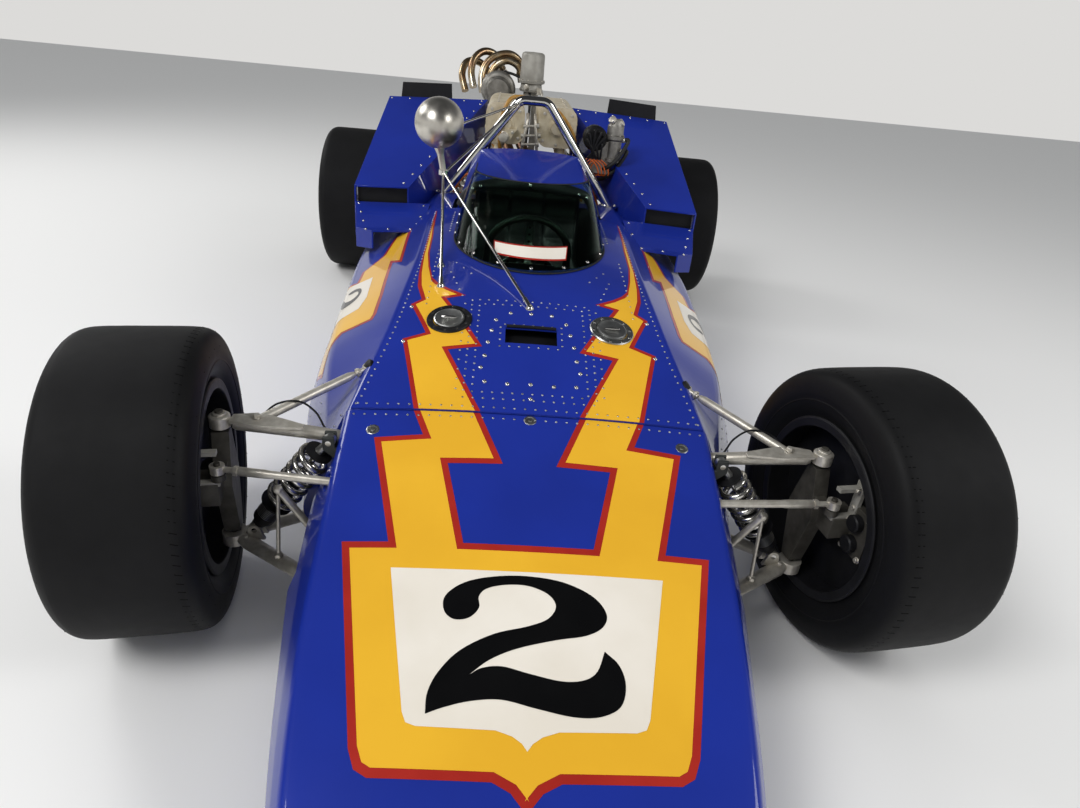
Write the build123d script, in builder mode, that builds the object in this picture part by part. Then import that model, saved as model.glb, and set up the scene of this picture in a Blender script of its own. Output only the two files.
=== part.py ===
"""Open wheel speedway racing car of about 1970: a wide blunt nose, a riveted tub with
fuel tanks in its flanks, and an open turbocharged V8 between two raised engine decks.

Millimetres. The ground is z = 0, the nose points to -Y and the car's left side is +X.
The origin lies on the ground, midway along the length. The front wheels are steered
to the car's left, as the car stands."""

import math
import os

from build123d import *

os.makedirs("parts", exist_ok=True)

# Driving dimensions
LENGTH = 3940
NOSE_OVERHANG = 840
WHEELBASE = 2489
FRONT_TRACK = 1524
REAR_TRACK = 1520
FRONT_TYRE_D = 623
FRONT_TYRE_W = 263
REAR_TYRE_D = 675
REAR_TYRE_W = 402
BEAD_D = 381
RIM_FLANGE = 12
FRONT_RIM_W = 244
REAR_RIM_W = 362
RIM_WALL = 8
STEER_REST = 10.4
KINGPIN_X = 628
TUB_FLOOR_Z = 70
NOSE_FLOOR_Z = 95
PANEL = 4
FLOOR_PANEL = 12
FIT = 0.3
RUNNING_GAP = 5

NOSE_TIP_Y = -LENGTH / 2
FRONT_AXLE_Y = NOSE_TIP_Y + NOSE_OVERHANG
REAR_AXLE_Y = FRONT_AXLE_Y + WHEELBASE
TAIL_Y = LENGTH / 2
FRONT_AXLE_Z = FRONT_TYRE_D / 2
REAR_AXLE_Z = REAR_TYRE_D / 2

# Cockpit
COCKPIT_HALF_W = 265
COCKPIT_FRONT = 150
COCKPIT_REAR = 1440
RIM_HALF_W = 240
SCREEN_BASE_AFT = 600
COWL_END = 1200

# Body cross-sections: distance aft of the front axle, half width and height of the
# top crease, of the shoulder, of the widest line of the flank, and half floor width.
AFT, CREST_X, CREST_Z, SHOULDER_X, SHOULDER_Z, SIDE_X, SIDE_Z, FLOOR_X, CROWN = range(9)
NOSE_STATIONS = (
    (-840, 292, 172, 304, 156, 312, 136, 300, 6),
    (-655, 340, 240, 356, 205, 372, 150, 350, 8),
    (-350, 374, 325, 402, 260, 436, 165, 410, 10),
    (-100, 384, 400, 426, 310, 480, 180, 450, 12),
    (68, 388, 450, 440, 340, 500, 185, 465, 12),
)
TUB_STATIONS = (
    (68, 388, 450, 440, 340, 500, 185, 465, 12),
    (400, 336, 545, 496, 447, 560, 275, 525, 22),
    (750, 322, 592, 528, 458, 592, 285, 555, 28),
    (1200, 330, 612, 560, 462, 615, 290, 580, 30),
    (1520, 330, 612, 566, 462, 618, 290, 582, 30),
)


def aft(distance):
    """Y of a point that lies this far behind the front axle."""
    return FRONT_AXLE_Y + distance


def body_section(row, floor_z, inset=0.0, crown=0.0):
    """Closed outline of the body at one station, moved inwards by inset."""
    top = row[CREST_Z] - inset
    crest = row[CREST_X] - inset
    lower = [
        (crest, top),
        (row[SHOULDER_X] - inset, row[SHOULDER_Z]),
        (row[SIDE_X] - inset, row[SIDE_Z]),
        (row[FLOOR_X] - inset, floor_z + inset),
        (-row[FLOOR_X] + inset, floor_z + inset),
        (-row[SIDE_X] + inset, row[SIDE_Z]),
        (-row[SHOULDER_X] + inset, row[SHOULDER_Z]),
        (-crest, top),
    ]
    with BuildSketch(Plane.XZ.offset(-aft(row[AFT]))) as outline:
        with BuildLine():
            Polyline(*lower)
            if crown:
                ThreePointArc((-crest, top), (0, top + crown), (crest, top))
            else:
                Line((-crest, top), (crest, top))
        make_face()
    return outline.sketch


def rod(start, end, radius):
    """Round bar between two points."""
    axis = Vector(*end) - Vector(*start)
    with BuildPart() as bar:
        with BuildSketch(Plane(origin=start, z_dir=axis)):
            Circle(radius)
        extrude(amount=axis.length)
    return bar.part


def pipe(points, bend, radius, bore=0.0):
    """Bent pipe along points, with one bend radius."""
    with BuildPart() as tube:
        with BuildLine() as path:
            FilletPolyline(*points, radius=bend)
        with BuildSketch(Plane(origin=path.line @ 0, z_dir=path.line % 0)):
            Circle(radius)
            if bore:
                Circle(bore, mode=Mode.SUBTRACT)
        sweep()
    return tube.part


def stepped_bar(foot, head, steps):
    """Stepped round body along the line from foot to head: steps are rows of start,
    end and radius, measured from the foot."""
    axis = Vector(*head) - Vector(*foot)
    with BuildPart() as body:
        for start, end, radius in steps:
            with BuildSketch(Plane(origin=Vector(*foot) + axis.normalized() * start, z_dir=axis)):
                Circle(radius)
            extrude(amount=end - start)
    return body.part


def steered(part, side):
    """The part turned with its front wheel from straight ahead to the rest lock."""
    kingpin = Axis((side * KINGPIN_X, FRONT_AXLE_Y, 0), (0, 0, 1))
    return part.rotate(kingpin, STEER_REST)


# Nose: a hollow moulding, open at its rear edge and at its inlet
INLET_W = 440
INLET_H = 46
INLET_Z = 140
INLET_WALL = 8
ARM_WINDOW_FRONT = -205
ARM_WINDOW_TOP = 300
DAMPER_NOTCH_FRONT = -52
NOTCH_BELOW_CREST = 12
TIE_ROD_Z = 376
TIE_ROD_AFT = -75
TIE_ROD_WINDOW = 34

TIP_SHARE = INLET_WALL / (NOSE_STATIONS[1][AFT] - NOSE_STATIONS[0][AFT])
BEHIND_TIP = tuple(a + TIP_SHARE * (b - a) for a, b in zip(NOSE_STATIONS[0], NOSE_STATIONS[1]))

with BuildPart() as nose:
    loft([body_section(row, NOSE_FLOOR_Z, crown=row[CROWN]) for row in NOSE_STATIONS], ruled=True)
    loft([body_section(row, NOSE_FLOOR_Z, inset=PANEL, crown=row[CROWN])
          for row in (BEHIND_TIP, *NOSE_STATIONS[1:])], ruled=True, mode=Mode.SUBTRACT)
    with BuildSketch(Plane.XZ.offset(-NOSE_TIP_Y)):
        with Locations((0, INLET_Z)):
            SlotOverall(INLET_W, INLET_H)
    extrude(amount=-2 * INLET_WALL, mode=Mode.SUBTRACT)
    with BuildSketch(Plane.YZ) as arm_windows:
        with BuildLine():
            Polyline(
                (aft(ARM_WINDOW_FRONT), 120),
                (aft(68), 120),
                (aft(68), NOSE_STATIONS[-1][CREST_Z] - NOTCH_BELOW_CREST),
                (aft(DAMPER_NOTCH_FRONT), NOSE_STATIONS[-1][CREST_Z] - NOTCH_BELOW_CREST - 36),
                (aft(DAMPER_NOTCH_FRONT), ARM_WINDOW_TOP),
                (aft(ARM_WINDOW_FRONT), ARM_WINDOW_TOP - 60),
                close=True,
            )
        make_face()
        with Locations((aft(TIE_ROD_AFT - 22), TIE_ROD_Z - 3)):
            SlotOverall(TIE_ROD_WINDOW * 1.4, TIE_ROD_WINDOW)
    for near, far in ((375, 600), (-600, -375)):
        extrude(arm_windows.sketch.moved(Location((near, 0, 0))), amount=far - near,
                dir=(1, 0, 0), mode=Mode.SUBTRACT)
nose.part.label = "nose"
export_step(nose.part, "parts/nose.step")

# Radiator behind the inlet
RADIATOR_AFT = -560
RADIATOR_W = 540
RADIATOR_H = 150
RADIATOR_T = 46

with BuildPart() as radiator:
    with BuildSketch(Plane.XZ.offset(-aft(RADIATOR_AFT))):
        with Locations((0, NOSE_FLOOR_Z + PANEL + RADIATOR_H / 2)):
            RectangleRounded(RADIATOR_W, RADIATOR_H, 10)
    extrude(amount=-RADIATOR_T)
radiator.part.label = "radiator"
export_step(radiator.part, "parts/radiator.step")

# Tub: riveted monocoque with fuel tanks in its flanks, open over the driver
FOOTBOX_FRONT = -300
FOOTBOX_HALF_W = 340
FOOTBOX_TOP_FRONT = 262
FOOTBOX_TOP_REAR = 400
DAMPER_FOOT = (580, 0, 180)
DAMPER_HEAD = (408, -12, 420)
EYE_W = 14
EAR_T = 8

with BuildPart() as tub:
    loft([body_section(row, TUB_FLOOR_Z) for row in TUB_STATIONS], ruled=True)
    with BuildSketch(Plane.YZ.offset(-FOOTBOX_HALF_W)):
        with BuildLine():
            Polyline(
                (aft(FOOTBOX_FRONT), NOSE_FLOOR_Z + PANEL),
                (aft(68), NOSE_FLOOR_Z + PANEL),
                (aft(68), FOOTBOX_TOP_REAR),
                (aft(FOOTBOX_FRONT), FOOTBOX_TOP_FRONT),
                close=True,
            )
        make_face()
    extrude(amount=2 * FOOTBOX_HALF_W)
    with BuildSketch(Plane.XY.offset(TUB_FLOOR_Z + FLOOR_PANEL)):
        with Locations((0, aft((COCKPIT_FRONT + COCKPIT_REAR) / 2))):
            RectangleRounded(2 * COCKPIT_HALF_W, COCKPIT_REAR - COCKPIT_FRONT, 40)
    extrude(amount=1000, mode=Mode.SUBTRACT)
    for near in (-EYE_W / 2 - FIT - EAR_T, EYE_W / 2 + FIT):
        with BuildSketch(Plane.XZ.offset(-aft(DAMPER_HEAD[1] + near))):
            for side in (1, -1):
                with BuildLine():
                    Polyline((side * 330, 330), (side * 330, 372), (side * 384, 408), (side * 396, 410),
                             (side * 396, 434), (side * 420, 434), (side * 420, 404), (side * 380, 370),
                             close=True)
                make_face()
        extrude(amount=-EAR_T)
tub.part.label = "tub"
export_step(tub.part, "parts/tub.step")

# Cowl: crowned top panel from the nose joint to behind the driver
SLOT_W = 124
SLOT_FRONT = 280
SLOT_REAR = 334
COWL_STATIONS = [row for row in TUB_STATIONS if row[AFT] <= COWL_END]

with BuildPart() as cowl:
    for station in COWL_STATIONS:
        crest, top, crown = station[CREST_X], station[CREST_Z], station[CROWN]
        with BuildSketch(Plane.XZ.offset(-aft(station[AFT]))):
            with BuildLine():
                ThreePointArc((-crest, top + PANEL), (0, top + PANEL + crown), (crest, top + PANEL))
                Line((crest, top + PANEL), (crest, top))
                ThreePointArc((crest, top), (0, top + crown), (-crest, top))
                Line((-crest, top), (-crest, top + PANEL))
            make_face()
    loft(ruled=True)
    with BuildSketch(Plane.XY):
        with Locations((0, aft((SLOT_FRONT + SLOT_REAR) / 2))):
            Rectangle(SLOT_W, SLOT_REAR - SLOT_FRONT)
        with BuildLine():
            Line((RIM_HALF_W - 10, aft(COWL_END + 10)), (RIM_HALF_W - 10, aft(900)))
            ThreePointArc((RIM_HALF_W - 10, aft(900)), (0, aft(SCREEN_BASE_AFT + 20)),
                          (10 - RIM_HALF_W, aft(900)))
            Line((10 - RIM_HALF_W, aft(900)), (10 - RIM_HALF_W, aft(COWL_END + 10)))
            Line((10 - RIM_HALF_W, aft(COWL_END + 10)), (RIM_HALF_W - 10, aft(COWL_END + 10)))
        make_face()
    extrude(amount=1000, mode=Mode.SUBTRACT)
cowl.part.label = "cowl"
export_step(cowl.part, "parts/cowl.step")

# Wraparound windscreen, leaned back, with side wings that run down to the rim
SCREEN_T = 4
SCREEN_BASE_Z = 604
SCREEN_TOP_Z = 786
SCREEN_TOP_AFT = 930
SCREEN_TOP_HALF_W = 180
SCREEN_END = SCREEN_TOP_AFT + 200


def screen_outline(front, half_w, rear, height):
    """Closed U of the screen's wall at one height."""
    shoulder = front + 0.55 * (rear - front)
    with BuildSketch(Plane.XY.offset(height)) as outline:
        for edge, mode in ((0, Mode.ADD), (SCREEN_T, Mode.SUBTRACT)):
            with BuildLine():
                Line((-half_w + edge, aft(rear + edge)), (-half_w + edge, aft(shoulder)))
                ThreePointArc((-half_w + edge, aft(shoulder)), (0, aft(front + edge)),
                              (half_w - edge, aft(shoulder)))
                Line((half_w - edge, aft(shoulder)), (half_w - edge, aft(rear + edge)))
                Line((half_w - edge, aft(rear + edge)), (-half_w + edge, aft(rear + edge)))
            make_face(mode=mode)
    return outline.sketch


with BuildPart() as windscreen:
    loft([screen_outline(SCREEN_BASE_AFT, RIM_HALF_W - 12, SCREEN_END, SCREEN_BASE_Z),
          screen_outline(SCREEN_TOP_AFT, SCREEN_TOP_HALF_W, SCREEN_END + 60, SCREEN_TOP_Z)],
         ruled=True)
    add(cowl.part, mode=Mode.SUBTRACT)
    add(tub.part, mode=Mode.SUBTRACT)
windscreen.part.label = "windscreen"
export_step(windscreen.part, "parts/windscreen.step")

# Rear cockpit fairing: an arched shell that rises from the rim to the roll bar
FAIRING_FRONT = 1215
FAIRING_REAR = 1480
# Columns: distance aft, half width, crown height
FAIRING_STATIONS = ((FAIRING_FRONT, 232, 730), (FAIRING_REAR, 214, 798))
SHOULDER_DROP = 58
SHOULDER_IN = 34
CROWN_DROP = 12


def arch_outline(distance, half_w, top, wall):
    """Flat-topped arch standing on the body top, as one closed outline."""
    foot = TUB_STATIONS[3][CREST_Z] + FIT
    with BuildSketch(Plane.XZ.offset(-aft(distance))) as outline:
        for edge, mode in ((0, Mode.ADD), (wall, Mode.SUBTRACT)):
            flank = [(half_w + 14 - edge, foot), (half_w - edge, top - SHOULDER_DROP),
                     (half_w - SHOULDER_IN - edge / 2, top - CROWN_DROP - edge)]
            with BuildLine():
                Polyline(*flank)
                ThreePointArc(flank[-1], (0, top - edge), (-flank[-1][0], flank[-1][1]))
                Polyline(*[(-x, z) for x, z in reversed(flank)])
                Line((-flank[0][0], foot), flank[0])
            make_face(mode=mode)
    return outline.sketch


with BuildPart() as headrest_fairing:
    loft([arch_outline(*row, PANEL) for row in FAIRING_STATIONS], ruled=True)
headrest_fairing.part.label = "headrest_fairing"
export_step(headrest_fairing.part, "parts/headrest_fairing.step")

# Engine decks: a low front panel, then a raised ramp behind a forward-facing scoop
DECK_WALL = 5
SCOOP_MOUTH = 1300
SCOOP_LOW_Z = 600
SCOOP_LIP_Z = 655
DECK_END = 2010
# Columns: distance aft, inner x, outer x, inner z, outer z, inner foot z, outer foot z
DECK_FRONT = (
    (1060, 345, 508, 576, 566, 518, 506),
    (1100, 345, 566, 580, 562, 524, 498),
    (SCOOP_MOUTH, 345, 606, SCOOP_LOW_Z + 12, SCOOP_LOW_Z, 552, 480),
)
DECK_RAMP = (
    (SCOOP_MOUTH, 420, 608, SCOOP_LIP_Z + 8, SCOOP_LIP_Z, 575, 480),
    (1700, 285, 599, 799, 785, 600, 480),
    (DECK_END, 180, 592, 905, 885, 740, 480),
)


def deck_outline(row, inset=0.0):
    """One cross-section of the car's left deck, open below where it is inset."""
    distance, inner_x, outer_x, inner_z, outer_z, inner_foot, outer_foot = row
    with BuildSketch(Plane.XZ.offset(-aft(distance))) as outline:
        with BuildLine():
            Polyline(
                (inner_x + inset, inner_foot - 4 * inset),
                (inner_x + inset, inner_z - inset),
                (outer_x - inset, outer_z - inset),
                (outer_x - inset, outer_foot - 4 * inset),
                close=True,
            )
        make_face()
    return outline.sketch


with BuildPart() as deck_left:
    loft([deck_outline(row) for row in DECK_FRONT], ruled=True)
    loft([deck_outline(row) for row in DECK_RAMP], ruled=True)
    loft([deck_outline(row, DECK_WALL) for row in DECK_FRONT], ruled=True, mode=Mode.SUBTRACT)
    loft([deck_outline(row, DECK_WALL) for row in DECK_RAMP], ruled=True, mode=Mode.SUBTRACT)
    add(tub.part, mode=Mode.SUBTRACT)
deck_left.part.label = "deck_left"
export_step(deck_left.part, "parts/deck_left.step")

deck_right = mirror(deck_left.part, about=Plane.YZ)
deck_right.label = "deck_right"
export_step(deck_right, "parts/deck_right.step")

# Upright black flaps on the decks' aft edges
FLAP_INNER_X = 330
FLAP_OUTER_X = 545
FLAP_H = 74
FLAP_T = 5

with BuildPart() as spoiler_flaps:
    with BuildSketch(Plane.XZ.offset(-aft(DECK_END))):
        for side in (1, -1):
            with BuildLine():
                Polyline(
                    (side * FLAP_INNER_X, 880), (side * FLAP_OUTER_X, 870),
                    (side * (FLAP_OUTER_X - 8), 870 + FLAP_H), (side * (FLAP_INNER_X + 4), 880 + FLAP_H),
                    close=True,
                )
            make_face()
    extrude(amount=-FLAP_T)
spoiler_flaps.part.label = "spoiler_flaps"
export_step(spoiler_flaps.part, "parts/spoiler_flaps.step")

# Roll bar: an inverted V behind the fairing, on the tub's rear corners
ROLL_BAR_TOP_Z = 962
ROLL_BAR_TOP_X = 50
ROLL_BAR_FOOT_X = 313
ROLL_BAR_R = 17
ROLL_BAR_AFT = FAIRING_REAR + ROLL_BAR_R + FIT
BODY_TOP_Z = TUB_STATIONS[3][CREST_Z]
BAR_FOOT = (ROLL_BAR_FOOT_X, aft(ROLL_BAR_AFT), BODY_TOP_Z)
BAR_SHOULDER = (ROLL_BAR_TOP_X, aft(ROLL_BAR_AFT), ROLL_BAR_TOP_Z)

with BuildPart() as roll_bar:
    add(pipe([(-BAR_FOOT[0], *BAR_FOOT[1:]), (-BAR_SHOULDER[0], *BAR_SHOULDER[1:]), BAR_SHOULDER, BAR_FOOT],
             40, ROLL_BAR_R))
    add(tub.part, mode=Mode.SUBTRACT)
roll_bar.part.label = "roll_bar"
export_step(roll_bar.part, "parts/roll_bar.step")

# Mirror: a chromed bullet on a tripod of thin rods beside the windscreen
MIRROR_AFT = SCREEN_TOP_AFT + 70
MIRROR_AT = (-292, aft(MIRROR_AFT), 921)
MIRROR_R = 72
MIRROR_L = 150
MIRROR_POST = (-276, aft(MIRROR_AFT), 781)
STAY_R = 5
BRACE_R = 4.2
BRACE_END = (-ROLL_BAR_TOP_X, aft(ROLL_BAR_AFT - ROLL_BAR_R / 2), ROLL_BAR_TOP_Z - 0.7 * ROLL_BAR_R)
STAY_FOOT_R = 9
STAY_FOOT_H = 12
# Columns: x and distance aft of each stay's foot on the cowl
MIRROR_STAY_FEET = ((-4, 420), (-246, 640), (-235, 520))


def cowl_height(x, distance):
    """Height of the cowl's outer face at one point."""
    for front, rear in zip(COWL_STATIONS, COWL_STATIONS[1:]):
        if distance <= rear[AFT]:
            share = (distance - front[AFT]) / (rear[AFT] - front[AFT])
            crest, top, crown = [front[i] + share * (rear[i] - front[i]) for i in (CREST_X, CREST_Z, CROWN)]
            return top + PANEL + crown * (1 - (x / crest) ** 2)
    raise ValueError("the point lies behind the cowl")


with BuildPart() as mirror_pod:
    with BuildSketch(Plane.XY.offset(MIRROR_AT[2])):
        mid_x, mid_y = MIRROR_AT[0], MIRROR_AT[1]
        with BuildLine():
            ThreePointArc((mid_x, mid_y - 0.6 * MIRROR_L), (mid_x + 0.8 * MIRROR_R, mid_y - 0.28 * MIRROR_L),
                          (mid_x + MIRROR_R, mid_y + 0.15 * MIRROR_L))
            Polyline((mid_x + MIRROR_R, mid_y + 0.15 * MIRROR_L), (mid_x + MIRROR_R - 8, mid_y + 0.4 * MIRROR_L),
                     (mid_x, mid_y + 0.4 * MIRROR_L), (mid_x, mid_y - 0.6 * MIRROR_L))
        make_face()
    revolve(axis=Axis(MIRROR_AT, (0, 1, 0)))
    add(rod(MIRROR_AT, MIRROR_POST, 11))
    for x, distance in MIRROR_STAY_FEET:
        foot_z = cowl_height(x, distance)
        add(rod(MIRROR_POST, (x, aft(distance), foot_z + STAY_FOOT_H / 2), STAY_R))
        with BuildSketch(Plane.XY.offset(foot_z - PANEL / 4)):
            with Locations((x, aft(distance))):
                Circle(STAY_FOOT_R)
        extrude(amount=STAY_FOOT_H)
    for start in (MIRROR_AT, MIRROR_POST):
        add(rod(start, BRACE_END, BRACE_R))
    add(cowl.part, mode=Mode.SUBTRACT)
    add(roll_bar.part, mode=Mode.SUBTRACT)
mirror_pod.part.label = "mirror"
export_step(mirror_pod.part, "parts/mirror.step")

# Fuel filler flanges on the cowl
FILLER_X = 199
FILLER_AFT = 358
FILLER_R = 55
FILLER_H = 9

with BuildPart() as filler_caps:
    for side in (1, -1):
        seat_plane = Plane(origin=(side * FILLER_X, aft(FILLER_AFT), 552), z_dir=(side * 0.09, -0.27, 1))
        with BuildSketch(seat_plane):
            Circle(FILLER_R)
        extrude(amount=FILLER_H)
        with BuildSketch(seat_plane.offset(FILLER_H)):
            Circle(FILLER_R * 0.62)
        extrude(amount=FILLER_H * 0.8)
    add(cowl.part, mode=Mode.SUBTRACT)
filler_caps.part.label = "filler_caps"
export_step(filler_caps.part, "parts/filler_caps.step")

# Seat, dash and steering wheel
SEAT_HALF_W = 196
SEAT_FRONT = 780
SEAT_HEEL = 1200
SEAT_BACK = 1432
SEAT_BEND_Z = 560
SEAT_TOP_Z = 720
SEAT_PAD_T = 32
SEAT_BASE_Z = TUB_FLOOR_Z + FLOOR_PANEL

with BuildPart() as seat:
    with BuildSketch(Plane.YZ.offset(-SEAT_HALF_W)):
        with BuildLine():
            Polyline(
                (aft(SEAT_FRONT), SEAT_BASE_Z), (aft(SEAT_HEEL), SEAT_BASE_Z),
                (aft(SEAT_BACK), SEAT_BEND_Z), (aft(SEAT_BACK), SEAT_TOP_Z),
                (aft(SEAT_BACK - SEAT_PAD_T), SEAT_TOP_Z), (aft(SEAT_BACK - SEAT_PAD_T - 60), SEAT_BEND_Z),
                (aft(SEAT_HEEL - 60), SEAT_BASE_Z + 68), (aft(SEAT_FRONT), SEAT_BASE_Z + 48), close=True,
            )
        make_face()
    extrude(amount=2 * SEAT_HALF_W)
seat.part.label = "seat"
export_step(seat.part, "parts/seat.step")

WHEEL_CENTRE = (0, aft(965), 560)
WHEEL_TILT = 20
WHEEL_R = 140
COLUMN_R = 12
COLUMN_L = 200
COLUMN_DIR = Vector(0, -math.cos(math.radians(WHEEL_TILT)), -math.sin(math.radians(WHEEL_TILT)))

with BuildPart() as steering_wheel:
    wheel_plane = Plane(origin=WHEEL_CENTRE, x_dir=(1, 0, 0), z_dir=COLUMN_DIR)
    with BuildSketch(wheel_plane):
        Circle(WHEEL_R)
        Circle(WHEEL_R - 22, mode=Mode.SUBTRACT)
        with PolarLocations((WHEEL_R - 20) / 2, 3, start_angle=90):
            Rectangle(WHEEL_R - 20, 26)
        Circle(34)
    extrude(amount=10, both=True)
    with BuildSketch(wheel_plane):
        Circle(COLUMN_R)
    extrude(amount=COLUMN_L)
steering_wheel.part.label = "steering_wheel"
export_step(steering_wheel.part, "parts/steering_wheel.step")

DASH_AFT = 800
DASH_Z = 520
DASH_H = 110
DASH_T = 6

with BuildPart() as dash_panel:
    with BuildSketch(Plane.XZ.offset(-aft(DASH_AFT))):
        with Locations((0, DASH_Z)):
            RectangleRounded(2 * (COCKPIT_HALF_W - FIT), DASH_H, 20)
    extrude(amount=-DASH_T)
    column_end = tuple(Vector(*WHEEL_CENTRE) + COLUMN_DIR * (COLUMN_L + 20))
    add(rod(WHEEL_CENTRE, column_end, COLUMN_R + FIT), mode=Mode.SUBTRACT)
dash_panel.part.label = "dash_panel"
export_step(dash_panel.part, "parts/dash_panel.step")

# Engine: a four-cam V8, open to view between the decks
ENGINE_FRONT = 1520
ENGINE_L = 560
ENGINE_REAR = ENGINE_FRONT + ENGINE_L
HEAD_OUTER = (318, 455)
HEAD_INNER = (188, 585)
PORT_PITCH = 118

with BuildPart() as engine:
    with BuildSketch(Plane.XZ.offset(-aft(ENGINE_FRONT + 30))):
        with BuildLine():
            right_half = [(0, 112), (115, 112), (155, 190), (158, 330), HEAD_OUTER, HEAD_INNER, (60, 470), (0, 470)]
            Polyline(*right_half, *[(-x, z) for x, z in reversed(right_half)][1:])
        make_face()
    extrude(amount=-(ENGINE_L - 30))
    with BuildSketch(Plane.XZ.offset(-aft(ENGINE_FRONT))):
        with Locations((0, 300)):
            RectangleRounded(330, 330, 30)
    extrude(amount=-30)
engine.part.label = "engine"
export_step(engine.part, "parts/engine.step")

COVER_R = 36
with BuildPart() as cam_covers:
    for side in (1, -1):
        for share in (0.22, 0.78):
            x = HEAD_OUTER[0] + share * (HEAD_INNER[0] - HEAD_OUTER[0])
            z = HEAD_OUTER[1] + share * (HEAD_INNER[1] - HEAD_OUTER[1])
            cover_plane = Plane(origin=(side * x, aft(ENGINE_FRONT + 44), z),
                                x_dir=(side * 0.7071, 0, 0.7071), z_dir=(0, 1, 0))
            with BuildSketch(cover_plane):
                Circle(COVER_R)
                with Locations((-COVER_R, 0)):
                    Rectangle(2 * COVER_R, 3 * COVER_R, mode=Mode.SUBTRACT)
            extrude(amount=ENGINE_L - 60)
cam_covers.part.label = "cam_covers"
export_step(cam_covers.part, "parts/cam_covers.step")

# Intake plenums over the banks, with a runner to each port
PLENUM_X = 100
PLENUM_W = 148
PLENUM_Z = 788
PLENUM_H = 146
PLENUM_FRONT = 1640
PLENUM_L = 4 * PORT_PITCH - 60
RUNNER_FOOT = ((HEAD_OUTER[0] + HEAD_INNER[0]) / 2, (HEAD_OUTER[1] + HEAD_INNER[1]) / 2)

with BuildPart() as intake:
    for side in (1, -1):
        with BuildSketch(Plane.XZ.offset(-aft(PLENUM_FRONT))):
            with Locations((side * PLENUM_X, PLENUM_Z + PLENUM_H / 2)):
                RectangleRounded(PLENUM_W, PLENUM_H, 40)
        extrude(amount=-PLENUM_L)
        for port in range(4):
            port_y = aft(PLENUM_FRONT + 30 + port * (PLENUM_L - 60) / 3)
            add(rod((side * PLENUM_X, port_y, PLENUM_Z + 20), (side * RUNNER_FOOT[0], port_y, RUNNER_FOOT[1]), 15))
    add(engine.part, mode=Mode.SUBTRACT)
    add(cam_covers.part, mode=Mode.SUBTRACT)
intake.part.label = "intake"
export_step(intake.part, "parts/intake.step")

# Turbocharger above the gearbox, fed by pipes from the engine's valley
TURBO_X = -145
TURBO_Z = 925
TURBO_AFT = 2330
VOLUTE_R = 80
TURBINE_AFT = 2470

with BuildPart() as turbocharger:
    for front, rear, radius in ((TURBO_AFT - 34, TURBO_AFT + 34, VOLUTE_R),
                                (TURBO_AFT + 34, TURBINE_AFT - 30, 42),
                                (TURBINE_AFT - 30, TURBINE_AFT + 34, VOLUTE_R - 8),
                                (TURBO_AFT - 80, TURBO_AFT - 34, 48)):
        with BuildSketch(Plane.XZ.offset(-aft(front))):
            with Locations((TURBO_X, TURBO_Z)):
                Circle(radius)
        extrude(amount=-(rear - front))
    with BuildSketch(Plane.XZ.offset(-aft(TURBO_AFT - 80))):
        with Locations((TURBO_X, TURBO_Z)):
            Circle(38)
    extrude(amount=-60, mode=Mode.SUBTRACT)
turbocharger.part.label = "turbocharger"
export_step(turbocharger.part, "parts/turbocharger.step")

PIPE_R = 24
TAILPIPE_R = 50
VALLEY_X = 40
VALLEY_Z = HEAD_INNER[1] - 25
RISE_AFT = ENGINE_REAR + 80
with BuildPart() as exhaust:
    for side in (1, -1):
        add(pipe([(side * VALLEY_X, aft(ENGINE_FRONT + 60), VALLEY_Z), (side * VALLEY_X, aft(RISE_AFT), VALLEY_Z + 40),
                  (TURBO_X + side * 24, aft(TURBINE_AFT), TURBO_Z - VOLUTE_R + 12)], 70, PIPE_R))
        for port in range(4):
            port_y = aft(ENGINE_FRONT + 90 + port * PORT_PITCH)
            add(rod((side * VALLEY_X, port_y, VALLEY_Z + 6), (side * (VALLEY_X + 92), port_y, VALLEY_Z - 48), 18))
    tail_start = (TURBO_X, aft(TURBINE_AFT + 34), TURBO_Z)
    with BuildSketch(Plane.XZ.offset(-tail_start[1])):
        with Locations((TURBO_X, TURBO_Z)):
            Circle(TAILPIPE_R)
            Circle(TAILPIPE_R - 3, mode=Mode.SUBTRACT)
    extrude(amount=-(TAIL_Y - tail_start[1]))
    add(engine.part, mode=Mode.SUBTRACT)
    add(turbocharger.part, mode=Mode.SUBTRACT)
exhaust.part.label = "exhaust"
export_step(exhaust.part, "parts/exhaust.step")

WASTEGATE_X = 6
WASTEGATE_R = 62
WASTEGATE_SEAT_Z = TURBO_Z - 40
with BuildPart() as wastegate:
    with BuildSketch(Plane.XY.offset(900)):
        with Locations((WASTEGATE_X, aft(TURBO_AFT))):
            Circle(WASTEGATE_R)
    extrude(amount=195)
    with BuildSketch(Plane.XY.offset(WASTEGATE_SEAT_Z)):
        with Locations((WASTEGATE_X, aft(TURBO_AFT))):
            Circle(26)
    extrude(amount=900 - WASTEGATE_SEAT_Z)
wastegate.part.label = "wastegate"
export_step(wastegate.part, "parts/wastegate.step")

# Ignition unit and pump on a foot over the left deck's inner edge
IGNITION_AT = (242, 1590, 846)
IGNITION_R = 46
IGNITION_L = 96
PUMP_X = 318
PUMP_R = 38
PUMP_H = 194
PUMP_TOP_Z = IGNITION_AT[2] + 84
BRACKET_T = 40
BRACKET_H = 140
BRACKET_MID_Z = IGNITION_AT[2] - 60

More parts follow.
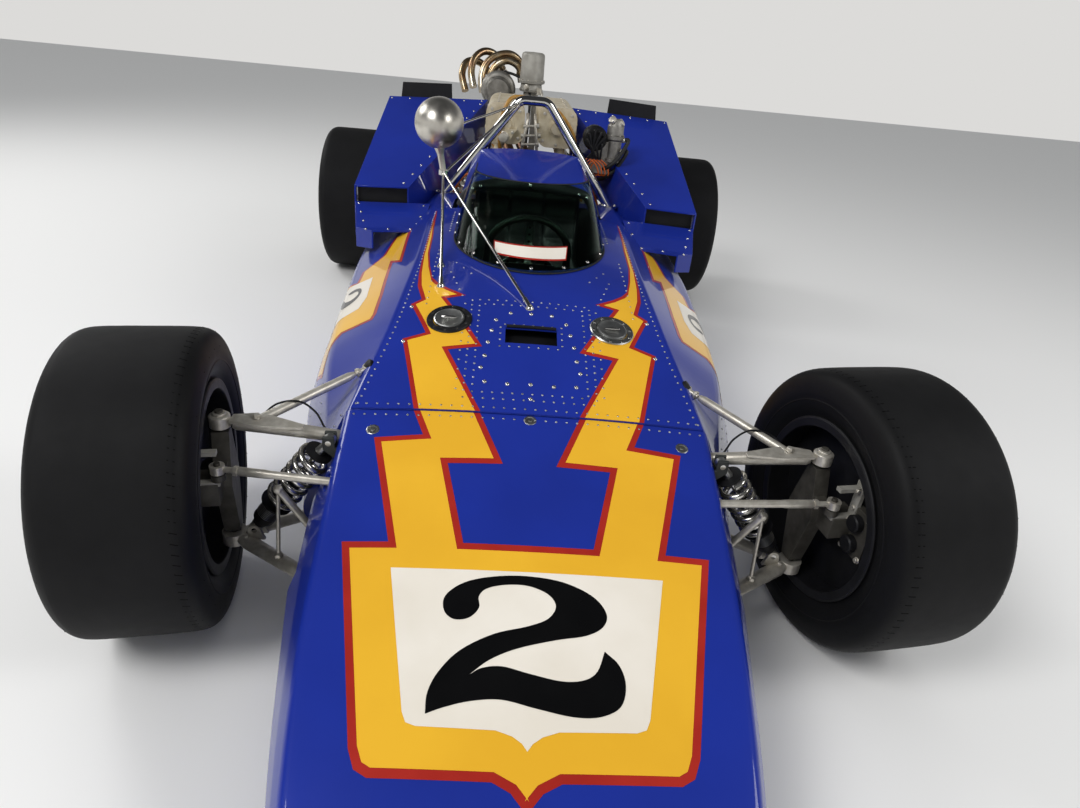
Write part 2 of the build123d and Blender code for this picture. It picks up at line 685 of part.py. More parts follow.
with BuildPart() as ignition_unit:
    with BuildSketch(Plane.XZ.offset(-aft(IGNITION_AT[1] - IGNITION_L / 2))):
        with Locations((IGNITION_AT[0], IGNITION_AT[2])):
            Circle(IGNITION_R)
    extrude(amount=-IGNITION_L)
    with BuildSketch(Plane.XY.offset(PUMP_TOP_Z - PUMP_H)):
        with Locations((PUMP_X, aft(IGNITION_AT[1]))):
            Circle(PUMP_R)
    extrude(amount=PUMP_H)
    with BuildSketch(Plane.XZ.offset(-aft(IGNITION_AT[1] - BRACKET_T / 2))):
        with Locations(((IGNITION_AT[0] + PUMP_X) / 2, BRACKET_MID_Z)):
            Rectangle(PUMP_X - IGNITION_AT[0] + PUMP_R, BRACKET_H)
    extrude(amount=-BRACKET_T)
    loft([deck_outline(row) for row in DECK_RAMP], ruled=True, mode=Mode.SUBTRACT)
ignition_unit.part.label = "ignition_unit"
export_step(ignition_unit.part, "parts/ignition_unit.step")

# Gearbox behind the engine, with a carrier for the turbocharger
GEARBOX_HALF_W = 120
GEARBOX_REAR = 2930
FLANGE_X = 165
YOKE_R = 40
STUB_R = 20
STUB_L = 30
STARTER_R = 22
STARTER_L = 60
REAR_DAMPER_FOOT = (470, WHEELBASE + 96, 222)
REAR_DAMPER_HEAD = (250, WHEELBASE + 60, 540)

with BuildPart() as gearbox:
    with BuildSketch(Plane.XZ.offset(-aft(ENGINE_REAR))):
        with Locations((0, 310)):
            RectangleRounded(340, 330, 60)
    with BuildSketch(Plane.XZ.offset(-aft(ENGINE_REAR + 180))):
        with Locations((0, REAR_AXLE_Z)):
            RectangleRounded(2 * GEARBOX_HALF_W, 240, 40)
    loft(ruled=True)
    with BuildSketch(Plane.XZ.offset(-aft(ENGINE_REAR + 180))):
        with Locations((0, REAR_AXLE_Z)):
            RectangleRounded(2 * GEARBOX_HALF_W, 240, 40)
    extrude(amount=-(GEARBOX_REAR - ENGINE_REAR - 180))
    with BuildSketch(Plane.YZ.offset(-FLANGE_X)):
        with Locations((REAR_AXLE_Y, REAR_AXLE_Z)):
            Circle(YOKE_R + 14)
    extrude(amount=2 * FLANGE_X)
    for end in (-FLANGE_X, FLANGE_X - STUB_L):
        with BuildSketch(Plane.YZ.offset(end)):
            with Locations((REAR_AXLE_Y, REAR_AXLE_Z)):
                Circle(STUB_R + FIT)
        extrude(amount=STUB_L, mode=Mode.SUBTRACT)
    with BuildSketch(Plane.XZ.offset(-aft(GEARBOX_REAR - STARTER_L))):
        with Locations((0, REAR_AXLE_Z)):
            Circle(STARTER_R)
    extrude(amount=-STARTER_L, mode=Mode.SUBTRACT)
    for near in (-EYE_W / 2 - FIT - EAR_T, EYE_W / 2 + FIT):
        with BuildSketch(Plane.XZ.offset(-aft(REAR_DAMPER_HEAD[1] + near))):
            for side in (1, -1):
                with BuildLine():
                    Polyline((side * 110, 415), (side * 110, 457), (side * 232, 556), (side * 264, 556),
                             (side * 264, 528), (side * 238, 524), close=True)
                make_face()
        extrude(amount=-EAR_T)
    with BuildSketch(Plane.XY.offset(REAR_AXLE_Z + 100)):
        with Locations((TURBO_X + 61, aft(TURBO_AFT))):
            Rectangle(16, 50)
        with Locations((WASTEGATE_X + 22, aft(TURBO_AFT))):
            Rectangle(30, 40)
    extrude(amount=TURBO_Z - REAR_AXLE_Z - 140)
    add(turbocharger.part, mode=Mode.SUBTRACT)
    add(exhaust.part, mode=Mode.SUBTRACT)
gearbox.part.label = "gearbox"
export_step(gearbox.part, "parts/gearbox.step")

# Wheels and tyres
WEB_T = 14
HUB_R = 46
AXLE_R = 18
DISC_R = 134
DISC_T = 16
DISC_OFFSET = -64
WEB_OFFSET_FRONT = 66
WEB_OFFSET_REAR = 110


def turned(profile_rows, centre_x, axle_y, axle_z, side):
    """Ring turned about the axle: rows are (offset outboard, radius)."""
    with BuildPart() as ring:
        with BuildSketch(Plane.XZ.offset(-axle_y)):
            with BuildLine():
                Polyline(*[(side * (centre_x + u), axle_z + r) for u, r in profile_rows], close=True)
            make_face()
        revolve(axis=Axis((0, axle_y, axle_z), (1, 0, 0)))
    return ring.part


def tyre(centre_x, axle_y, diameter, width, rim_w, side):
    """Slick tyre in straight bands: bead, sidewall, shoulder and flat tread."""
    top = diameter / 2
    bead = BEAD_D / 2 + FIT
    seat_half = rim_w / 2 - RIM_WALL - FIT
    half = width / 2
    outboard = [(seat_half, bead), (seat_half, bead + RIM_FLANGE + 6), (half, (bead + top) / 2 + 10),
                (half - 7, top - 26), (half - 30, top)]
    inboard = [(-u, r) for u, r in reversed(outboard)]
    return turned(outboard + inboard, centre_x, axle_y, top, side)


def rim(centre_x, axle_y, axle_z, rim_w, web_at, side):
    """Cast wheel: barrel, five-spoke web, hub and centre nut."""
    half = rim_w / 2
    bead = BEAD_D / 2
    inner = bead - RIM_WALL
    barrel = [(-half, bead + RIM_FLANGE), (RIM_WALL - half, bead + RIM_FLANGE), (RIM_WALL - half, bead),
              (half - RIM_WALL, bead), (half - RIM_WALL, bead + RIM_FLANGE), (half, bead + RIM_FLANGE),
              (half, inner), (-half, inner)]
    web = [(web_at, AXLE_R + 1), (web_at, inner + 2), (web_at + WEB_T, inner + 2), (web_at + WEB_T, AXLE_R + 1)]
    hub = [(web_at - 40, AXLE_R + 1), (web_at - 40, HUB_R), (web_at + 24, HUB_R), (web_at + 24, AXLE_R + 1)]
    with BuildPart() as wheel:
        add(turned(web, centre_x, axle_y, axle_z, side))
        with BuildSketch(Plane(origin=(0, axle_y, axle_z), x_dir=(0, 0, 1), z_dir=(side, 0, 0))):
            with PolarLocations(118, 5, start_angle=36):
                Trapezoid(84, 88, 112, rotation=90)
        extrude(amount=centre_x + half, mode=Mode.SUBTRACT)
        add(turned(barrel, centre_x, axle_y, axle_z, side))
        add(turned(hub, centre_x, axle_y, axle_z, side))
    return wheel.part


def brake_disc(centre_x, axle_y, axle_z, web_at, side, bore):
    """Disc and bell that turn with the wheel."""
    rows = [(DISC_OFFSET, bore), (DISC_OFFSET, DISC_R), (DISC_OFFSET + DISC_T, DISC_R),
            (DISC_OFFSET + DISC_T, HUB_R), (web_at - 40 - FIT, HUB_R), (web_at - 40 - FIT, bore)]
    return turned(rows, centre_x, axle_y, axle_z, side)


SIDES = (("left", 1), ("right", -1))

for name, side in SIDES:
    front_tyre = steered(tyre(FRONT_TRACK / 2, FRONT_AXLE_Y, FRONT_TYRE_D, FRONT_TYRE_W, FRONT_RIM_W, side), side)
    front_tyre.label = f"front_tyre_{name}"
    export_step(front_tyre, f"parts/front_tyre_{name}.step")
    front_rim = steered(rim(FRONT_TRACK / 2, FRONT_AXLE_Y, FRONT_AXLE_Z, FRONT_RIM_W, WEB_OFFSET_FRONT, side), side)
    front_rim.label = f"front_wheel_{name}"
    export_step(front_rim, f"parts/front_wheel_{name}.step")
    front_disc = steered(brake_disc(FRONT_TRACK / 2, FRONT_AXLE_Y, FRONT_AXLE_Z, WEB_OFFSET_FRONT, side, AXLE_R + 1), side)
    front_disc.label = f"front_disc_{name}"
    export_step(front_disc, f"parts/front_disc_{name}.step")
    rear_tyre = tyre(REAR_TRACK / 2, REAR_AXLE_Y, REAR_TYRE_D, REAR_TYRE_W, REAR_RIM_W, side)
    rear_tyre.label = f"rear_tyre_{name}"
    export_step(rear_tyre, f"parts/rear_tyre_{name}.step")
    rear_rim = rim(REAR_TRACK / 2, REAR_AXLE_Y, REAR_AXLE_Z, REAR_RIM_W, WEB_OFFSET_REAR, side)
    rear_rim.label = f"rear_wheel_{name}"
    export_step(rear_rim, f"parts/rear_wheel_{name}.step")

# Front uprights: carrier between the two ball joints, with stub axle, steering arm
# and brake caliper
UPPER_BALL_Z = 445
LOWER_BALL_Z = 155
BALL_PIN_R = 8
UPRIGHT_T = 34
CALIPER_W = 60
CALIPER_AHEAD = 108

RACK_BALL_X = 300
RACK_END_X = 250

with BuildPart() as steering_rack:
    rack_axis = (aft(TIE_ROD_AFT - 24), TIE_ROD_Z - 4)
    with BuildSketch(Plane.YZ.offset(-RACK_END_X)):
        with Locations(rack_axis):
            Circle(20)
    extrude(amount=2 * RACK_END_X)
    for foot_x in (-180, 180):
        with BuildSketch(Plane.YZ.offset(foot_x - 15)):
            with Locations((rack_axis[0], rack_axis[1] - 30)):
                Rectangle(30, 60)
        extrude(amount=30)
    add(tub.part, mode=Mode.SUBTRACT)
steering_rack.part.label = "steering_rack"
export_step(steering_rack.part, "parts/steering_rack.step")

for name, side in SIDES:
    with BuildPart() as upright:
        with BuildSketch(Plane.YZ.offset(side * (KINGPIN_X - UPRIGHT_T / 2))):
            with BuildLine():
                Polyline(
                    (FRONT_AXLE_Y - 16, LOWER_BALL_Z + 22), (FRONT_AXLE_Y + 16, LOWER_BALL_Z + 22),
                    (FRONT_AXLE_Y + 44, FRONT_AXLE_Z), (FRONT_AXLE_Y + 14, UPPER_BALL_Z - 22),
                    (FRONT_AXLE_Y - 14, UPPER_BALL_Z - 22), (FRONT_AXLE_Y - 44, FRONT_AXLE_Z), close=True,
                )
            make_face()
        extrude(amount=side * UPRIGHT_T)
        for low, high, radius in ((LOWER_BALL_Z - 22, LOWER_BALL_Z + 30, BALL_PIN_R),
                                  (UPPER_BALL_Z - 30, UPPER_BALL_Z + 22, BALL_PIN_R)):
            with BuildSketch(Plane.XY.offset(low)):
                with Locations((side * KINGPIN_X, FRONT_AXLE_Y)):
                    Circle(radius)
            extrude(amount=high - low)
        with BuildSketch(Plane.YZ.offset(side * KINGPIN_X)):
            with Locations((FRONT_AXLE_Y, FRONT_AXLE_Z)):
                Circle(AXLE_R)
        extrude(amount=side * (FRONT_TRACK / 2 + WEB_OFFSET_FRONT + 40 - KINGPIN_X))
        with BuildSketch(Plane.XY.offset(TIE_ROD_Z - 26)):
            with Locations((side * KINGPIN_X, FRONT_AXLE_Y + TIE_ROD_AFT / 2)):
                Rectangle(22, -TIE_ROD_AFT)
            with Locations((side * KINGPIN_X, FRONT_AXLE_Y + TIE_ROD_AFT)):
                Circle(14)
        extrude(amount=14)
        with BuildSketch(Plane.XY.offset(TIE_ROD_Z - 12)):
            with Locations((side * KINGPIN_X, FRONT_AXLE_Y + TIE_ROD_AFT)):
                Circle(6)
        extrude(amount=26)
        disc_mid = FRONT_TRACK / 2 + DISC_OFFSET + DISC_T / 2
        with BuildSketch(Plane.YZ.offset(side * (disc_mid - CALIPER_W / 2))):
            with Locations((FRONT_AXLE_Y - CALIPER_AHEAD, FRONT_AXLE_Z + 10)):
                RectangleRounded(70, 110, 14)
        extrude(amount=side * CALIPER_W)
        with BuildSketch(Plane.YZ.offset(side * (disc_mid - DISC_T / 2 - RUNNING_GAP))):
            with Locations((FRONT_AXLE_Y, FRONT_AXLE_Z)):
                Circle(DISC_R + RUNNING_GAP)
        extrude(amount=side * (DISC_T + 2 * RUNNING_GAP), mode=Mode.SUBTRACT)
        with BuildSketch(Plane.YZ.offset(side * KINGPIN_X)):
            with Locations((FRONT_AXLE_Y, FRONT_AXLE_Z)):
                Circle(AXLE_R)
            with Locations((FRONT_AXLE_Y - CALIPER_AHEAD / 2 - 6, FRONT_AXLE_Z + 10)):
                Rectangle(60, 50)
        extrude(amount=side * (disc_mid - DISC_T / 2 - RUNNING_GAP - KINGPIN_X))
        with BuildSketch(Plane.YZ.offset(side * KINGPIN_X)):
            with Locations((FRONT_AXLE_Y, FRONT_AXLE_Z)):
                Circle(AXLE_R)
        extrude(amount=side * (FRONT_TRACK / 2 + WEB_OFFSET_FRONT + 40 - KINGPIN_X))
    front_upright = steered(upright.part, side)
    front_upright.label = f"front_upright_{name}"
    export_step(front_upright, f"parts/front_upright_{name}.step")

    angle = math.radians(STEER_REST)
    ball = Vector(side * KINGPIN_X - math.sin(angle) * TIE_ROD_AFT,
                  FRONT_AXLE_Y + math.cos(angle) * TIE_ROD_AFT, TIE_ROD_Z)
    rack_end = Vector(side * RACK_BALL_X, aft(TIE_ROD_AFT - 24), TIE_ROD_Z - 4)
    with BuildPart() as tie_rod:
        with BuildSketch(Plane.XY.offset(TIE_ROD_Z - 9)):
            with Locations((ball.X, ball.Y)):
                Circle(15)
        extrude(amount=18)
        add(rod(tuple(ball), tuple(rack_end), 9))
        with BuildSketch(Plane.XY.offset(TIE_ROD_Z - 20)):
            with Locations((ball.X, ball.Y)):
                Circle(6.5)
        extrude(amount=40, mode=Mode.SUBTRACT)
    tie_rod.part.label = f"tie_rod_{name}"
    export_step(tie_rod.part, f"parts/tie_rod_{name}.step")

# Front suspension arms and spring-damper units, both sides in one node each
ARM_R = 13
UPPER_ARM_R = 11
LEG_R = 10
UPPER_PIVOT = (FOOTBOX_HALF_W - 8, 54, 384)
UPPER_REAR_PIVOT = (369, 215, 480)
LOWER_PIVOTS = ((FOOTBOX_HALF_W - 6, 190, 150), (FOOTBOX_HALF_W - 6, -190, 150))
EYE_R = 20
# Anti-roll lever out of the footbox and the link down to the lower arm
LINK_FOOT = (512, -75, 160)
LINK_HEAD = (503, -66, 333)
LEVER_BEND = (446, -60, 234)
LEVER_R = 8
LINK_R = 5

with BuildPart() as upper_arms:
    for side in (1, -1):
        with BuildSketch(Plane.XY.offset(UPPER_BALL_Z - 12)):
            with Locations((side * KINGPIN_X, FRONT_AXLE_Y)):
                Circle(EYE_R)
        extrude(amount=24)
        add(rod((side * (KINGPIN_X - 6), FRONT_AXLE_Y + 2, UPPER_BALL_Z),
                (side * UPPER_PIVOT[0], aft(UPPER_PIVOT[1]), UPPER_PIVOT[2]), UPPER_ARM_R))
        add(rod((side * (KINGPIN_X - 70), aft(12), UPPER_BALL_Z - 4),
                (side * UPPER_REAR_PIVOT[0], aft(UPPER_REAR_PIVOT[1]), UPPER_REAR_PIVOT[2]), LEG_R))
        with BuildSketch(Plane.XY.offset(UPPER_BALL_Z - 30)):
            with Locations((side * KINGPIN_X, FRONT_AXLE_Y)):
                Circle(BALL_PIN_R + 0.6)
        extrude(amount=60, mode=Mode.SUBTRACT)
    add(tub.part, mode=Mode.SUBTRACT)
upper_arms.part.label = "front_upper_arms"
export_step(upper_arms.part, "parts/front_upper_arms.step")

with BuildPart() as lower_arms:
    for side in (1, -1):
        with BuildSketch(Plane.XY.offset(LOWER_BALL_Z - 12)):
            with Locations((side * KINGPIN_X, FRONT_AXLE_Y)):
                Circle(EYE_R + 4)
        extrude(amount=24)
        for pivot in LOWER_PIVOTS:
            add(rod((side * (KINGPIN_X - 8), FRONT_AXLE_Y, LOWER_BALL_Z),
                    (side * pivot[0], aft(pivot[1]), pivot[2]), ARM_R))
        with BuildSketch(Plane.XY.offset(LOWER_BALL_Z - 30)):
            with Locations((side * KINGPIN_X, FRONT_AXLE_Y)):
                Circle(BALL_PIN_R + 0.6)
        extrude(amount=60, mode=Mode.SUBTRACT)
    for near in (-EYE_W / 2 - FIT - EAR_T, EYE_W / 2 + FIT):
        for side in (1, -1):
            with BuildSketch(Plane.XZ.offset(-aft(DAMPER_FOOT[1] + near))):
                with Locations((side * DAMPER_FOOT[0], DAMPER_FOOT[2] - 8)):
                    RectangleRounded(26, 40, 8)
            extrude(amount=-EAR_T)
    for side in (1, -1):
        foot, head, bend = [(side * x, aft(distance), z) for x, distance, z in (LINK_FOOT, LINK_HEAD, LEVER_BEND)]
        add(rod(foot, head, LINK_R))
        add(pipe([head, bend, (side * (FOOTBOX_HALF_W - 4), bend[1], bend[2])], 18, LEVER_R))
    add(tub.part, mode=Mode.SUBTRACT)
lower_arms.part.label = "front_lower_arms"
export_step(lower_arms.part, "parts/front_lower_arms.step")

# Rear suspension: uprights, arms and radius rods
REAR_UPRIGHT_X = 512
REAR_UPRIGHT_T = 40
HUB_BORE_R = 34
REAR_TOP_Z = 500
REAR_LOW_Z = 165
RADIUS_ROD_X = 470

with BuildPart() as rear_uprights:
    for side in (1, -1):
        with BuildSketch(Plane.YZ.offset(side * REAR_UPRIGHT_X)):
            with BuildLine():
                Polyline(
                    (REAR_AXLE_Y - 30, REAR_LOW_Z), (REAR_AXLE_Y + 30, REAR_LOW_Z),
                    (REAR_AXLE_Y + 62, REAR_AXLE_Z), (REAR_AXLE_Y + 22, REAR_TOP_Z),
                    (REAR_AXLE_Y - 22, REAR_TOP_Z), (REAR_AXLE_Y - 62, REAR_AXLE_Z), close=True,
                )
            make_face()
            with Locations((REAR_AXLE_Y, REAR_AXLE_Z)):
                Circle(HUB_BORE_R, mode=Mode.SUBTRACT)
        extrude(amount=side * REAR_UPRIGHT_T)
        for near, far, inner in ((-80, EYE_W / 2 + FIT + EAR_T, REAR_UPRIGHT_X + 4),
                                 (-EYE_W / 2 - FIT - EAR_T, -EYE_W / 2 - FIT, REAR_DAMPER_FOOT[0] - 14),
                                 (EYE_W / 2 + FIT, EYE_W / 2 + FIT + EAR_T, REAR_DAMPER_FOOT[0] - 14)):
            with BuildSketch(Plane.XZ.offset(-aft(REAR_DAMPER_FOOT[1] + near))):
                with Locations((side * (inner + REAR_UPRIGHT_X + 20) / 2, REAR_DAMPER_FOOT[2])):
                    Rectangle(REAR_UPRIGHT_X + 20 - inner, 36)
            extrude(amount=-(far - near))
rear_uprights.part.label = "rear_uprights"
export_step(rear_uprights.part, "parts/rear_uprights.step")

SHAFT_R = 15
for name, side in SIDES:
    with BuildPart() as half_shaft:
        for near, far, radius in ((FLANGE_X - STUB_L + RUNNING_GAP, FLANGE_X + 70, STUB_R),
                                  (FLANGE_X + RUNNING_GAP, FLANGE_X + 70, YOKE_R),
                                  (FLANGE_X + 70, 430, SHAFT_R), (430, REAR_UPRIGHT_X - RUNNING_GAP, YOKE_R),
                                  (430, REAR_TRACK / 2 + WEB_OFFSET_REAR + 36, AXLE_R)):
            with BuildSketch(Plane.YZ.offset(side * near)):
                with Locations((REAR_AXLE_Y, REAR_AXLE_Z)):
                    Circle(radius)
            extrude(amount=side * (far - near))
        add(turned([(DISC_OFFSET - 20, AXLE_R - 4), (DISC_OFFSET - 20, DISC_R), (DISC_OFFSET - 4, DISC_R),
                    (DISC_OFFSET - 4, AXLE_R - 4)], REAR_TRACK / 2, REAR_AXLE_Y, REAR_AXLE_Z, side))
    half_shaft.part.label = f"half_shaft_{name}"
    export_step(half_shaft.part, f"parts/half_shaft_{name}.step")

with BuildPart() as rear_arms:
    for side in (1, -1):
        for distance in (-150, 110):
            add(rod((side * (REAR_UPRIGHT_X - 4), REAR_AXLE_Y, REAR_LOW_Z + 16),
                    (side * (GEARBOX_HALF_W - 4), REAR_AXLE_Y + distance, REAR_LOW_Z + 70), 12))
        add(rod((side * (REAR_UPRIGHT_X - 2), REAR_AXLE_Y, REAR_TOP_Z - 20),
                (side * (GEARBOX_HALF_W - 4), REAR_AXLE_Y + 10, REAR_TOP_Z - 60), 11))
        for height in (REAR_LOW_Z + 18, REAR_TOP_Z - 24):
            add(rod((side * (REAR_UPRIGHT_X - 6), REAR_AXLE_Y - 20, height),
                    (side * RADIUS_ROD_X, aft(1520), height * 0.9 + 30), 10))
    add(tub.part, mode=Mode.SUBTRACT)
    add(rear_uprights.part, mode=Mode.SUBTRACT)
    add(gearbox.part, mode=Mode.SUBTRACT)
rear_arms.part.label = "rear_arms"
export_step(rear_arms.part, "parts/rear_arms.step")

# Spring-damper units: front pair leans in to the footbox, rear pair to the gearbox
SPRING_R = 37
WIRE_R = 6
DAMPER_R = 24
DAMPER_ROD_R = 7
DAMPER_EYE_R = 13
PERCH_T = 7
# Columns: foot, head, start of the spring above the foot, its length, damper body's length
UNITS = (
    (DAMPER_FOOT, DAMPER_HEAD, 92, 160, 150),
    (REAR_DAMPER_FOOT, REAR_DAMPER_HEAD, 110, 240, 190),
)

with BuildPart() as dampers:
    for side in (1, -1):
        for foot, head, spring_start, spring_l, body_l in UNITS:
            low = Vector(side * foot[0], aft(foot[1]), foot[2])
            high = Vector(side * head[0], aft(head[1]), head[2])
            reach = (high - low).length
            spring_end = spring_start + spring_l
            add(stepped_bar(low, high, (
                (0, body_l, DAMPER_ROD_R), (30, body_l, DAMPER_R), (body_l, reach, DAMPER_ROD_R),
                (spring_start - PERCH_T, spring_start, SPRING_R), (spring_end, spring_end + PERCH_T, SPRING_R),
            )))
            for end in (low, high):
                with BuildSketch(Plane.XZ.offset(-end.Y - EYE_W / 2)):
                    with Locations((end.X, end.Z)):
                        Circle(DAMPER_EYE_R)
                extrude(amount=EYE_W)
    for carrier in (tub, gearbox, rear_uprights, lower_arms):
        add(carrier.part, mode=Mode.SUBTRACT)
dampers.part.label = "dampers"
export_step(dampers.part, "parts/dampers.step")

with BuildPart() as springs:
    for side in (1, -1):
        for foot, head, spring_start, spring_l, body_l in UNITS:
            low = Vector(side * foot[0], aft(foot[1]), foot[2])
            axis = Vector(side * head[0], aft(head[1]), head[2]) - low
            with BuildSketch(Plane(origin=low + axis.normalized() * spring_start, z_dir=axis)):
                Circle(SPRING_R)
                Circle(SPRING_R - 2 * WIRE_R, mode=Mode.SUBTRACT)
            extrude(amount=spring_l)
springs.part.label = "springs"
export_step(springs.part, "parts/springs.step")
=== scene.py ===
"""Open wheel speedway racing car of about 1970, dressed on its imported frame.

Metres. The ground is z = 0, the nose points to -Y and the car's left side is +X.
Tables that repeat the part's own sizes are in millimetres, as they are there.
"""

import logging
import math
from dataclasses import dataclass
from enum import Enum
from typing import Iterable, Sequence

import bmesh
import bpy
from mathutils import Matrix, Vector
from mathutils.bvhtree import BVHTree


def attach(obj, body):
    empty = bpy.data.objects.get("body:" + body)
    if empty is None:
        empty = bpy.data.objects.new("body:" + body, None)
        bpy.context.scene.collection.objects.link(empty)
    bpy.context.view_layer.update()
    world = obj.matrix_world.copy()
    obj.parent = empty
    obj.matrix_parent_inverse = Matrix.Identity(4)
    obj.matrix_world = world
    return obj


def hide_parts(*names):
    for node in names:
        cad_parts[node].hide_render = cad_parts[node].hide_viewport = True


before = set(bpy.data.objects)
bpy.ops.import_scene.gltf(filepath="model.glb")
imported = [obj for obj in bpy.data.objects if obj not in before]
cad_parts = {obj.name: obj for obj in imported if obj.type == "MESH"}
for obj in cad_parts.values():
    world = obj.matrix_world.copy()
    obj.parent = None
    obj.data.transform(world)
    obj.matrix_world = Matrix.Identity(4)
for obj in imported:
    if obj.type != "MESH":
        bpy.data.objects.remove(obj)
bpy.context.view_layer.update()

LOG = logging.getLogger("racing_car")
MM = 0.001
SIDES = (("left", 1), ("right", -1))
CHASSIS = "chassis"
FRONT_AXLE = Vector((0.762, -1.130, 0.3115))
REAR_AXLE = Vector((0.760, 1.359, 0.3375))
KINGPIN_X = 0.628
STEER_REST = math.radians(10.4)
LEFT = Vector((1, 0, 0))
BACK = Vector((0, 1, 0))
AHEAD = -BACK
UP = Vector((0, 0, 1))
DOWN = -UP

Point = Sequence[float]


def aft(distance: float) -> float:
    """Give the Y in metres of a point this many millimetres behind the front axle."""
    return FRONT_AXLE.y + distance * MM


def glide(knots: Sequence[Sequence[float]], at: float) -> list[float]:
    """Read a table between its rows, on a smooth curve that never overshoots.

    Args:
        knots: Rows whose first column is the place and the others the values.
        at: The place to read.

    Returns:
        The values at that place, without the place itself.
    """
    k = max(0, min(len(knots) - 2, sum(at >= row[0] for row in knots) - 1))
    span = knots[k + 1][0] - knots[k][0]
    t = (at - knots[k][0]) / span

    def secant(i: int, column: int) -> float:
        """Slope of the straight line from row i to the next."""
        return (knots[i + 1][column] - knots[i][column]) / (knots[i + 1][0] - knots[i][0])

    def slope(i: int, column: int) -> float:
        """Slope of the curve at row i.

        Args:
            i: The row.
            column: The column.

        Returns:
            The slope.
        """
        if i == 0 or i == len(knots) - 1:
            return secant(min(i, len(knots) - 2), column)
        left, right = secant(i - 1, column), secant(i, column)
        return 0.0 if left * right <= 0 else 2 * left * right / (left + right)

    values = []
    for column in range(1, len(knots[0])):
        start, end = knots[k][column], knots[k + 1][column]
        rise, fall = slope(k, column) * span, slope(k + 1, column) * span
        values.append(start * (2 * t**3 - 3 * t**2 + 1) + rise * (t**3 - 2 * t**2 + t)
                      + end * (3 * t**2 - 2 * t**3) + fall * (t**3 - t**2))
    return values


def rounded(points: Sequence[Point], radii: Sequence[float], steps: int = 5) -> list[Vector]:
    """Round the inner corners of an open line, in two or three dimensions.

    Args:
        points: Corners of the line.
        radii: One radius for each corner, where 0 leaves it sharp.
        steps: Pieces in each rounded corner.

    Returns:
        The points of the rounded line.
    """
    corners = [Vector(p) for p in points]
    line = [corners[0]]
    for before, here, after, radius in zip(corners, corners[1:], corners[2:], radii[1:]):
        if radius <= 0:
            line.append(here)
            continue
        back, on = (before - here), (after - here)
        angle = back.angle(on)
        reach = min(radius / math.tan(angle / 2), 0.49 * back.length, 0.49 * on.length)
        start, end = here + back.normalized() * reach, here + on.normalized() * reach
        for step in range(steps + 1):
            t = step / steps
            line.append(start * (1 - t) ** 2 + here * 2 * t * (1 - t) + end * t**2)
    return [*line, corners[-1]]


def bend(points: Sequence[Point], per_span: int = 8) -> list[Vector]:
    """Run one smooth curve through points, as a bent tube does.

    Args:
        points: Points that the curve passes.
        per_span: Pieces between two of them.

    Returns:
        The points of the curve.
    """
    p = [Vector(q) for q in points]
    p = [2 * p[0] - p[1], *p, 2 * p[-1] - p[-2]]
    curve = []
    for a, b, c, d in zip(p, p[1:], p[2:], p[3:]):
        for step in range(per_span):
            t = step / per_span
            curve.append(0.5 * (2 * b + (c - a) * t + (2 * a - 5 * b + 4 * c - d) * t**2
                                + (3 * b - a - 3 * c + d) * t**3))
    return [*curve, p[-2]]


def arc(centre: Point, radius: float, start: float, end: float, steps: int) -> list[tuple[float, float]]:
    """List the points of an arc in two dimensions, with its angles in degrees."""
    angles = [math.radians(start + (end - start) * k / steps) for k in range(steps + 1)]
    return [(centre[0] + radius * math.cos(t), centre[1] + radius * math.sin(t)) for t in angles]


def turns(count: int, start: float = 0.0) -> list[float]:
    """Spread angles evenly round a whole turn."""
    return [2 * math.pi * k / count + start for k in range(count)]


def circle(centre: Point, across: Point, over: Point, count: int, radius: float = 1.0,
           start: float = 0.0) -> list[Vector]:
    """Spread points evenly round a circle, or round an ellipse where its two axes differ.

    Args:
        centre: Its middle.
        across: The axis that the angles start from.
        over: The axis at a right angle to it.
        count: The number of points.
        radius: What both axes are multiplied by.
        start: The angle of the first point.

    Returns:
        The points.
    """
    middle, u, v = Vector(centre), Vector(across), Vector(over)
    return [middle + (u * math.cos(t) + v * math.sin(t)) * radius for t in turns(count, start)]


def section(points: Iterable[Point], distance: float) -> list[tuple[float, float, float]]:
    """Stand x and z in millimetres up at one distance behind the front axle."""
    return [(x * MM, aft(distance), z * MM) for x, z in points]


def sided(point: Point, side: int) -> Vector:
    """Give a point of the left side on the side that is asked for."""
    return Vector((side * point[0], point[1], point[2]))


def steered(side: int) -> Matrix:
    """Give the turn of one front wheel from straight ahead to how the car stands."""
    pin = Vector((side * KINGPIN_X, FRONT_AXLE.y, 0))
    return Matrix.Translation(pin) @ Matrix.Rotation(STEER_REST, 4, "Z") @ Matrix.Translation(-pin)


# Finishes


def hex_to_linear(code: str) -> tuple[float, float, float, float]:
    """Turn an sRGB hex colour into the linear colour that a shader takes."""
    parts = [int(code[i:i + 2], 16) / 255 for i in (1, 3, 5)]
    return (*[c / 12.92 if c <= 0.04045 else ((c + 0.055) / 1.055) ** 2.4 for c in parts], 1.0)


def add_node(tree: bpy.types.NodeTree, kind: str, links: dict | None = None, values: dict | None = None,
             **settings: object) -> bpy.types.Node:
    """Add one node with its settings, values and links.

    Args:
        tree: The tree that gets the node.
        kind: Blender's name for the kind of node.
        links: Output sockets by the input that they go to.
        values: Plain values by the input that takes them.
        **settings: The node's own options.

    Returns:
        The new node.
    """
    node = tree.nodes.new(kind)
    for key, value in settings.items():
        setattr(node, key, value)
    for key, value in (values or {}).items():
        node.inputs[key].default_value = value
    for key, socket in (links or {}).items():
        tree.links.new(socket, node.inputs[key])
    return node


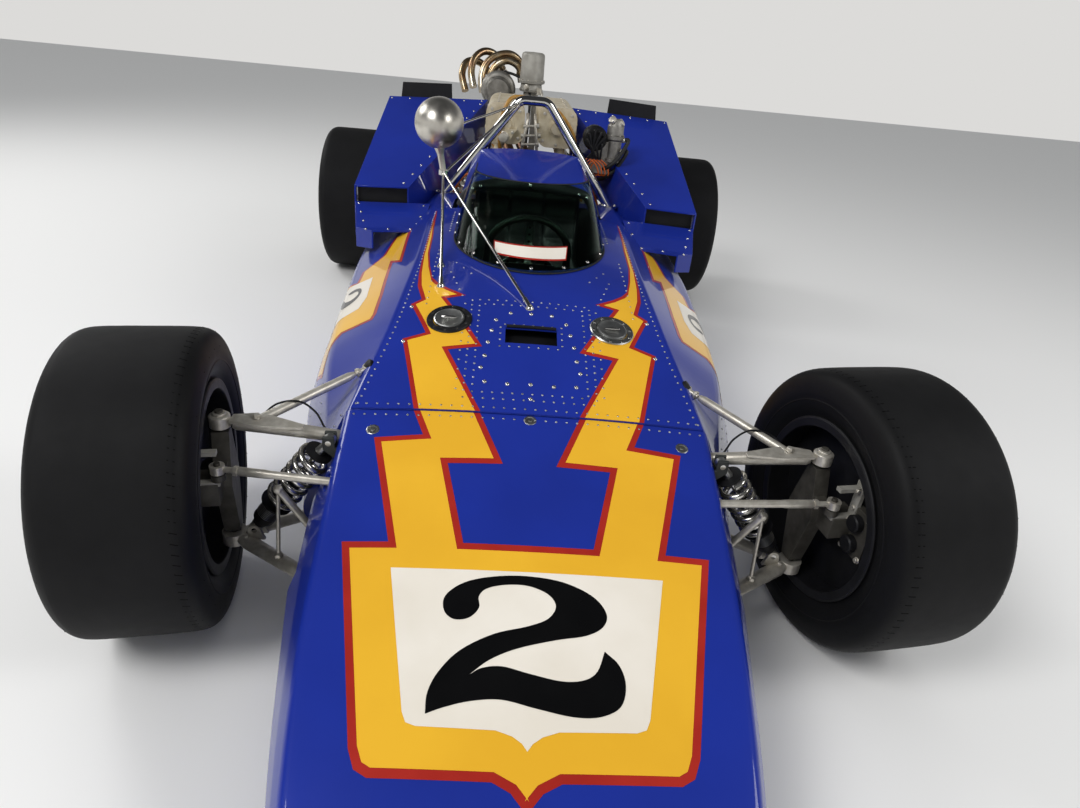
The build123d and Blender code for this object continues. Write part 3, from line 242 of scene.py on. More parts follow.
@dataclass(frozen=True)
class Finish:
    """A surface, from what it is made of and how it was worked.

    The blotch is slow variation of the colour, and the grain is the bump that carries
    the gloss. Both have the real size of their pattern in millimetres.
    """

    name: str
    colour: str
    shade: str
    roughness: float
    metallic: float = 0.0
    blotch_mm: float = 60.0
    grain_mm: float = 3.0
    grain_depth: float = 0.05
    gloss_spread: float = 0.08
    coat: float = 0.0
    shine: float = 0.5
    stretch: tuple[float, float, float] = (1.0, 1.0, 1.0)

    def place(self, tree: bpy.types.NodeTree) -> bpy.types.NodeSocket:
        """Give the coordinates that every pattern of this finish reads."""
        where = add_node(tree, "ShaderNodeTexCoord").outputs["Object"]
        return add_node(tree, "ShaderNodeMapping", {"Vector": where}, {"Scale": self.stretch}).outputs[0]

    def noise(self, tree: bpy.types.NodeTree, place: bpy.types.NodeSocket, size_mm: float,
              detail: float = 3.0) -> bpy.types.NodeSocket:
        """Give a cloud pattern whose patches have one real size."""
        return add_node(tree, "ShaderNodeTexNoise", {"Vector": place},
                        {"Scale": 1 / (size_mm * MM), "Detail": detail}).outputs["Fac"]

    def colours(self, tree: bpy.types.NodeTree, place: bpy.types.NodeSocket) -> bpy.types.NodeSocket:
        """Give the colour, clouded between the main colour and its shade.

        Args:
            tree: The tree that gets the nodes.
            place: The coordinates of the pattern.

        Returns:
            The socket that the colour comes out of.
        """
        ramp = add_node(tree, "ShaderNodeValToRGB", {"Fac": self.noise(tree, place, self.blotch_mm, 4.0)})
        ramp.color_ramp.elements[0].position = 0.35
        ramp.color_ramp.elements[0].color = hex_to_linear(self.shade)
        ramp.color_ramp.elements[1].position = 0.65
        ramp.color_ramp.elements[1].color = hex_to_linear(self.colour)
        return ramp.outputs["Color"]

    def height(self, tree: bpy.types.NodeTree, place: bpy.types.NodeSocket) -> bpy.types.NodeSocket:
        """Give the relief of the surface."""
        return self.noise(tree, place, self.grain_mm, 2.0)

    def tune(self, tree: bpy.types.NodeTree, shader: bpy.types.Node) -> None:
        """Set what only this kind of surface has."""

    def material(self) -> bpy.types.Material:
        """Build the material once, and give the same one each time after.

        Returns:
            The material.
        """
        made = bpy.data.materials.get(self.name)
        if made:
            return made
        made = bpy.data.materials.new(self.name)
        made.use_nodes = True
        tree = made.node_tree
        shader = tree.nodes["Principled BSDF"]
        place = self.place(tree)
        tree.links.new(self.colours(tree, place), shader.inputs["Base Color"])
        gloss = add_node(tree, "ShaderNodeMapRange", {"Value": self.noise(tree, place, self.blotch_mm * 0.4)},
                         {"To Min": max(0.02, self.roughness - self.gloss_spread),
                          "To Max": min(1.0, self.roughness + self.gloss_spread)})
        tree.links.new(gloss.outputs["Result"], shader.inputs["Roughness"])
        bump = add_node(tree, "ShaderNodeBump", {"Height": self.height(tree, place)},
                        {"Strength": self.grain_depth, "Distance": self.grain_mm * MM * 0.3})
        tree.links.new(bump.outputs["Normal"], shader.inputs["Normal"])
        shader.inputs["Metallic"].default_value = self.metallic
        shader.inputs["Coat Weight"].default_value = self.coat
        if not self.metallic:
            shader.inputs["Specular IOR Level"].default_value = self.shine
        shader.inputs["Coat Roughness"].default_value = 0.04
        made.diffuse_color = hex_to_linear(self.colour)
        self.tune(tree, shader)
        return made


@dataclass(frozen=True)
class Enamel(Finish):
    """Sprayed enamel: the clear coat carries the gloss and the colour under it stays deep."""

    coat: float = 0.7
    shine: float = 0.1
    wave_mm: float = 120.0

    def height(self, tree: bpy.types.NodeTree, place: bpy.types.NodeSocket) -> bpy.types.NodeSocket:
        """Give the peel of the spray, with the slow wave of the panel under it.

        Args:
            tree: The tree that gets the nodes.
            place: The coordinates of the pattern.

        Returns:
            The socket that the height comes out of.
        """
        wave = self.noise(tree, place, self.wave_mm, 1.0)
        peel = self.noise(tree, place, self.grain_mm, 1.0)
        raised = add_node(tree, "ShaderNodeMath", {0: wave}, {1: 6.0}, operation="MULTIPLY").outputs[0]
        return add_node(tree, "ShaderNodeMath", {0: raised, 1: peel}, operation="ADD").outputs[0]


@dataclass(frozen=True)
class Grained(Finish):
    """Leather or vinyl pressed with a pebbled grain: soft dull light between the pebbles."""

    def height(self, tree: bpy.types.NodeTree, place: bpy.types.NodeSocket) -> bpy.types.NodeSocket:
        """Give the pebbles of the grain."""
        return add_node(tree, "ShaderNodeTexVoronoi", {"Vector": place},
                        {"Scale": 1 / (self.grain_mm * MM), "Smoothness": 0.6},
                        feature="SMOOTH_F1").outputs["Distance"]


@dataclass(frozen=True)
class TurnedMetal(Finish):
    """Metal cut on a lathe or drawn: fine lines that pull the light across them."""

    def tune(self, tree: bpy.types.NodeTree, shader: bpy.types.Node) -> None:
        """Draw the light out across the tool marks."""
        shader.inputs["Anisotropic"].default_value = 0.4


@dataclass(frozen=True)
class HeatTinted(Finish):
    """Bare steel that ran hot: straw, brown and blue bands under a dry scale."""

    hot: str = "#3F4A66"

    def colours(self, tree: bpy.types.NodeTree, place: bpy.types.NodeSocket) -> bpy.types.NodeSocket:
        """Give the tint, from pale straw through brown to blue.

        Args:
            tree: The tree that gets the nodes.
            place: The coordinates of the pattern.

        Returns:
            The socket that the colour comes out of.
        """
        ramp = add_node(tree, "ShaderNodeValToRGB", {"Fac": self.noise(tree, place, self.blotch_mm, 2.0)})
        ramp.color_ramp.elements[0].position = 0.3
        ramp.color_ramp.elements[0].color = hex_to_linear(self.colour)
        ramp.color_ramp.elements[1].position = 0.72
        ramp.color_ramp.elements[1].color = hex_to_linear(self.hot)
        ramp.color_ramp.elements.new(0.5).color = hex_to_linear(self.shade)
        return ramp.outputs["Color"]


@dataclass(frozen=True)
class TintedAcrylic(Finish):
    """Blown acrylic sheet with a green tint: clear, glossy, darker seen edge on."""

    def tune(self, tree: bpy.types.NodeTree, shader: bpy.types.Node) -> None:
        """Let the light through the sheet."""
        shader.inputs["Transmission Weight"].default_value = 1.0
        shader.inputs["IOR"].default_value = 1.12


@dataclass(frozen=True)
class Finned(Finish):
    """Radiator core: thin fins that stand in close rows and swallow the light."""

    def height(self, tree: bpy.types.NodeTree, place: bpy.types.NodeSocket) -> bpy.types.NodeSocket:
        """Give the fins, drawn 4 mm apart because the real 2 mm ones don't show.

        Args:
            tree: The tree that gets the nodes.
            place: The coordinates of the pattern.

        Returns:
            The socket that the height comes out of.
        """
        wave = add_node(tree, "ShaderNodeTexWave", {"Vector": place},
                        {"Scale": 1 / (self.grain_mm * MM * 6.28)}, bands_direction="X")
        return wave.outputs["Fac"]


# Sprayed enamel over aluminium: royal blue, with sign painter's colours over it
BLUE = Enamel("racing blue enamel", "#1B3096", "#192C8B", 0.34, blotch_mm=300, grain_mm=2.5, grain_depth=0.03)
YELLOW = Enamel("chrome yellow enamel", "#EDB62F", "#E6AE2B", 0.36, blotch_mm=200, grain_mm=2.5, grain_depth=0.03)
LABEL = Enamel("faded blank label", "#E3C9C4", "#D9BBB5", 0.4, blotch_mm=60, grain_mm=2.5, grain_depth=0.02)
RED = Enamel("signal red enamel", "#AC2A20", "#9F241B", 0.36, blotch_mm=90, grain_mm=2.5, grain_depth=0.03)
WHITE = Enamel("ivory enamel", "#EDE6DA", "#E5DDCF", 0.36, blotch_mm=160, grain_mm=2.5, grain_depth=0.03)
BLACK = Enamel("black enamel", "#070708", "#0A0A0B", 0.3, blotch_mm=90, grain_mm=2.5, grain_depth=0.03)
# Satin stove paint: soft even light, faint dust
SATIN = Finish("satin black paint", "#111113", "#17171A", 0.5, blotch_mm=40, grain_mm=1.2, grain_depth=0.06,
               shine=0.3)
# Bare inside of a riveted tub: zinc primed sheet
PRIMED = Finish("primed sheet", "#2B2E2C", "#232624", 0.6, blotch_mm=70, grain_mm=2.0, grain_depth=0.08)
# Plated parts: chrome is a mirror, nickel is warmer and softer
CHROME = Finish("chrome plate", "#D9D8D4", "#CFCDC8", 0.08, 1.0, blotch_mm=30, grain_mm=2.0, grain_depth=0.01,
                gloss_spread=0.03)
NICKEL = Finish("nickel plate", "#DAD5CA", "#C2BCB0", 0.4, 0.65, blotch_mm=18, grain_mm=1.0, grain_depth=0.05)
# Spring wire, ground and bright zinc plated: broad soft streaks along each turn
SPRING = Finish("zinc plated spring wire", "#EBE9E4", "#D5D2CB", 0.2, 0.95, blotch_mm=24, grain_mm=1.0,
                grain_depth=0.02)
ALLOY = TurnedMetal("machined aluminium", "#C3C4C2", "#A9AAA8", 0.34, 1.0, blotch_mm=20, grain_mm=0.8,
                    grain_depth=0.05)
CAST = Finish("sand cast aluminium", "#A3A09A", "#827F79", 0.52, 0.9, blotch_mm=28, grain_mm=1.6, grain_depth=0.35)
MAGNESIUM = Finish("chromate dipped magnesium", "#5A5750", "#48453F", 0.55, 0.5, blotch_mm=30, grain_mm=1.6,
                   grain_depth=0.35)
GREY_CAST = Finish("painted grey casting", "#A7A49C", "#8E8B83", 0.5, 0.2, blotch_mm=40, grain_mm=1.5,
                   grain_depth=0.15)
CREAM_CAST = Finish("cream dipped casting", "#DDD2BA", "#C3B596", 0.5, 0.4, blotch_mm=34, grain_mm=1.5,
                    grain_depth=0.25)
# Spun bullet shell, polished by hand: a soft mirror that has gone dull
SPUN = TurnedMetal("spun mirror shell", "#D6D2C9", "#C2BEB4", 0.34, 1.0, blotch_mm=40, grain_mm=0.9,
                   grain_depth=0.03)
IRON = Finish("turbine housing iron", "#6B5A4B", "#493D35", 0.62, 0.8, blotch_mm=22, grain_mm=1.4, grain_depth=0.4)
HOT_STEEL = HeatTinted("heat tinted header steel", "#9A7B55", "#6E5444", 0.4, 1.0, blotch_mm=80, grain_mm=1.0,
                       grain_depth=0.08)
STRAW_STEEL = HeatTinted("straw tinted header steel", "#CFC8B8", "#B09A78", 0.3, 1.0, hot="#96745A", blotch_mm=70,
                         grain_mm=1.0, grain_depth=0.05)
DISC_IRON = TurnedMetal("ground disc iron", "#8C8C8B", "#6F6F6E", 0.32, 1.0, blotch_mm=30, grain_mm=0.8,
                        grain_depth=0.06)
RUBBER = Finish("slick tyre rubber", "#131314", "#111112", 0.56, blotch_mm=90, grain_mm=1.4, grain_depth=0.12,
                gloss_spread=0.05, shine=0.16)
WORN_RUBBER = Finish("scuffed tread rubber", "#161617", "#131314", 0.66, blotch_mm=70, grain_mm=2.2,
                     grain_depth=0.2, gloss_spread=0.05, shine=0.16)
# Near black strips laid in the tyre shoulders: painted shade for the inside of each slit
SLIT_SHADE = Finish("cut in the rubber", "#040404", "#050505", 0.9, blotch_mm=60, grain_mm=2.0, shine=0.05)
ACRYLIC = TintedAcrylic("green tinted acrylic", "#BBDACA", "#B4D5C4", 0.02, blotch_mm=200, grain_mm=60,
                        grain_depth=0.0, gloss_spread=0.01)
VINYL = Grained("stitched black vinyl", "#1F1F21", "#161618", 0.4, blotch_mm=50, grain_mm=1.6, grain_depth=0.35)
LEATHER = Grained("rim leather", "#1A1614", "#120F0E", 0.5, blotch_mm=20, grain_mm=1.2, grain_depth=0.4)
AMBER = Finish("amber silicone hose", "#B98A3A", "#9C6F2C", 0.38, blotch_mm=20, grain_mm=1.2, grain_depth=0.1)
LEAD = Finish("plug lead sleeve", "#D2641E", "#B85216", 0.4, blotch_mm=12, grain_mm=0.8, grain_depth=0.05)
HOSE = Finish("black rubber hose", "#151515", "#1E1E1E", 0.6, blotch_mm=14, grain_mm=0.8, grain_depth=0.15)
CORE = Finned("radiator fins", "#2A2A29", "#1D1D1C", 0.6, 0.6, blotch_mm=60, grain_mm=4.0, grain_depth=0.8)
GLASS_SILVER = Finish("mirror silver", "#EEF1F3", "#E8EBED", 0.02, 1.0, grain_depth=0.0, gloss_spread=0.01)


# Meshes


class Form:
    """Vertices and faces of one piece, gathered shape by shape."""

    def __init__(self) -> None:
        """Start with nothing."""
        self.verts: list[Vector] = []
        self.faces: list[tuple[int, ...]] = []
        self.finishes: list[int] = []

    def rings(self, rings: Sequence[Sequence[Point]], finish: int = 0, looped: bool = False,
              caps: bool = True) -> "Form":
        """Skin a row of closed rings that all have the same number of points.

        Args:
            rings: The rings, in order.
            finish: Which of the piece's finishes it gets.
            looped: Whether the last ring joins the first.
            caps: Whether the two ends are closed.

        Returns:
            This form, to go on with.
        """
        first, count = len(self.verts), len(rings[0])
        for ring in rings:
            self.verts.extend(Vector(p) for p in ring)
        total = len(rings) if looped else len(rings) - 1
        for i in range(total):
            a, b = first + i * count, first + (i + 1) % len(rings) * count
            for j in range(count):
                k = (j + 1) % count
                self.add_face((a + j, a + k, b + k, b + j), finish)
        if caps and not looped:
            self.add_face(tuple(range(first + count - 1, first - 1, -1)), finish)
            last = first + (len(rings) - 1) * count
            self.add_face(tuple(range(last, last + count)), finish)
        return self

    def add_face(self, corners: tuple[int, ...], finish: int) -> None:
        """Add one face by the numbers of its corners."""
        self.faces.append(corners)
        self.finishes.append(finish)

    def lathe(self, profile: Sequence[tuple[float, float]], origin: Point, axis: Point, steps: int = 40,
              finish: int = 0, looped: bool = False) -> "Form":
        """Turn a profile about an axis.

        Args:
            profile: Rows of distance along the axis and radius.
            origin: A point on the axis.
            axis: The direction of the axis.
            steps: Faces around.
            finish: Which of the piece's finishes it gets.
            looped: Whether the profile is a closed line, as a tyre's is.

        Returns:
            This form, to go on with.
        """
        line = Vector(axis).normalized()
        side = line.orthogonal().normalized()
        other = line.cross(side)
        rings = [circle(Vector(origin) + line * u, side, other, steps, max(r, 1e-5)) for u, r in profile]
        return self.rings(rings, finish, looped)

    def tube(self, path: Sequence[Point], radius: float | Sequence[float], sides: int = 14,
             finish: int = 0) -> "Form":
        """Run a round bar along a path, with flat ends.

        Args:
            path: Points of its centre line.
            radius: Its radius, or one for each point.
            sides: Faces around.
            finish: Which of the piece's finishes it gets.

        Returns:
            This form, to go on with.
        """
        line = [Vector(p) for p in path]
        radii = [radius] * len(line) if isinstance(radius, (int, float)) else list(radius)
        across = (line[1] - line[0]).orthogonal().normalized()
        rings = []
        for i, here in enumerate(line):
            tangent = (line[min(i + 1, len(line) - 1)] - line[max(i - 1, 0)]).normalized()
            across = (across - tangent * across.dot(tangent)).normalized()
            other = tangent.cross(across)
            rings.append(circle(here, across, other, sides, radii[i]))
        return self.rings(rings, finish)

    def slab(self, outline: Sequence[Point], depth: Point, finish: int = 0) -> "Form":
        """Raise a flat outline along a depth vector into a plate."""
        foot = [Vector(p) for p in outline]
        return self.rings([foot, [p + Vector(depth) for p in foot]], finish)

    def block(self, low: Point, high: Point, finish: int = 0) -> "Form":
        """Add a box between two corners."""
        (x, y, z), (u, v, w) = low, high
        return self.slab([(x, y, z), (u, y, z), (u, v, z), (x, v, z)], (0, 0, w - z), finish)

    def hose(self, points: Sequence[Point], radius: float, sides: int = 12, finish: int = 0) -> "Form":
        """Run a hose, lead or bent pipe smoothly through points."""
        return self.tube(bend(points), radius, sides, finish)

    def sleeve(self, start: float, end: float, bore: float, radius: float, at: Point, axis: Point,
               steps: int = 24, finish: int = 0, looped: bool = False) -> "Form":
        """Add a short tube, from start to end along an axis."""
        line = [(start, bore), (start, radius), (end, radius), (end, bore)]
        return self.lathe(line, at, axis, steps, finish, looped)

    def stub(self, start: float, end: float, radius: float, at: Point, axis: Point, steps: int = 6,
             finish: int = 0) -> "Form":
        """Add a hexagon nut or a short bar, from start to end along an axis."""
        return self.lathe([(start, radius), (end, radius)], at, axis, steps, finish)

    def bolts(self, spots: Iterable[Point], axis: Point, radius: float, finish: int = 0) -> "Form":
        """Add a hexagon head on a washer at each place.

        Args:
            spots: The places.
            axis: The direction that the heads stand in.
            radius: The radius of a head.
            finish: Which of the piece's finishes they get.

        Returns:
            This form, to go on with.
        """
        for at in spots:
            self.lathe([(0, radius * 1.25), (radius * 0.2, radius * 1.25)], at, axis, 14, finish)
            self.lathe([(0, radius), (radius * 0.9, radius), (radius * 1.05, radius * 0.8)], at, axis, 6, finish)
        return self

    def mirrored(self) -> "Form":
        """Add the same shapes again on the car's other side.

        Returns:
            This form, to go on with.
        """
        first, sides = len(self.verts), list(zip(self.faces, self.finishes))
        self.verts.extend(Vector((-v.x, v.y, v.z)) for v in self.verts[:first])
        for face, finish in sides:
            self.add_face(tuple(first + i for i in reversed(face)), finish)
        return self

    def moved(self, matrix: Matrix) -> "Form":
        """Move everything gathered so far."""
        self.verts = [matrix @ v for v in self.verts]
        return self

    def object(self, name: str, finishes: Sequence[Finish], crease: float = 32.0) -> bpy.types.Object:
        """Make the plain object, with merged doubles and faces that point outwards.

        Args:
            name: The piece's name.
            finishes: Its finishes, in the order that the shapes count them.
            crease: The angle in degrees past which an edge looks sharp.

        Returns:
            The object, linked to the scene.
        """
        mesh = bpy.data.meshes.new(name)
        mesh.from_pydata([tuple(v) for v in self.verts], [], self.faces)
        mesh.polygons.foreach_set("material_index", self.finishes)
        tidy(mesh)
        return linked(name, mesh, finishes, crease)

    def piece(self, name: str, finishes: Sequence[Finish], replaces: Sequence[str] = (), crease: float = 32.0,
              bevel: float = 0.0, body: str = CHASSIS) -> bpy.types.Object:
        """Make the finished piece and let it ride on its body.

        Args:
            name: The piece's name.
            finishes: Its finishes.
            replaces: The nodes that it stands for.
            crease: The angle in degrees past which an edge looks sharp.
            bevel: The width of its rounded edges.
            body: The body that it moves with.

        Returns:
            The piece.
        """
        made = self.object(name, finishes, crease)
        if bevel:
            soften(made, bevel)
        return settle(made, body, replaces)


def tidy(mesh: bpy.types.Mesh, merge: float = 1e-5) -> None:
    """Merge the doubles of a mesh and point its faces outwards.

    Args:
        mesh: The mesh.
        merge: How near two points are before they become one.
    """
    form = bmesh.new()
    form.from_mesh(mesh)
    bmesh.ops.remove_doubles(form, verts=form.verts, dist=merge)
    bmesh.ops.recalc_face_normals(form, faces=form.faces)
    form.to_mesh(mesh)
    form.free()


def linked(name: str, mesh: bpy.types.Mesh, finishes: Sequence[Finish], crease: float) -> bpy.types.Object:
    """Put a mesh in the scene with its finishes and its smooth and sharp edges.

    Args:
        name: The new object's name.
        mesh: The mesh.
        finishes: Its finishes, in the order that its faces count them.
        crease: The angle in degrees past which an edge looks sharp.

    Returns:
        The new object.
    """
    made = bpy.data.objects.new(name, mesh)
    if len(mesh.materials):
        mesh.materials.clear()
    for finish in finishes:
        mesh.materials.append(finish.material())
    mesh.shade_smooth()
    mesh.set_sharp_from_angle(angle=math.radians(crease))
    bpy.context.scene.collection.objects.link(made)
    return made


def soften(piece: bpy.types.Object, width: float, segments: int = 2, angle: float = 32.0) -> None:
    """Round the sharp edges of a piece.

    Args:
        piece: The piece.
        width: The width of the rounded edges.
        segments: Faces across each rounded edge.
        angle: The angle in degrees past which an edge is rounded.
    """
    edge = piece.modifiers.new("soft edges", "BEVEL")
    edge.width = width
    edge.segments = segments
    edge.limit_method = "ANGLE"
    edge.angle_limit = math.radians(angle)
    edge.harden_normals = False


def settle(piece: bpy.types.Object, body: str = CHASSIS, replaces: Sequence[str] = ()) -> bpy.types.Object:
    """Let a piece ride on a body, in place of the nodes that it stands for.

    Args:
        piece: The piece.
        body: The body that it moves with.
        replaces: The nodes that it stands for.

    Returns:
        The piece.
    """
    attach(piece, body)
    if replaces:
        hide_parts(*replaces)
    LOG.info("%s rides on %s", piece.name, body)
    return piece


def baked(piece: bpy.types.Object) -> bpy.types.Mesh:
    """Give the mesh of a piece with its modifiers applied."""
    graph = bpy.context.evaluated_depsgraph_get()
    return bpy.data.meshes.new_from_object(piece.evaluated_get(graph), depsgraph=graph)


def new_tree(name: str, inputs: dict[str, str]) -> tuple[bpy.types.NodeTree, bpy.types.bpy_prop_collection]:
    """Start a geometry node tree.

    Args:
        name: The tree's name.
        inputs: The kind of each of its inputs, by the input's name.

    Returns:
        The tree, and the sockets that its inputs come out of.
    """
    tree = bpy.data.node_groups.new(name, "GeometryNodeTree")
    for key, kind in inputs.items():
        tree.interface.new_socket(key, in_out="INPUT", socket_type=f"NodeSocket{kind}")
    tree.interface.new_socket("Geometry", in_out="OUTPUT", socket_type="NodeSocketGeometry")
    return tree, add_node(tree, "NodeGroupInput").outputs


def end_tree(tree: bpy.types.NodeTree, shape: bpy.types.NodeSocket, finish: bpy.types.NodeSocket) -> None:
    """Make the shape of a tree real, give it its finish and send it out.

    Args:
        tree: The geometry node tree.
        shape: The socket that the shape comes out of.
        finish: The socket that the material comes out of.
    """
    real = add_node(tree, "GeometryNodeRealizeInstances", {0: shape})
    done = add_node(tree, "GeometryNodeSetMaterial", {"Geometry": real.outputs[0], "Material": finish})
    add_node(tree, "NodeGroupOutput", {0: done.outputs[0]})


def grown(tree: bpy.types.NodeTree, base: bpy.types.Mesh, values: dict[str, object]) -> bpy.types.Mesh:
    """Give the plain mesh that a tree grows from a base.

    Args:
        tree: The geometry node tree.
        base: The mesh that it starts from.
        values: What each of its inputs is set to, by the input's name.

    Returns:
        The new mesh.
    """
    carrier = bpy.data.objects.new(base.name, base)
    bpy.context.scene.collection.objects.link(carrier)
    nodes = carrier.modifiers.new("nodes", "NODES")
    nodes.node_group = tree
    for item in tree.interface.items_tree:
        if item.in_out == "INPUT" and item.name in values:
            nodes[item.identifier] = values[item.name]
    mesh = baked(carrier)
    bpy.data.objects.remove(carrier)
    return mesh


def carve(piece: bpy.types.Object, cutter: Form) -> None:
    """Cut a form out of a piece, for good.

    Args:
        piece: The piece.
        cutter: The form that is taken away.
    """
    tool = cutter.object("cutter", [])
    cut = piece.modifiers.new("cut", "BOOLEAN")
    cut.operation, cut.solver, cut.object = "DIFFERENCE", "EXACT", tool
    mesh = baked(piece)
    piece.modifiers.clear()
    piece.data = mesh
    bpy.data.objects.remove(tool)


def node_copy(node: str, name: str, finish: Finish, bevel: float, crease: float = 32.0,
              body: str = CHASSIS) -> bpy.types.Object:
    """Dress one node by a merged copy of it with soft edges.

    Args:
        node: The node's name.
        name: The new piece's name.
        finish: Its finish.
        bevel: The width of its rounded edges.
        crease: The angle in degrees past which an edge looks sharp.
        body: The body that it moves with.

    Returns:
        The piece.
    """
    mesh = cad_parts[node].data.copy()
    form = bmesh.new()
    form.from_mesh(mesh)
    bmesh.ops.remove_doubles(form, verts=form.verts, dist=2e-5)
    bmesh.ops.dissolve_limit(form, angle_limit=math.radians(1.0), verts=form.verts, edges=form.edges)
    form.to_mesh(mesh)
    form.free()
    made = linked(name, mesh, [finish], crease)
    if bevel:
        soften(made, bevel, 3)
    return settle(made, body, [node])


# Fasteners by geometry nodes


class Head(Enum):
    """Kinds of fastener on the panels."""

    RIVET = "rivet"
    SCREW = "screw"
    LATCH = "latch"
    SLIT = "slit"


HEAD_PROFILES = {
    Head.RIVET: [(-0.4, 1.0), (0.1, 1.0), (0.5, 0.75), (0.7, 0.35), (0.75, 0.0)],
    Head.SCREW: [(-0.4, 1.0), (0.25, 1.0), (0.55, 0.72), (0.62, 0.3), (0.4, 0.22), (0.35, 0.0)],
    Head.LATCH: [(-0.2, 1.0), (0.05, 1.0), (0.1, 0.92), (0.1, 0.7), (0.04, 0.66), (0.04, 0.3), (0.14, 0.26),
                 (0.14, 0.0)],
}


class FastenerRows:
    """Heads set along lines on a surface, each square to it, by one geometry node tree."""

    def __init__(self, surface: bpy.types.Object) -> None:
        """Set the surface that the heads sit on."""
        self.surface = surface
        self.tree = self.build_tree()

    def build_tree(self) -> bpy.types.NodeTree:
        """Build the tree: resample, align to the surface, instance, realize, finish.

        Returns:
            The tree.
        """
        tree, given = new_tree("fastener rows", {
            "Geometry": "Geometry", "Pitch": "Float", "Radius": "Float", "Surface": "Object", "Head": "Object",
            "Finish": "Material", "Rows": "Bool"})
        line = add_node(tree, "GeometryNodeMeshToCurve", {"Mesh": given["Geometry"]})
        along = add_node(tree, "GeometryNodeCurveToPoints", {"Curve": line.outputs[0], "Length": given["Pitch"]},
                         mode="LENGTH")
        single = add_node(tree, "GeometryNodeMeshToPoints", {"Mesh": given["Geometry"]})
        spots = add_node(tree, "GeometryNodeSwitch", {"Switch": given["Rows"], "False": single.outputs[0],
                                                      "True": along.outputs["Points"]}, input_type="GEOMETRY")
        panel = add_node(tree, "GeometryNodeObjectInfo", {"Object": given["Surface"]})
        facing = add_node(tree, "GeometryNodeInputNormal")
        nearest = add_node(tree, "GeometryNodeSampleNearestSurface",
                           {"Mesh": panel.outputs["Geometry"], "Value": facing.outputs[0]},
                           data_type="FLOAT_VECTOR")
        square = add_node(tree, "FunctionNodeAlignRotationToVector", {"Vector": nearest.outputs[0]}, axis="Z")
        head = add_node(tree, "GeometryNodeObjectInfo", {"Object": given["Head"]})
        size = add_node(tree, "ShaderNodeCombineXYZ", {0: given["Radius"], 1: given["Radius"], 2: given["Radius"]})
        set_out = add_node(tree, "GeometryNodeInstanceOnPoints",
                           {"Points": spots.outputs[0], "Instance": head.outputs["Geometry"],
                            "Rotation": square.outputs[0], "Scale": size.outputs[0]})
        end_tree(tree, set_out.outputs[0], given["Finish"])
        return tree

    def lay(self, name: str, body: str, lines: Sequence[Sequence[Point]], pitch: float, radius: float,
            head: Head, finish: Finish) -> bpy.types.Object:
        """Set heads along lines, or one on each point where a line has one point.

        Args:
            name: The new piece's name.
            body: The body that it moves with.
            lines: The lines, already on the surface.
            pitch: The distance from head to head.
            radius: The radius of a head.
            head: The kind of head.
            finish: The heads' finish.

        Returns:
            The piece.
        """
        mesh = bpy.data.meshes.new(name)
        points, edges = [], []
        for line in lines:
            edges.extend((len(points) + i, len(points) + i + 1) for i in range(len(line) - 1))
            points.extend(tuple(p) for p in line)
        mesh.from_pydata(points, edges, [])
        if head is Head.SLIT:
            template = Form().block((-1, -0.11, -0.3), (1, 0.11, 0.02)).object("head", [finish], 50)
        else:
            template = Form().lathe(HEAD_PROFILES[head], (0, 0, 0), UP, 10).object("head", [finish], 50)
        heads = grown(self.tree, mesh, {
            "Pitch": pitch, "Radius": radius, "Surface": self.surface, "Head": template,
            "Finish": finish.material(), "Rows": len(lines[0]) > 1})
        bpy.data.objects.remove(template)
        return settle(linked(name, heads, [finish], 50), body)


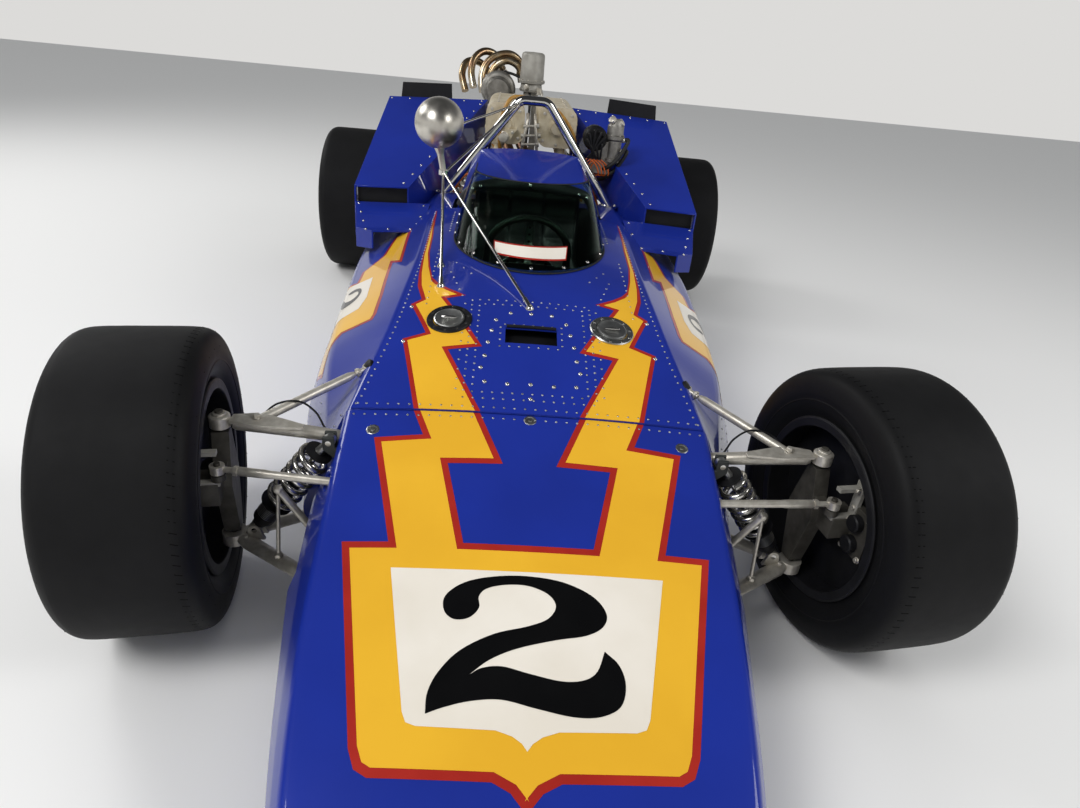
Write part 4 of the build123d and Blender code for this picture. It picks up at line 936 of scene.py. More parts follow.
class Skin:
    """The outer skin of dressed panels, which marks and fasteners are laid on."""

    def __init__(self, panels: Iterable[bpy.types.Object]) -> None:
        """Gather the panels' faces into one surface.

        Args:
            panels: The panels.
        """
        verts, faces = [], []
        for panel in panels:
            mesh = panel.data
            first = len(verts)
            verts.extend(v.co.copy() for v in mesh.vertices)
            faces.extend([first + i for i in p.vertices] for p in mesh.polygons)
        self.tree = BVHTree.FromPolygons(verts, faces)

    def drop(self, point: Point, towards: Point, lift: float = 0.0) -> Vector:
        """Move a point along a direction until it meets the skin.

        Args:
            point: The point, or any other on the same line.
            towards: The direction.
            lift: How far above the skin it stops.

        Returns:
            The point on the skin.
        """
        way = Vector(towards).normalized()
        start = Vector(point) - way * 2
        hit, normal, _, _ = self.tree.ray_cast(start, way)
        if hit is None:
            hit, normal, _, _ = self.tree.find_nearest(Vector(point))
        if normal.dot(way) > 0:
            normal = -normal
        return hit + normal * lift

    def line(self, points: Sequence[Point], towards: Point = (0, 0, -1), step: float = 0.02) -> list[Vector]:
        """Lay a line on the skin.

        Args:
            points: Corners of the line.
            towards: The direction that it is laid along.
            step: The distance between its new points.

        Returns:
            The points on the skin.
        """
        laid = []
        for a, b in zip(points, points[1:]):
            a, b = Vector(a), Vector(b)
            count = max(1, round((b - a).length / step))
            laid.extend(self.drop(a.lerp(b, k / count), towards) for k in range(count))
        return [*laid, self.drop(points[-1], towards)]

    def patch(self, name: str, outline: Sequence[Point], towards: Point, lift: float, finish: Finish,
              cell: float = 0.012) -> bpy.types.Object:
        """Lay a painted shape on the skin.

        Args:
            name: The new piece's name.
            outline: Its closed outline, as points in space.
            towards: The direction that it is laid along.
            lift: How far the paint stands above the skin.
            finish: The paint.
            cell: The size of the grid that follows the skin.

        Returns:
            The piece.
        """
        way = Vector(towards).normalized()
        u = LEFT if abs(way.x) < 0.1 else BACK
        v = way.cross(u)
        form = bmesh.new()
        corners = [form.verts.new(u * Vector(p).dot(u) + v * Vector(p).dot(v)) for p in outline]
        form.faces.new(corners).normal_update()
        bmesh.ops.triangulate(form, faces=form.faces[:])
        for across in (u, v):
            reach = [p.co.dot(across) for p in form.verts]
            at = math.ceil(min(reach) / cell) * cell
            while at < max(reach):
                bmesh.ops.bisect_plane(form, geom=form.verts[:] + form.edges[:] + form.faces[:],
                                       plane_co=across * at, plane_no=across, dist=1e-6)
                at += cell
        for p in form.verts:
            p.co = self.drop(p.co, way, lift)
        bmesh.ops.remove_doubles(form, verts=form.verts, dist=1e-6)
        for face in form.faces:
            face.normal_update()
            if face.normal.dot(way) > 0:
                face.normal_flip()
        mesh = bpy.data.meshes.new(name)
        form.to_mesh(mesh)
        form.free()
        return linked(name, mesh, [finish], 60)


def inset(outline: Sequence[Point], width: float, own_widths: dict[int, float] | None = None) -> list[Vector]:
    """Move a flat outline inwards by a border's width.

    Args:
        outline: Corners of the closed outline, in two dimensions.
        width: The border's width.
        own_widths: Borders of edges that differ, by the number of the edge's first corner.

    Returns:
        The corners of the inner outline.
    """
    corners = [Vector(p[:2]) for p in outline]
    area = sum(a.x * b.y - b.x * a.y for a, b in zip(corners, corners[1:] + corners[:1]))
    turn = 1 if area > 0 else -1
    normals, offsets = [], []
    for i, here in enumerate(corners):
        along = corners[(i + 1) % len(corners)] - here
        normals.append(Vector((-along.y, along.x)).normalized() * turn)
        offsets.append((own_widths or {}).get(i, width))
    moved = []
    for i, here in enumerate(corners):
        n, m, a, b = normals[i - 1], normals[i], offsets[i - 1], offsets[i]
        det = n.x * m.y - n.y * m.x
        if abs(det) < 0.12:
            moved.append(here + (n + m).normalized() * (a + b) / 2)
        else:
            moved.append(here + Vector(((a * m.y - b * n.y) / det, (b * n.x - a * m.x) / det)))
    return moved


# Bodywork

# Columns: distance aft, then crest x and z, shoulder x and z, side x and z, floor x, crown
NOSE_TABLE = (
    (-840, 292, 172, 304, 156, 312, 136, 300, 6),
    (-655, 340, 240, 356, 205, 372, 150, 350, 8),
    (-350, 374, 325, 402, 260, 436, 165, 410, 10),
    (-100, 384, 400, 426, 310, 480, 180, 450, 12),
    (68, 388, 450, 440, 340, 500, 185, 465, 12),
)
TUB_TABLE = (
    (68, 388, 450, 440, 340, 500, 185, 465, 12),
    (400, 336, 545, 496, 447, 560, 275, 525, 22),
    (750, 322, 592, 528, 458, 592, 285, 555, 28),
    (1200, 330, 612, 560, 462, 615, 290, 580, 30),
    (1520, 330, 612, 566, 462, 618, 290, 582, 30),
)


@dataclass
class Bodywork:
    """The painted shell: nose, tub, cowl, fairing, decks and flaps."""

    nose_floor: float = 95
    tub_floor: float = 70
    panel: float = 4
    crest_round: float = 22
    shoulder_round: float = 60
    side_round: float = 70
    floor_round: float = 25
    joint: float = 68
    joint_gap: float = 1.4
    arch_points: int = 14
    ring_step: float = 24
    cockpit_half_w: float = 265
    cockpit_front: float = 150
    cockpit_rear: float = 1440
    well_floor: float = 82
    well_top: float = 630
    inlet_w: float = 440
    inlet_h: float = 46
    inlet_z: float = 140
    slot_w: float = 124
    slot_front: float = 280
    slot_rear: float = 334
    cowl_end: float = 1200
    cowl_margin: float = 7

    def outline(self, table: Sequence[Sequence[float]], distance: float, floor: float, shrink: float = 0.0,
                crowned: bool = True) -> list[Vector]:
        """Give the closed section of the body at one place.

        Args:
            table: The body's sections.
            distance: The place, in millimetres behind the front axle.
            floor: The height of the underside.
            shrink: How far the outline is moved inwards.
            crowned: Whether the top is arched.

        Returns:
            The ring of points, in metres.
        """
        crest_x, crest_z, shoulder_x, shoulder_z, side_x, side_z, floor_x, crown = glide(table, distance)
        crest_x, top = crest_x - shrink, crest_z - shrink
        rise = crown if crowned else 0.0
        arch = [(crest_x * k / self.arch_points, 0, top + rise * (1 - (k / self.arch_points) ** 2))
                for k in range(self.arch_points + 1)]
        corners = [*arch, (shoulder_x - shrink, 0, shoulder_z), (side_x - shrink, 0, side_z),
                   (floor_x - shrink, 0, floor + shrink), (0, 0, floor + shrink)]
        radii = [*[0.0] * self.arch_points, self.crest_round, self.shoulder_round, self.side_round,
                 self.floor_round, 0.0]
        right = rounded(corners, radii)
        ring = right + [Vector((-p.x, 0, p.z)) for p in reversed(right[1:-1])]
        return [Vector((p.x * MM, aft(distance), p.z * MM)) for p in ring]

    def places(self, start: float, end: float) -> list[float]:
        """Spread ring places evenly between two distances."""
        count = max(1, round((end - start) / self.ring_step))
        return [start + (end - start) * k / count for k in range(count + 1)]

    def nose(self) -> bpy.types.Object:
        """Build the hollow nose, with its inlet and the windows for the suspension.

        Returns:
            The nose.
        """
        tip, edge = NOSE_TABLE[0][0], 9.0
        rings = []
        for k in range(5):
            turn = math.pi / 2 * k / 4
            rings.append(self.outline(NOSE_TABLE, tip + edge * (1 - math.sin(turn)) * 0.999 + 0.001,
                                      self.nose_floor, edge * (1 - math.cos(turn))))
        rings.reverse()
        outer = rings + [self.outline(NOSE_TABLE, d, self.nose_floor)
                         for d in self.places(tip + edge + 8, self.joint - self.joint_gap / 2)]
        shell = Form().rings(outer).object("nose_shell", [BLUE])
        hollow = [self.outline(NOSE_TABLE, min(d, self.joint), self.nose_floor, self.panel)
                  for d in self.places(tip + 10, self.joint)]
        hollow.append([p + Vector((0, 0.02, 0)) for p in hollow[-1]])
        carve(shell, Form().rings(hollow))
        half = (self.inlet_w - self.inlet_h) / 2
        mouth = [*arc((half, self.inlet_z), self.inlet_h / 2, -90, 90, 10),
                 *arc((-half, self.inlet_z), self.inlet_h / 2, 90, 270, 10)]
        carve(shell, Form().slab(section(mouth, tip - 20), (0, 0.05, 0)))
        window = [(-205, 120), (80, 120), (80, 438), (68, 438), (-52, 402), (-52, 300), (-205, 240)]
        rod_hole = [(-97 + 24 * math.cos(t), 373 + 17 * math.sin(t)) for t in turns(20)]
        for outline in (window, rod_hole):
            for near in (0.375, -0.6):
                ring = [(near, aft(d), z * MM) for d, z in outline]
                carve(shell, Form().slab(ring, (0.225, 0, 0)))
        return self.dressed(shell, "nose")

    def dressed(self, panel: bpy.types.Object, node: str) -> bpy.types.Object:
        """Smooth a carved panel and let it ride.

        Args:
            panel: The panel.
            node: The node that it stands for.

        Returns:
            The panel.
        """
        tidy(panel.data, 2e-5)
        panel.data.shade_smooth()
        panel.data.set_sharp_from_angle(angle=math.radians(28))
        return settle(panel, replaces=[node])

    def tub(self) -> bpy.types.Object:
        """Build the monocoque, with the cockpit cut out of it; the footbox ahead of it is built on its own.

        Returns:
            The tub.
        """
        start = self.joint + self.joint_gap / 2
        rings = [self.outline(TUB_TABLE, max(d, start), self.tub_floor, crowned=False)
                 for d in self.places(start, 1515)]
        rings.append(self.outline(TUB_TABLE, 1520, self.tub_floor, 4, crowned=False))
        shell = Form().rings(rings).object("tub_shell", [BLUE, PRIMED])
        half, front, rear, r = self.cockpit_half_w, self.cockpit_front, self.cockpit_rear, 40
        plan = [*arc((half - r, rear - r), r, 0, 90, 5), *arc((r - half, rear - r), r, 90, 180, 5),
                *arc((r - half, front + r), r, 180, 270, 5), *arc((half - r, front + r), r, 270, 360, 5)]
        well = [(x * MM, aft(d), self.well_floor * MM) for x, d in plan]
        carve(shell, Form().slab(well, UP))
        tidy(shell.data, 2e-5)
        for face in shell.data.polygons:
            c = face.center
            inside = abs(c.x) < (half + 0.5) * MM and aft(front - 1) < c.y < aft(rear + 1)
            face.material_index = int(inside and (self.well_floor - 0.5) * MM < c.z < self.well_top * MM)
        return self.dressed(shell, "tub")

    def footbox(self) -> bpy.types.Object:
        """Build the box for the driver's feet, which the suspension is bolted to.

        Returns:
            The box.
        """
        side = [(-300, 99), (69, 99), (69, 400), (-300, 262)]
        form = Form().slab([(-0.340, aft(d), z * MM) for d, z in side], (0.68, 0, 0))
        for turn in (1, -1):
            for distance, height in ((-190, 0.150), (54, 0.384)):
                form.lathe([(0, 0.030), (0.005, 0.030), (0.014, 0.022)],
                           (turn * 0.339, aft(distance), height), (turn, 0, 0), 20)
            ear = [(turn * x, z) for x, z in ((330, 330), (330, 372), (384, 408), (396, 410), (396, 434),
                                              (420, 434), (420, 404), (380, 370))]
            for near in (-15.3, 7.3):
                form.slab(section(ear, -12 + near), (0, 0.008, 0))
        return form.piece("footbox", [PRIMED], bevel=0.002)

    def cowl(self) -> bpy.types.Object:
        """Build the top panel, with its air slot and the cut for the screen.

        Returns:
            The cowl.
        """
        rings = []
        for distance in self.places(self.joint + self.joint_gap / 2, self.cowl_end):
            distance = max(distance, TUB_TABLE[0][0])
            crest, top, *_, crown = glide(TUB_TABLE, distance)
            reach, count = crest - self.cowl_margin, 2 * self.arch_points
            across = [reach * (2 * k / count - 1) for k in range(count + 1)]
            over = [(x, top + crown * (1 - (x / crest) ** 2)) for x in across]
            over[0], over[-1] = (over[0][0], over[0][1] - 1), (over[-1][0], over[-1][1] - 1)
            rings.append(section([(x, z + self.panel) for x, z in over] + over[::-1], distance))
        shell = Form().rings(rings).object("cowl_panel", [BLUE])
        half = self.slot_w * MM / 2
        carve(shell, Form().block((-half, aft(self.slot_front), 0.3), (half, aft(self.slot_rear), 0.9)))
        rim = 230
        bow = [(rim * math.cos(t), 900 - 276 * math.sin(t)) for t in turns(48)[:25]]
        plan = [(rim, 1230), *bow, (-rim, 1230)]
        carve(shell, Form().slab([(x * MM, aft(d), 0.45) for x, d in plan], (0, 0, 0.5)))
        return self.dressed(shell, "cowl")

    def slot_shade_floor(self) -> bpy.types.Object:
        """Build a satin black plate under the cowl's air slot, painted shade for the inside of the slot, with a
        dark lip along its back edge.

        Returns:
            The plate and its lip.
        """
        half = self.slot_w * MM / 2 + 0.004
        front, rear = aft(self.slot_front - 6), aft(self.slot_rear + 40)
        # Painted shade: the black plate closes the slot's floor so that the slot reads dark.
        form = Form().slab([(-half, front, 0.512), (half, front, 0.512), (half, rear, 0.530),
                            (-half, rear, 0.530)], UP * 0.003)
        lip = [(x * MM, aft(self.slot_rear) + 0.001, self.skin_z(x, self.slot_rear) + 0.004)
               for x in range(-60, 61, 10)]
        form.tube(lip, 0.004, 10)
        return form.piece("cowl_duct", [SATIN])

    def skin_z(self, x: float, distance: float) -> float:
        """Give the height in metres of the cowl's outer face."""
        crest, top, *_, crown = glide(TUB_TABLE, distance)
        return (top + self.panel + crown * (1 - (x / crest) ** 2)) * MM

    def arch(self, distance: float, edge: float, foot: float = 612.4) -> list[tuple[float, float]]:
        """Give the fairing's section at one place, moved inwards by an edge, in millimetres.

        Args:
            distance: The place, in millimetres behind the front axle.
            edge: How far the section is moved inwards.
            foot: The height of its feet.

        Returns:
            The points of the section, as x and z.
        """
        half, crown = glide(((1215, 232, 730), (1480, 214, 798)), distance)
        reach, top = half - 34 - edge / 2, crown - edge
        over = [(reach * (1 - k / 8), top - 12 * (1 - k / 8) ** 2) for k in range(9)]
        right = rounded([(half + 14 - edge, foot), (half - edge, top - 58 + edge), *over],
                        [0, 46, 30] + [0] * 8, 6)
        return [(p.x, p.y) for p in right] + [(-p.x, p.y) for p in reversed(right[:-1])]

    def fairing(self) -> bpy.types.Object:
        """Build the arched shell behind the driver.

        Returns:
            The fairing.
        """
        rings = []
        for k in range(9):
            distance = 1215 + 265 * k / 8
            rings.append(section(self.arch(distance, 0) + self.arch(distance, self.panel)[::-1], distance))
        return Form().rings(rings).piece("rear_fairing", [BLUE], ["headrest_fairing"], bevel=0.0012)

    def decks(self) -> list[bpy.types.Object]:
        """Dress the two decks, close their scoops with black plates that are painted shade for the inside of the
        intakes, and raise the flaps.

        Returns:
            The two decks.
        """
        made = [node_copy(f"deck_{name}", f"{name}_deck_panel", BLUE, 0.004) for name, _ in SIDES]
        # Painted shade: a satin black plate across the mouth of each scoop stands in for the shade inside the
        # intake.
        shade_plate = Form().slab(section([(427, 560), (600, 530), (600, 655), (427, 664)], 1322), (0, 0.003, 0))
        shade_plate.mirrored().piece("scoop_liners", [SATIN])
        flaps = Form().slab(section([(330, 880), (545, 870), (537, 944), (334, 954)], 2010), (0, 0.005, 0))
        flaps.tube([(0.334, aft(2012.5), 0.951), (0.537, aft(2012.5), 0.941)], 0.003, 10)
        flaps.mirrored().piece("deck_flaps", [SATIN], ["spoiler_flaps"], bevel=0.001)
        return made

    def radiator(self) -> bpy.types.Object:
        """Build the core with its tanks.

        Returns:
            The radiator.
        """
        form = Form()
        y = aft(-560)
        form.block((-0.245, y + 0.003, 0.102), (0.245, y + 0.043, 0.246), 0)
        for side in (1, -1):
            form.block((side * 0.245, y, 0.0995), (side * 0.269, y + 0.046, 0.2485), 1)
        for height in (0.0995, 0.244):
            form.block((-0.245, y, height), (0.245, y + 0.046, height + 0.0045), 1)
        return form.piece("radiator_core", [CORE, SATIN], ["radiator"], bevel=0.002)

    def build(self) -> tuple[Skin, Skin, list[bpy.types.Object]]:
        """Build every panel.

        Returns:
            The skin of the body, the skin of the decks, and the panels that they are made of.
        """
        nose, tub, cowl = self.nose(), self.tub(), self.cowl()
        self.footbox()
        self.slot_shade_floor()
        self.fairing()
        decks = self.decks()
        self.radiator()
        return Skin([nose, tub, cowl]), Skin(decks), [nose, tub, cowl, *decks]


# Paint

# Columns: x and y in metres on one half of the car, seen from above, along the edge
NOSE_FLASH = ((0.248, -1.0627), (0.221, -1.128), (0.319, -1.139), (0.2536, -1.380), (0.336, -1.3815),
              (0.2587, -1.725), (0.2463, -1.7515), (0.2262, -1.762), (0.0508, -1.765), (0.0233, -1.778),
              (0.008, -1.795), (0.0, -1.812))
NOSE_FLASH_INNER = ((0.1192, -1.3786), (0.1636, -1.200), (0.054, -1.196), (0.1072, -1.0627))
NUMBER_PANEL = ((0.2414, -1.4317), (0.189, -1.673), (0.1817, -1.688), (0.1666, -1.693), (0.0478, -1.6966),
                (0.0228, -1.7043), (0.008, -1.714), (0.0, -1.7244))
COWL_FLASH = ((0.1072, -1.0613), (0.2485, -1.0613), (0.302, -0.844), (0.2505, -0.822), (0.301, -0.699),
              (0.277, -0.676), (0.2955, -0.605), (0.301, -0.53), (0.305, -0.40), (0.307, -0.27), (0.309, -0.15),
              (0.310, -0.02), (0.309, 0.06), (0.304, -0.02), (0.298, -0.16), (0.2925, -0.24), (0.288, -0.39),
              (0.2755, -0.49), (0.262, -0.56), (0.2435, -0.592), (0.214, -0.623), (0.1667, -0.6594),
              (0.215, -0.6735), (0.193, -0.719), (0.1149, -0.867), (0.193, -0.880))
# Columns: x, y and z on the tub's left flank, along the edge of the side flash
FLANK_FLASH = ((0.383, 0.060, 0.580), (0.380, -0.04, 0.575), (0.370, -0.366, 0.562), (0.402, -0.324, 0.543),
               (0.391, -0.56, 0.530), (0.390, -0.675, 0.518), (0.395, -0.703, 0.51), (0.4316, -0.700, 0.489),
               (0.473, -0.696, 0.464), (0.4905, -0.723, 0.451), (0.520, -0.800, 0.400), (0.560, -0.700, 0.335),
               (0.580, -0.300, 0.330), (0.574, -0.250, 0.380), (0.505, -0.3365, 0.475), (0.5027, -0.252, 0.48),
               (0.4763, -0.226, 0.50), (0.448, -0.194, 0.52), (0.433, -0.05, 0.538), (0.398, 0.0, 0.565))
FLANK_PANEL = ((0.450, -0.366, 0.505), (0.440, -0.52, 0.500), (0.4525, -0.58, 0.488), (0.530, -0.600, 0.400),
               (0.560, -0.580, 0.352), (0.574, -0.350, 0.352), (0.565, -0.320, 0.400), (0.512, -0.345, 0.465))
# Outline of the figure two between its three sharp corners, on a grid of its own, y down
FIGURE_RUNS = (
    ((153, 184), (153, 165), (162, 145), (182, 124), (215, 107), (250, 98), (272, 89), (281, 75), (272, 62),
     (250, 54), (225, 54), (205, 59), (197, 68), (198, 80), (188, 91), (172, 93), (161, 84), (161, 68), (180, 53),
     (212, 45), (250, 43), (290, 48), (322, 62), (336, 80), (331, 95), (312, 105), (280, 111), (240, 121),
     (212, 133), (192, 148)),
    ((192, 148), (205, 141), (225, 139), (252, 145), (285, 151), (308, 149), (322, 140), (331, 120)),
    ((331, 120), (345, 133), (350, 152), (343, 172), (322, 182), (295, 183), (260, 177), (225, 170), (195, 172),
     (170, 178), (153, 184)),
)
FIGURE_MIDDLE = Vector((251, 112.5, 0))
FIGURE_HALF = (98.5, 70.5)


@dataclass
class Livery:
    """Sign painter's work: flashes, number panels and numerals, each a coat of paint."""

    skin: Skin
    border: float = 0.013
    coat: float = 0.0004
    flank_slope: float = 0.88

    def lay(self, name: str, outline: Sequence[Point], coats: int, finish: Finish,
            towards: Point = DOWN) -> None:
        """Lay one colour on the chassis, so many coats up."""
        settle(self.skin.patch(name, outline, towards, self.coat * coats, finish))

    def lay_flat(self, name: str, outline: Iterable[Point], coats: int, finish: Finish) -> None:
        """Lay one colour whose outline is drawn as seen from above."""
        self.lay(name, [(*p, 0) for p in outline], coats, finish)

    def nose(self) -> None:
        """Paint the nose: a bordered flash, a white panel and the numeral with its foot to the tip."""
        across = [(-x, y) for x, y in reversed(NOSE_FLASH[:-1])]
        outline = [*NOSE_FLASH, *across, *[(-x, y) for x, y in reversed(NOSE_FLASH_INNER)], *NOSE_FLASH_INNER]
        joint = -1.063
        at_joint = [i for i, (_, y) in enumerate(outline)
                    if y > joint and outline[(i + 1) % len(outline)][1] > joint]
        self.lay_flat("nose_flash_border", outline, 1, RED)
        self.lay_flat("nose_flash", inset(outline, self.border, dict.fromkeys(at_joint, 0.0)), 2, YELLOW)
        self.lay_flat("nose_number_panel", [*NUMBER_PANEL, *[(-x, y) for x, y in reversed(NUMBER_PANEL[:-1])]],
                      3, WHITE)
        self.lay_flat("nose_number", [(x, -1.556 + y) for x, y in self.numeral(0.31, 0.236)], 4, BLACK)

    def cowl(self) -> None:
        """Paint the cowl: two bordered flashes that run back from the nose."""
        for name, side in SIDES:
            outline = [(side * x, y) for x, y in COWL_FLASH]
            self.lay_flat(f"cowl_flash_border_{name}", outline, 1, RED)
            thin = {0: 0.0, **dict.fromkeys(range(7, 18), 0.0046)}
            inner = inset(outline, self.border * 0.8, thin)
            inner[11:14] = [Vector((side * 0.3045, -0.09))]
            self.lay_flat(f"cowl_flash_{name}", inner, 2, YELLOW)

    def flank(self) -> None:
        """Paint the tub's flanks: a bordered flash with a white panel on each."""
        for name, side in SIDES:
            towards = Vector((-side, 0, -self.flank_slope)).normalized()
            across = towards.cross(BACK)
            flat, panel = ([(p[1], sided(p, side).dot(across)) for p in line]
                           for line in (FLANK_FLASH, FLANK_PANEL))

            def back(points: Iterable[Point]) -> list[Vector]:
                """Turn flat points into points in space."""
                return [Vector((0, p[0], 0)) + across * p[1] for p in points]

            self.lay(f"flank_flash_border_{name}", back(flat), 1, RED, towards)
            self.lay(f"flank_flash_{name}", back(inset(flat, self.border * 0.8)), 2, YELLOW, towards)
            self.lay(f"flank_number_panel_{name}", back(panel), 3, WHITE, towards)
            middle = Vector((sum(p[0] for p in panel), sum(p[1] for p in panel))) / len(panel)
            figure = [(middle.x + side * x, middle.y - side * y) for x, y in self.numeral(0.13, 0.14)]
            self.lay(f"flank_number_{name}", back(figure), 4, BLACK, towards)

    def numeral(self, width: float, height: float) -> list[tuple[float, float]]:
        """Draw a plain round figure two about its middle.

        Args:
            width: Its width in metres.
            height: Its height in metres.

        Returns:
            Its outline, with x across and y up.
        """
        wide, high = FIGURE_HALF
        line = [p - FIGURE_MIDDLE for run in FIGURE_RUNS for p in bend([(*p, 0) for p in run], 5)[:-1]]
        return [(p.x / wide * width / 2, -p.y / high * height / 2) for p in line]

    def build(self) -> None:
        """Paint everything."""
        self.nose()
        self.cowl()
        self.flank()


# Screen, mirror, roll bar and cockpit


@dataclass
class Windscreen:
    """Wraparound acrylic screen with a dark foot strip, screws and a blank plate."""

    base_half: float = 228
    base_front: float = 600
    base_end: float = 1130
    top_half: float = 180
    top_front: float = 930
    top_end: float = 1190
    top_z: float = 0.784
    bulge: float = 0.005
    columns: int = 56
    rows: int = 9

    def plan(self, share: float, half: float, front: float, end: float) -> tuple[float, float]:
        """Give x and distance aft of a point along the U, from one end to the other.

        Args:
            share: Its share along the U.
            half: Half the width of the U.
            front: Where the U begins, in millimetres behind the front axle.
            end: Where its legs end.

        Returns:
            The x and the distance aft, in millimetres.
        """
        shoulder = front + 0.55 * (end - front)
        leg, bow = end - shoulder, math.pi * 0.5 * (half + shoulder - front)
        walk = share * (2 * leg + bow)
        if walk < leg:
            return -half, end - walk
        if walk > leg + bow:
            return half, shoulder + (walk - leg - bow)
        turn = math.pi * (walk - leg) / bow
        return -half * math.cos(turn), shoulder - (shoulder - front) * math.sin(turn)

    def point(self, share: float, rise: float, body: Bodywork) -> Vector:
        """Give a point of the sheet by its share along the U and up the height.

        Args:
            share: Its share along the U.
            rise: Its share of the height.
            body: The bodywork that the screen stands on.

        Returns:
            The point, in metres.
        """
        x0, d0 = self.plan(share, self.base_half, self.base_front, self.base_end)
        x1, d1 = self.plan(share, self.top_half, self.top_front, self.top_end)
        low = Vector((x0 * MM, aft(d0), body.skin_z(x0, d0) + 0.001))
        high = Vector((x1 * MM, aft(d1), self.top_z))
        out = Vector((x0, (d0 - self.base_end) * 0.8, 120)).normalized()
        return low.lerp(high, rise) + out * self.bulge * 4 * rise * (1 - rise)

    def build(self, body: Bodywork) -> None:
        """Build the sheet, its trim, its screws and the plate.

        Args:
            body: The bodywork that the screen stands on.
        """
        grid = [[self.point(c / self.columns, r / self.rows, body) for c in range(self.columns + 1)]
                for r in range(self.rows + 1)]
        wall = Vector((0, 0.0032, 0.0015))
        inner = [[p + Vector((-p.x * 0.012, 0, 0)) + wall * (1 if abs(p.x) < 0.2 else 0.2) for p in row]
                 for row in grid]
        rings = [outer + back[::-1] for outer, back in zip(grid, inner)]
        sheet = Form().rings(rings).object("screen_sheet", [ACRYLIC], 60)
        settle(sheet, replaces=["windscreen"])
        for name, rise, off, radius in (("screen_foot_strip", 0.0, (0, -0.001, 0.0015), 0.0024),
                                        ("screen_rim_bead", 1.0, (0, 0.001, -0.0005), 0.0022)):
            line = [self.point(c / 80, rise, body) + Vector(off) for c in range(81)]
            Form().tube(line, radius, 8).piece(name, [HOSE])
        skin = Skin([sheet])
        rows = FastenerRows(sheet)
        line = [self.point(c / 60, 0.055, body) for c in range(3, 58)]
        rows.lay("screen_screws", CHASSIS, [line], 0.088, 0.0052, Head.SCREW, CHROME)
        plate = [(-0.106, 0.659), (0.102, 0.659), (0.097, 0.632), (-0.104, 0.634)]
        border = [(x, aft(500), z) for x, z in plate]
        settle(skin.patch("screen_plate_border", border, BACK, 0.0012, RED))
        blank = [(x, aft(500), z) for x, z in inset(plate, 0.0028)]
        settle(skin.patch("screen_plate", blank, BACK, 0.0018, WHITE))
        corners = ((1025, 0.664), (1130, 0.720), (1130, 0.752), (1025, 0.696))
        for name, side in SIDES:
            label = [(side * 0.3, aft(d), z) for d, z in corners]
            settle(skin.patch(f"screen_label_{name}", label, LEFT * -side, 0.0012, LABEL))


@dataclass
class MirrorPod:
    """Chromed bullet mirror on its post, with a tripod and two braces of thin rod."""

    at: tuple[float, float, float] = (-0.292, aft(1000), 0.921)
    radius: float = 0.072
    length: float = 0.150
    post: tuple[float, float, float] = (-0.276, aft(1000), 0.781)
    feet: tuple[tuple[float, float], ...] = ((-4, 420), (-246, 640), (-235, 520))
    stay: float = 0.0042

    def build(self, body: Bodywork) -> None:
        """Build the shell, the glass and the rods.

        Args:
            body: The bodywork that the rods stand on.
        """
        form = Form()
        shell = []
        for k in range(17):
            turn = math.pi / 2 * k / 16
            shell.append((-0.6 * self.length * math.cos(turn), self.radius * math.sin(turn) ** 0.86))
        shell += [(0.012, self.radius), (0.03, self.radius * 0.985), (0.05, self.radius * 0.93),
                  (0.058, self.radius * 0.9), (0.0595, self.radius * 0.86), (0.052, self.radius * 0.84),
                  (0.050, 0.0)]
        form.lathe(shell, self.at, BACK, 56, 0)
        glass = self.radius * 0.83
        form.lathe([(0.0500, glass), (0.0530, glass), (0.0535, 0.0)], self.at, BACK, 56, 1)
        post = Vector(self.post)
        neck = Vector(self.at) + Vector((0.002, 0, -self.radius * 0.93))
        form.tube([neck, neck.lerp(post, 0.25), neck.lerp(post, 0.3), post], [0.017, 0.012, 0.0105, 0.0095], 16)
        form.sleeve(-0.008, 0.006, 0.013, 0.0145, post, UP, 20, 2)
        for x, distance in self.feet:
            foot = Vector((x * MM, aft(distance), body.skin_z(x, distance)))
            socket = foot.lerp(post, 0.05) + UP * 0.004
            form.tube([post, socket], self.stay, 12, 2)
            form.tube([socket, foot + UP * 0.004], 0.0062, 12, 2)
            form.lathe([(-0.003, 0.011), (0.0015, 0.011), (0.004, 0.0085), (0.008, 0.007), (0.0095, 0.0)], foot,
                       UP, 20, 2)
        apex = Vector((-0.05, aft(1490.5), 0.950))
        side = Vector(self.at) + Vector((self.radius * 0.9, 0.02, 0.0))
        for start in (side, post + Vector((0.006, 0.006, 0.0))):
            form.tube([start, apex], self.stay, 12, 2)
        form.stub(-0.01, 0.01, 0.008, apex, LEFT, 12, 2)
        form.piece("mirror_pod", [SPUN, GLASS_SILVER, CHROME], ["mirror"], crease=50)


@dataclass
class RollBar:
    """Chromed inverted V behind the fairing, on bolted feet."""

    foot_x: float = 0.313
    top_x: float = 0.050
    top_z: float = 0.962
    foot_z: float = 0.612
    radius: float = 0.0165
    distance: float = 1497.3

    def build(self) -> None:
        """Build the bent tube and its feet."""
        y = aft(self.distance)
        corners = [(-self.foot_x, y, self.foot_z), (-self.top_x, y, self.top_z), (self.top_x, y, self.top_z),
                   (self.foot_x, y, self.foot_z)]
        form = Form().tube(rounded(corners, [0, 0.045, 0.045, 0], 12), self.radius, 28)
        for side in (1, -1):
            foot = Vector((side * self.foot_x, y, self.foot_z))
            form.slab(circle(foot, LEFT * 0.036, BACK * 0.022, 28), UP * 0.006)
            form.bolts([foot + UP * 0.006 + LEFT * x for x in (-0.026, 0.026)], UP, 0.0055)
            form.tube([(side * 0.151, y + 0.004, 0.828), (side * 0.17, aft(1640), 0.640)], 0.009, 16)
        form.piece("roll_bar_tube", [CHROME], ["roll_bar"], crease=50)


